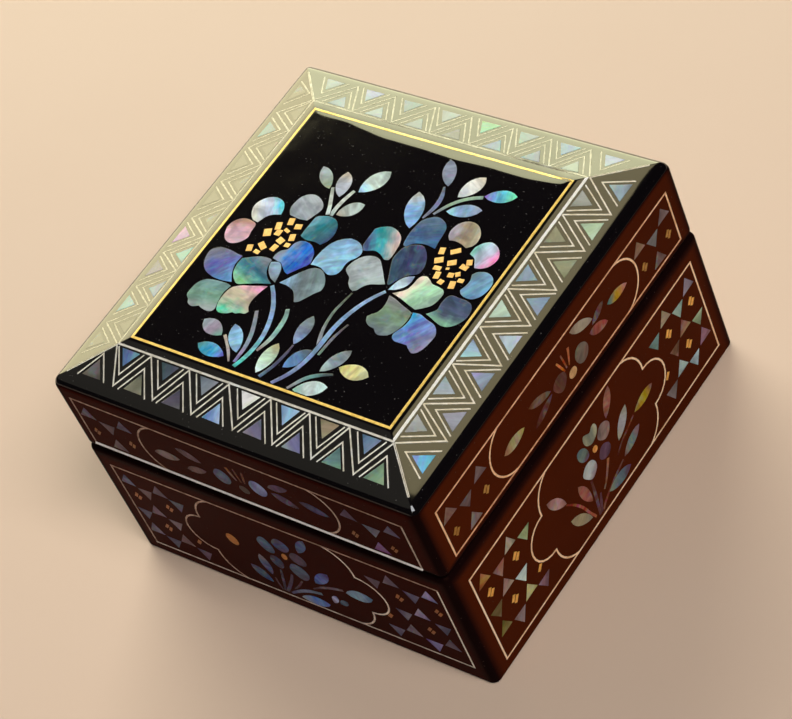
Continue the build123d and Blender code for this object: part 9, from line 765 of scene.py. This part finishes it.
def lacquer(name, sides):
    t = Tree(name)
    co = t.n("ShaderNodeTexCoord").outputs["Object"]
    mm = t.scaled(co, (1000, 1000, 1000))
    cloud = t.noise(mm, 0.035, 3, 0.55)
    fine = t.noise(mm, 1.6, 4, 0.6)
    dust = t.noise(mm, 2.3, 1, 0.4)
    if sides:
        # deep red over the flat of each face, as painted light and shade lighter on the right and back faces and darker
        # on the front and left; painted shade, black, where the coat turns an edge or a corner
        black = t.mix(cloud, (0.0050, 0.0018, 0.0020, 1), (0.0090, 0.0026, 0.0024, 1))
        geo = t.n("ShaderNodeNewGeometry")
        nor = t.n("ShaderNodeSeparateXYZ")
        t.link(geo.outputs["Normal"], nor.inputs[0])
        lit_red = t.mix(cloud, (0.050, 0.0082, 0.0019, 1), (0.080, 0.0132, 0.0032, 1))
        deep = t.mix(cloud, (0.028, 0.0024, 0.0007, 1), (0.046, 0.0042, 0.0012, 1))
        # painted light and shade: faces towards +X and +Y take the lighter red, faces towards -X and -Y the darker one
        red = t.mix(t.ramp(t.math("ADD", nor.outputs["X"], nor.outputs["Y"]), -0.5, 0.5), deep, lit_red)
        # painted shade: where the normal turns off a face's flat, at edges and corners, the colour goes black
        flat = t.math("MAXIMUM", t.math("ABSOLUTE", nor.outputs["X"]), t.math("ABSOLUTE", nor.outputs["Y"]))
        # painted shade: darker towards the corners and either side of the lid's joint
        pos = t.n("ShaderNodeSeparateXYZ")
        t.link(mm, pos.inputs[0])
        along = t.math("MINIMUM", t.math("ABSOLUTE", pos.outputs["X"]), t.math("ABSOLUTE", pos.outputs["Y"]))
        joint = t.math("MULTIPLY", t.ramp(pos.outputs["Z"], 33.6, 35.8), t.ramp(pos.outputs["Z"], 38.5, 39.6, 1.0, 0.0))
        # painted shade mask: near the upright corners and the lid's joint
        corner_joint_shade = t.math("MAXIMUM", t.math("MULTIPLY", joint, 0.85), t.math("MULTIPLY", t.ramp(along, 46.2, 48.8), 0.8))
        body = t.mix(t.math("MULTIPLY", t.ramp(flat, 0.90, 0.999), t.math("SUBTRACT", 1.0, corner_joint_shade)), black, red)
        # rubbed a little along the foot
        rub = t.math("MULTIPLY", t.ramp(pos.outputs["Z"], 0.2, 1.1, 1.0, 0.0), t.ramp(t.noise(mm, 0.7, 3, 0.6), 0.50, 0.64))
        body = t.mix(t.math("MULTIPLY", rub, 0.5), body, (0.060, 0.024, 0.012, 1))
    else:
        body = t.mix(cloud, (0.0022, 0.0016, 0.0022, 1), (0.0048, 0.0032, 0.0040, 1))
    speck = t.ramp(dust, 0.76, 0.80)
    body = t.mix(t.math("MULTIPLY", speck, 0.75), body, (0.20, 0.19, 0.18, 1) if not sides else (0.09, 0.06, 0.05, 1))
    t.link(body, t.b.inputs["Base Color"])
    t.link(t.math("MULTIPLY_ADD", fine, 0.05, 0.035), t.b.inputs["Roughness"])
    t.set(IOR=1.04 if sides else 1.5)
    if sides:
        t.set(Specular_Tint=(1.0, 0.42, 0.22, 1))
    wave = t.math("ADD", t.math("MULTIPLY", t.noise(mm, 0.05, 2, 0.5), 1.0), t.math("MULTIPLY", fine, 0.004))
    t.bump(wave, 0.25, 0.0006)
    return t.m


def shell(name, gain=1.0, rich=0.95, shade=0.22, ior=1.32, coat=0.5):
    """Cut abalone under clear lacquer: three tones bent by slow noise, growth
    lines across them, and small turns of hue."""
    t = Tree(name)
    loc = t.attr("loc").outputs["Vector"]
    tt = t.attr("tt").outputs["Fac"]
    c = [t.attr("c%d" % k).outputs["Color"] for k in range(3)]
    slow = t.noise(loc, 0.42, 2, 0.5)
    drift = t.noise(t.scaled(loc, (0.9, 0.22, 1.0)), 1.0, 3, 0.6, 0.4)
    pos = t.math("ADD", tt, t.math("MULTIPLY", t.math("SUBTRACT", slow, 0.5), 0.40))
    pos = t.math("ADD", pos, t.math("MULTIPLY", t.math("SUBTRACT", drift, 0.5), 0.26))
    col = t.mix(t.ramp(pos, 0.02, 0.48), c[0], c[1])
    col = t.mix(t.ramp(pos, 0.52, 0.98), col, c[2])
    lines = t.noise(t.scaled(loc, (2.2, 0.30, 1.0)), 1.0, 4, 0.6, 0.3)
    band = t.noise(t.scaled(loc, (1.2, 0.16, 1.0)), 1.0, 2, 0.5, 0.5)
    hue = t.n("ShaderNodeHueSaturation")
    t.val(hue.inputs["Hue"], t.math("MULTIPLY_ADD", t.math("SUBTRACT", band, 0.5), 0.14, 0.5))
    t.val(hue.inputs["Saturation"], t.math("MULTIPLY_ADD", slow, 0.5, rich))
    depth = t.ramp(t.noise(t.scaled(loc, (0.34, 0.22, 1.0)), 1.0, 2, 0.55, 0.6), 0.30, 0.70, 1.0 - shade, 1.0 + shade * 0.8)
    t.val(hue.inputs["Value"], t.math("MULTIPLY", t.math("MULTIPLY", t.ramp(lines, 0.25, 0.75, 0.90, 1.10, "LINEAR"), gain), depth))
    t.val(hue.inputs["Color"], col)
    col = hue.outputs[0]
    # flashes of green, rose and violet where the shell turns
    flash = t.n("ShaderNodeValToRGB")
    t.val(flash.inputs[0], t.noise(t.scaled(loc, (0.55, 0.30, 1.0)), 1.0, 2, 0.5, 0.8))
    el = flash.color_ramp.elements
    el[0].position, el[0].color = 0.36, (0.42, 0.10, 0.48, 1)
    el[1].position, el[1].color = 0.66, (0.80, 0.30, 0.42, 1)
    for p, k in ((0.44, (0.10, 0.30, 0.75, 1)), (0.52, (0.12, 0.65, 0.42, 1)), (0.59, (0.62, 0.62, 0.22, 1))):
        e = el.new(p)
        e.color = k
    patch = t.ramp(t.noise(loc, 0.33, 1, 0.5), 0.50, 0.72)
    col = t.mix(t.math("MULTIPLY", patch, 0.16), col, flash.outputs[0])
    t.link(col, t.b.inputs["Base Color"])
    t.link(t.math("MULTIPLY_ADD", lines, 0.12, 0.12), t.b.inputs["Roughness"])
    t.set(IOR=ior, Coat_Weight=coat, Coat_Roughness=0.03, Coat_IOR=1.5)
    t.bump(lines, 0.18, 0.00004)
    return t.m


def strip(name, ior=1.35, coat=0.5):
    """Thin strips cut from pale shell, greyer and pearlier along their length."""
    t = Tree(name)
    pale, deep, spot = (t.attr("c%d" % k).outputs["Color"] for k in range(3))
    mm = t.scaled(t.n("ShaderNodeTexCoord").outputs["Object"], (1000, 1000, 1000))
    n = t.noise(mm, 0.55, 3, 0.6)
    col = t.mix(t.ramp(n, 0.34, 0.62), deep, pale)
    col = t.mix(t.math("MULTIPLY", t.ramp(t.noise(mm, 0.23, 2, 0.5), 0.55, 0.75), 0.5), col, spot)
    t.link(col, t.b.inputs["Base Color"])
    t.link(t.math("MULTIPLY_ADD", n, 0.15, 0.2), t.b.inputs["Roughness"])
    t.set(IOR=ior, Coat_Weight=coat, Coat_Roughness=0.04)
    t.bump(t.noise(mm, 3.0, 3, 0.6), 0.15, 0.00003)
    return t.m


def gold(name, base=None, deep=None, metal=0.35):
    """Gold leaf; without colours given, each plate brings its own."""
    t = Tree(name)
    if base is None:
        base, deep = (t.attr("c%d" % k).outputs["Color"] for k in (0, 1))
    mm = t.scaled(t.n("ShaderNodeTexCoord").outputs["Object"], (1000, 1000, 1000))
    n = t.noise(mm, 1.1, 4, 0.6)
    t.link(t.mix(t.ramp(n, 0.3, 0.7), deep, base), t.b.inputs["Base Color"])
    t.link(t.math("MULTIPLY_ADD", n, 0.22, 0.24), t.b.inputs["Roughness"])
    t.set(Metallic=metal, IOR=1.5 if metal > 0.3 else 1.15, Coat_Weight=0.3 if metal > 0.3 else 0.05, Coat_Roughness=0.05)
    t.bump(t.noise(mm, 4.0, 3, 0.6), 0.3, 0.00005)
    return t.m


def felt(name, base, deep):
    t = Tree(name)
    mm = t.scaled(t.n("ShaderNodeTexCoord").outputs["Object"], (1000, 1000, 1000))
    n = t.noise(mm, 2.6, 6, 0.75)
    big = t.noise(mm, 0.06, 3, 0.6)
    col = t.mix(t.ramp(n, 0.3, 0.7), deep, base)
    col = t.mix(t.math("MULTIPLY", big, 0.35), col, deep)
    t.link(col, t.b.inputs["Base Color"])
    t.link(t.math("MULTIPLY_ADD", n, 0.1, 0.85), t.b.inputs["Roughness"])
    t.set(Sheen_Weight=0.2, Sheen_Roughness=0.5, Sheen_Tint=(1.0, 0.30, 0.26, 1))
    t.bump(n, 0.8, 0.0003)
    return t.m


def raw_wood(name):
    t = Tree(name)
    mm = t.scaled(t.n("ShaderNodeTexCoord").outputs["Object"], (1000, 1000, 1000))
    grain = t.noise(t.scaled(mm, (0.03, 0.55, 0.55)), 1.0, 6, 0.62, 0.6)
    col = t.mix(t.ramp(grain, 0.35, 0.65), (0.012, 0.006, 0.005, 1), (0.030, 0.013, 0.009, 1))
    t.link(col, t.b.inputs["Base Color"])
    t.link(t.math("MULTIPLY_ADD", grain, 0.2, 0.25), t.b.inputs["Roughness"])
    t.set(IOR=1.5, Coat_Weight=0.3, Coat_Roughness=0.2)
    t.bump(grain, 0.3, 0.0002)
    return t.m


TOP_LACQUER = lacquer("top_lacquer", False)
SIDE_LACQUER = lacquer("side_lacquer", True)
SHELL = shell("abalone", gain=1.09, rich=0.82, shade=0.33)
SHELL_BEVEL = shell("abalone_bevel", rich=1.0, shade=0.15)
SHELL_SIDE = shell("abalone_side", rich=0.95, ior=1.12, coat=0.06)
LINE_TOP = strip("pale_strip")
LINE_SIDE = strip("pale_strip_side", ior=1.15, coat=0.1)
GOLD = gold("gold_leaf", (0.90, 0.56, 0.19, 1), (0.72, 0.39, 0.10, 1))
GOLD_LINE = gold("gold_line", (0.82, 0.58, 0.15, 1), (0.66, 0.43, 0.08, 1))
GOLD_SIDE = gold("gold_leaf_side", metal=0.25)
FELT = felt("red_felt", (0.34, 0.018, 0.026, 1), (0.13, 0.006, 0.010, 1))
WOOD = raw_wood("lacquered_wood_inside")

# ------------------------------------------------------------------ boards
R_RIM, R_FOOT, R_LIP = 1.7, 0.6, 1.4
wall = []
wall += arc_section(BASE_FACE - R_FOOT, R_FOOT, R_FOOT, -90, 0, 4)
wall += [(BASE_FACE, z, (1.0, 0.0)) for z in (10.0, 20.0, 30.0)]
wall += arc_section(BASE_FACE - R_RIM, RIM - R_RIM, R_RIM, 0, 90, 10)
wall += [(45.35, RIM, None), (45.0, RIM - 0.35, None), (45.0, 0.0, None)]
rail = []
rail += arc_section(LID_FACE - R_LIP, RIM + R_LIP, R_LIP, -90, 0, 9)
rail += [(LID_FACE, z, (1.0, 0.0)) for z in (44.0, 50.0, 55.9)]
rail += [(LID_FACE - 0.001, 55.9, None), (45.3, 55.9, None), (45.3, RIM + 0.3, None), (45.6, RIM, None)]
SIDES = (("front", 0), ("right", 90), ("back", 180), ("left", 270))
for side, turn in SIDES:
    mitred_board(f"{side}_wall", wall, BASE_FACE, turn, SIDE_LACQUER, "base", f"base_{side}_wall", "lacquered_wood")
    mitred_board(f"{side}_rail", rail, LID_FACE, turn, SIDE_LACQUER, "lid", f"lid_{side}_rail", "lacquered_wood")
    lip = [(43.5, 4.0, None), (45.0, 4.0, None), (45.0, 41.7, None), (44.85, 42.1, None), (44.45, 42.3, None),
           (44.05, 42.3, None), (43.65, 42.1, None), (43.5, 41.7, None)]
    mitred_board(f"{side}_liner", lip, BASE_FACE, turn, WOOD, "base", f"liner_{side}", "lacquered_wood", segs=8)


def top_board():
    rings = []
    for v in [30.0, 31.0] + [31.4 + 0.25 * k for k in range(23)] + [38.5, 41.0, 44.0, 46.4]:
        rings.append((v, None))
    for k in range(13):
        a = (math.pi / 2 - ALPHA) * (1 - k / 12)
        rings.append((LID_FACE - SHOULDER + SHOULDER * math.cos(a), SHOULDER_Z + SHOULDER * math.sin(a)))
    rings.append((LID_FACE, 55.9))
    segs, arc = 60, 10
    verts, rows = [], []
    for v, z in rings:
        r = max(HIP, CORNER - (LID_FACE - v))
        row = []
        for turn in (0, 90, 180, 270):
            pts = [(-(v - r) + 2 * (v - r) * k / segs, -v) for k in range(segs + 1)]
            for k in range(1, arc):
                a = math.radians(-90 + 90 * k / arc)
                pts.append((v - r + r * math.cos(a), -(v - r) + r * math.sin(a)))
            for x, y in pts:
                px, py = spin(x, y, turn)
                row.append(len(verts))
                zz = (profile(v) if z is None else z)
                if zz > SHOULDER_Z + 1:
                    zz += dip(px, py)
                verts.append((px, py, zz))
        rows.append(row)
    faces = [rows[0]]
    n = len(rows[0])
    for a, b in zip(rows, rows[1:]):
        for k in range(n):
            j = (k + 1) % n
            faces.append([b[k], b[j], a[j], a[k]])
    faces.append(rows[-1][::-1])
    last = rows[-1]
    ob = make("top_board", verts, faces, TOP_LACQUER, "lid", ["lid_top_board"], "lacquered_wood",
              sharp=[(last[k], last[(k + 1) % n]) for k in range(n)])
    # the upright edge below the shoulder carries the sides' thinner coat
    ob.data.materials.append(SIDE_LACQUER)
    low = 1 + n * (len(rows) - 1 - 5)
    for p in ob.data.polygons:
        if p.index >= low and p.index < 1 + n * (len(rows) - 1):
            p.material_index = 1
    return ob


top_board()

# ------------------------------------------------------------------ felt
def felt_pad(name, half, z0, z1, body, node, up):
    """A felt pad with a soft edge and a faintly uneven nap."""
    rng = np.random.default_rng(5)
    n = 46
    g = np.linspace(-1, 1, n)
    bumps = rng.normal(0, 1, (n, n))
    for _ in range(3):
        bumps = (bumps + np.roll(bumps, 1, 0) + np.roll(bumps, -1, 0) + np.roll(bumps, 1, 1) + np.roll(bumps, -1, 1)) / 5
    verts, faces = [], []
    for i in range(n):
        for j in range(n):
            x, y = g[i] * half, g[j] * half
            edge = half - max(abs(x), abs(y))
            soft = 1 - 0.35 * max(0.0, 1 - edge / 1.2) ** 2
            h = (z1 - z0) * min(1.0, 0.90 * soft + 0.08 * bumps[i, j])
            verts.append((x, y, z0 + h if up else z1 - h))
    m = n * n
    for i in range(n):
        for j in range(n):
            verts.append((g[i] * half, g[j] * half, z0 if up else z1))
    for i in range(n - 1):
        for j in range(n - 1):
            a, b, c, d = i * n + j, (i + 1) * n + j, (i + 1) * n + j + 1, i * n + j + 1
            faces.append([a, b, c, d] if up else [d, c, b, a])
            faces.append([m + d, m + c, m + b, m + a] if up else [m + a, m + b, m + c, m + d])
    ring = [i * n for i in range(n)] + [(n - 1) * n + j for j in range(1, n)] + \
           [i * n + n - 1 for i in range(n - 2, -1, -1)] + [j for j in range(n - 2, 0, -1)]
    for k in range(len(ring)):
        a, b = ring[k], ring[(k + 1) % len(ring)]
        faces.append([m + a, m + b, b, a] if up else [a, b, m + b, m + a])
    return make(name, verts, faces, FELT, body, [node], "felt")


felt_pad("floor_pad", 43.3, 4.0, 5.0, "base", "floor_felt", True)
felt_pad("lid_pad", 45.1, 55.1, 55.9, "lid", "lid_felt", False)
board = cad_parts["base_bottom_board"]
board.data.materials.clear()
board.data.materials.append(WOOD)

# ------------------------------------------------------------------ inlay
def tipped(place, poly):
    """A strip that stands out along its lower edge, so that its face leans up."""
    x0, x1 = min(p[0] for p in poly), max(p[0] for p in poly)
    y0 = sum(y for x, y in poly if x - x0 < 1) / max(1, sum(1 for x, y in poly if x - x0 < 1))
    y1 = sum(y for x, y in poly if x1 - x < 1) / max(1, sum(1 for x, y in poly if x1 - x < 1))

    def lean(x, y, h):
        middle = y0 + (y1 - y0) * (x - x0) / (x1 - x0)
        return place(x, y, h + (min(1.0, max(0.0, (middle - y) / 0.46 + 0.5)) * 0.26 if h > 0 else 0.0))
    return lean


def laid(name, rows, material, body, slot, node=None, **kw):
    """rows: (table, kinds, place, tones or None)."""
    p = Plates()
    for table, kinds, place, tones in rows:
        seen = {}
        for kind, angle, cols, poly in table:
            if kind not in kinds:
                continue
            i = seen[kind] = seen.get(kind, -1) + 1
            if tones and kind in tones:
                cols = tones[kind][i % len(tones[kind])]
            p.add(poly, tipped(place, poly) if kind == "frame" and i == 1 and table is LID_F else place, angle, cols, **kw)
    return p.piece(name, material, body, node or name, slot)


def four(kinds, first, second, places, tones=(None,) * 4):
    return [(t, kinds, place, {k: [c] for k in kinds} if c else None)
            for t, place, c in zip((first, second, second, first), places, tones)]


# pale strips, by side: front, right, back, left
STRIP_BEVEL = (("f4efe2", "d8d2be", "e8f0f2"), ("f2eada", "d9cdb2", "e6eef0"), ("b4ae90", "8e8a72", "b8bcb0"), ("b4ae90", "8e8a72", "b8bcb0"))
# on the sides each strip differs: frame strips are top, bottom, left, right, then the two
# cartouche strips. The front and left copies are duller than the right and back ones as painted shade, and the lid's
# bottom front strip is given pure white.
STRIP_BASE = ({"frame": (("b89484", "94705f", "ccac9c"), ("e4d6cc", "bcaa9e", "f4eeea"), ("a88a7a", "86685a", "bca494"), ("fff8f0", "e8dcd0", "ffffff")),
               "cartouche": (("c8a898", "a08070", "dcc6b8"), ("fff0e6", "dcc6b8", "fff8f2"))},
              {"frame": (("ffd8b0", "eab88c", "ffe8d0"), ("ffdcb8", "eec094", "ffecd8"), ("ffe8cc", "f4d0a8", "fff4e4"), ("ffdcb4", "ecbc90", "ffecd4")),
               "cartouche": (("ffdcb4", "ecbc90", "ffecd4"), ("ffe4c0", "f0c49a", "fff0dc"))})
STRIP_LID = ({"frame": (("b89484", "94705f", "d0b4a6"), ("ffffff", "f0ecea", "ffffff"), ("a48476", "80604f", "bca494"), ("e0cec2", "bca89c", "f4ece8")),
              "cartouche": (("b09080", "8c6c5c", "ccb4a6"), ("c8ac9e", "a08474", "e0ccc0"))},
             {"frame": (("f8c49c", "d8a078", "fcdcc0"), ("f4bc92", "d0946a", "f8d4b4"), ("ffdcb4", "ecbc90", "ffecd4"), ("ffd4aa", "e4b080", "ffe4c8")),
              "cartouche": (("ffd4aa", "e8b484", "ffe4c8"), ("ffdcb4", "ecbc90", "ffecd4"))})
# gold tones for the front and left sides, then the right and back: the front and left copies are darker as painted
# shade, down to near black on the lid's front spray gold
GOLD_BASE = ({"bar": (("ac662a", "8f4f1c", "ac662a"),), "gold": (("c47f30", "a46422", "c47f30"),)},
             {"bar": (("fac264", "d89a42", "fac264"),), "gold": (("f4b060", "d08a40", "f4b060"),)})
GOLD_LID = ({"bar": (("905820", "784014", "905820"),), "gold": (("2e0e08", "240a06", "2e0e08"),)},
            {"bar": (("b98c46", "9a6c2c", "b98c46"),), "gold": (("d8b080", "b08858", "d8b080"),)})


top = lambda *kinds: [(TOP, kinds, on_top, None)]
laid("left_petals", top("petal_a"), SHELL, "lid", "abalone_shell", "left_flower_petals")
laid("right_petals", top("petal_b"), SHELL, "lid", "abalone_shell", "right_flower_petals")
laid("buds", top("bud"), SHELL, "lid", "abalone_shell", "top_buds")
laid("leaves", top("leaf"), SHELL, "lid", "abalone_shell", "top_leaves")
laid("stems", top("stem"), SHELL, "lid", "abalone_shell", "top_stems")
laid("left_flakes", top("gold_a"), GOLD, "lid", "gold", "left_flower_gold", top=0.05)
laid("right_flakes", top("gold_b"), GOLD, "lid", "gold", "right_flower_gold", top=0.05)
g, w, q = 35.0, 0.30, 0.04
GOLD_SQUARE = [[(-g - w, s * g - w), (g + w, s * g - w), (g + w, s * g + w), (-g - w, s * g + w)] for s in (-1, 1)] + \
              [[(s * g - w, -g + w + q), (s * g + w, -g + w + q), (s * g + w, g - w - q), (s * g - w, g - w - q)] for s in (-1, 1)]
laid("gold_square", [([("line", 0, None, p) for p in GOLD_SQUARE], ("line",), on_top, None)], GOLD_LINE, "lid", "gold",
     "top_gold_line", longest=1.2)
bevels = [on_bevel(t) for s, t in SIDES]
pearls = four(("pearl",), BEVEL_F, BEVEL_R, bevels, STRIP_BEVEL)
# the one beside the right bevel is laid a little nearer to the gold line, and is the widest and whitest
pearls[1] = ([("pearl", 0, None, [(-36.90, -1.34), (36.90, -1.34), (37.52, -1.97), (-37.52, -1.97)])], ("pearl",), bevels[1],
             {"pearl": [("ffffff", "f4f0e4", "ffffff")]})
laid("pearl_square", pearls, LINE_TOP, "lid", "pale_shell", "top_pearl_line", longest=1.2)
laid("mitre_strips", four(("mitre",), BEVEL_F, BEVEL_R, bevels, STRIP_BEVEL), LINE_TOP, "lid", "pale_shell", "mitre_lines", longest=1.2)
laid("zigzag_strips", four(("zigzag", "chevron"), BEVEL_F, BEVEL_R, bevels, STRIP_BEVEL), LINE_TOP, "lid", "pale_shell", "bevel_zigzag_lines", longest=1.2)
tri_rows = [(BEVEL_F, None, bevels[0], None), (BEVEL_R, None, bevels[1], None),
            (BEVEL_R, None, bevels[2], TONES_B), (BEVEL_F, None, bevels[3], TONES_L)]
laid("outer_triangles", [(a, ("tri_o",), c, d) for a, b, c, d in tri_rows], SHELL_BEVEL, "lid", "abalone_shell", "bevel_outer_triangles", longest=1.2)
laid("inner_triangles", [(a, ("tri_i",), c, d) for a, b, c, d in tri_rows], SHELL_BEVEL, "lid", "abalone_shell", "bevel_inner_triangles", longest=1.2)
for part, body, face, f, r in (("base", "base", BASE_FACE, BASE_F, BASE_R), ("lid", "lid", LID_FACE, LID_F, LID_R)):
    places = [on_side(face, t) for s, t in SIDES]
    for kinds, end, mat, slot in ((("frame",), "frame_lines", LINE_SIDE, "pale_shell"),
                                  (("cartouche",), "cartouche_lines", LINE_SIDE, "pale_shell"),
                                  (("tri",), "lattice_triangles", SHELL_SIDE, "abalone_shell"),
                                  (("bar",), "lattice_gold", GOLD_SIDE, "gold"),
                                  (("petal",), "spray_petals", SHELL_SIDE, "abalone_shell"),
                                  (("leaf",), "spray_leaves", SHELL_SIDE, "abalone_shell"),
                                  (("stem",), "spray_stems", SHELL_SIDE, "abalone_shell"),
                                  (("gold",), "spray_gold", GOLD_SIDE, "gold")):
        near, far = ((None, None) if mat is SHELL_SIDE else
                     (STRIP_BASE, STRIP_LID)[part == "lid"] if mat is LINE_SIDE else (GOLD_BASE, GOLD_LID)[part == "lid"])
        laid(f"{part}_{end}_inlay", [(table, kinds, place, tones) for table, place, tones in zip((f, r, r, f), places, (near, far, far, near))],
             mat, body, slot, f"{part}_{end}")

# ------------------------------------------------------------------ floor, light, camera
me = bpy.data.meshes.new("floor")
me.from_pydata([(-6, -6, 0), (6, -6, 0), (6, 6, 0), (-6, 6, 0)], [], [(0, 1, 2, 3)])
floor = bpy.data.objects.new("floor", me)
bpy.context.scene.collection.objects.link(floor)
t = Tree("pale_floor")
mm = t.scaled(t.n("ShaderNodeTexCoord").outputs["Object"], (1, 1, 1))
t.link(t.mix(t.noise(mm, 9.0, 3, 0.5), (0.74, 0.54, 0.40, 1), (0.78, 0.59, 0.45, 1)), t.b.inputs["Base Color"])
t.set(Roughness=0.55)
me.materials.append(t.m)


def softbox(name, direction, distance, w, h, radiance, colour=(1, 1, 1), centre=(0, 0, 0.04), only=None, shift=0.0):
    """An area light facing the box; its radiance sets its power."""
    d = Vector(direction).normalized()
    la = bpy.data.lights.new(name, "AREA")
    la.shape = "RECTANGLE"
    la.size, la.size_y = w, h
    la.energy = radiance * math.pi * w * h
    la.color = colour
    ob = bpy.data.objects.new(name, la)
    bpy.context.scene.collection.objects.link(ob)
    ob.location = Vector(centre) + d * distance + Vector((-d.y, d.x, 0)).normalized() * shift
    ob.rotation_euler = d.to_track_quat("Z", "Y").to_euler()
    ob.visible_diffuse = only != "mirrored"
    ob.visible_glossy = only != "soft"
    return ob


def dir_of(az, el):
    """az from +Y towards -X, both in degrees."""
    a, e = math.radians(az), math.radians(el)
    return (-math.sin(a) * math.cos(e), math.cos(a) * math.cos(e), math.sin(e))


softbox("far_card", dir_of(51, 20.0), 2.0, 0.95, 1.42, 6.6, (1.0, 0.98, 0.60), only="mirrored", shift=-0.475)
softbox("left_card", dir_of(51, 20.0), 2.0, 0.95, 1.42, 5.6, (1.0, 0.90, 0.53), only="mirrored", shift=0.475)
softbox("back_fill", dir_of(51, 23.4), 2.0, 1.9, 1.155, 6.2, (1.0, 0.97, 0.93), only="soft")
softbox("side_card", (-0.62, -0.32, 0.72), 2.0, 1.6, 1.6, 0.28, (1.0, 0.95, 0.76), only="mirrored")
softbox("top_card", (-0.13, 0.54, 0.90), 2.0, 0.42, 0.75, 3.4, (1.0, 0.86, 0.48), only="mirrored")
softbox("key", (0.55, -0.10, 0.83), 1.6, 0.6, 0.6, 13.4, (1.0, 0.97, 0.93), only="soft")
softbox("key_glint", (0.35, -0.35, 0.87), 1.6, 1.5, 1.5, 11.0, (0.96, 0.98, 1.0), only="mirrored")

world = bpy.context.scene.world or bpy.data.worlds.new("world")
bpy.context.scene.world = world
world.use_nodes = True
bg = next(n for n in world.node_tree.nodes if n.type == "BACKGROUND")
bg.inputs[0].default_value = (0.9, 0.93, 1.0, 1)
bg.inputs[1].default_value = 0.02
bpy.context.scene.view_settings.view_transform = "Standard"

cam = bpy.data.cameras.new("camera")
cam.sensor_width = 36.0
cam.lens = 132.511
cam.clip_start = 0.01
co = bpy.data.objects.new("camera", cam)
bpy.context.scene.collection.objects.link(co)
co.matrix_world = Matrix([[0.784244, -0.264559, 0.561222, 0.358202], [0.543999, 0.728183, -0.416912, -0.26651], [-0.298374, 0.632264, 0.714993, 0.486726]] + [[0, 0, 0, 1]])
bpy.context.scene.camera = co
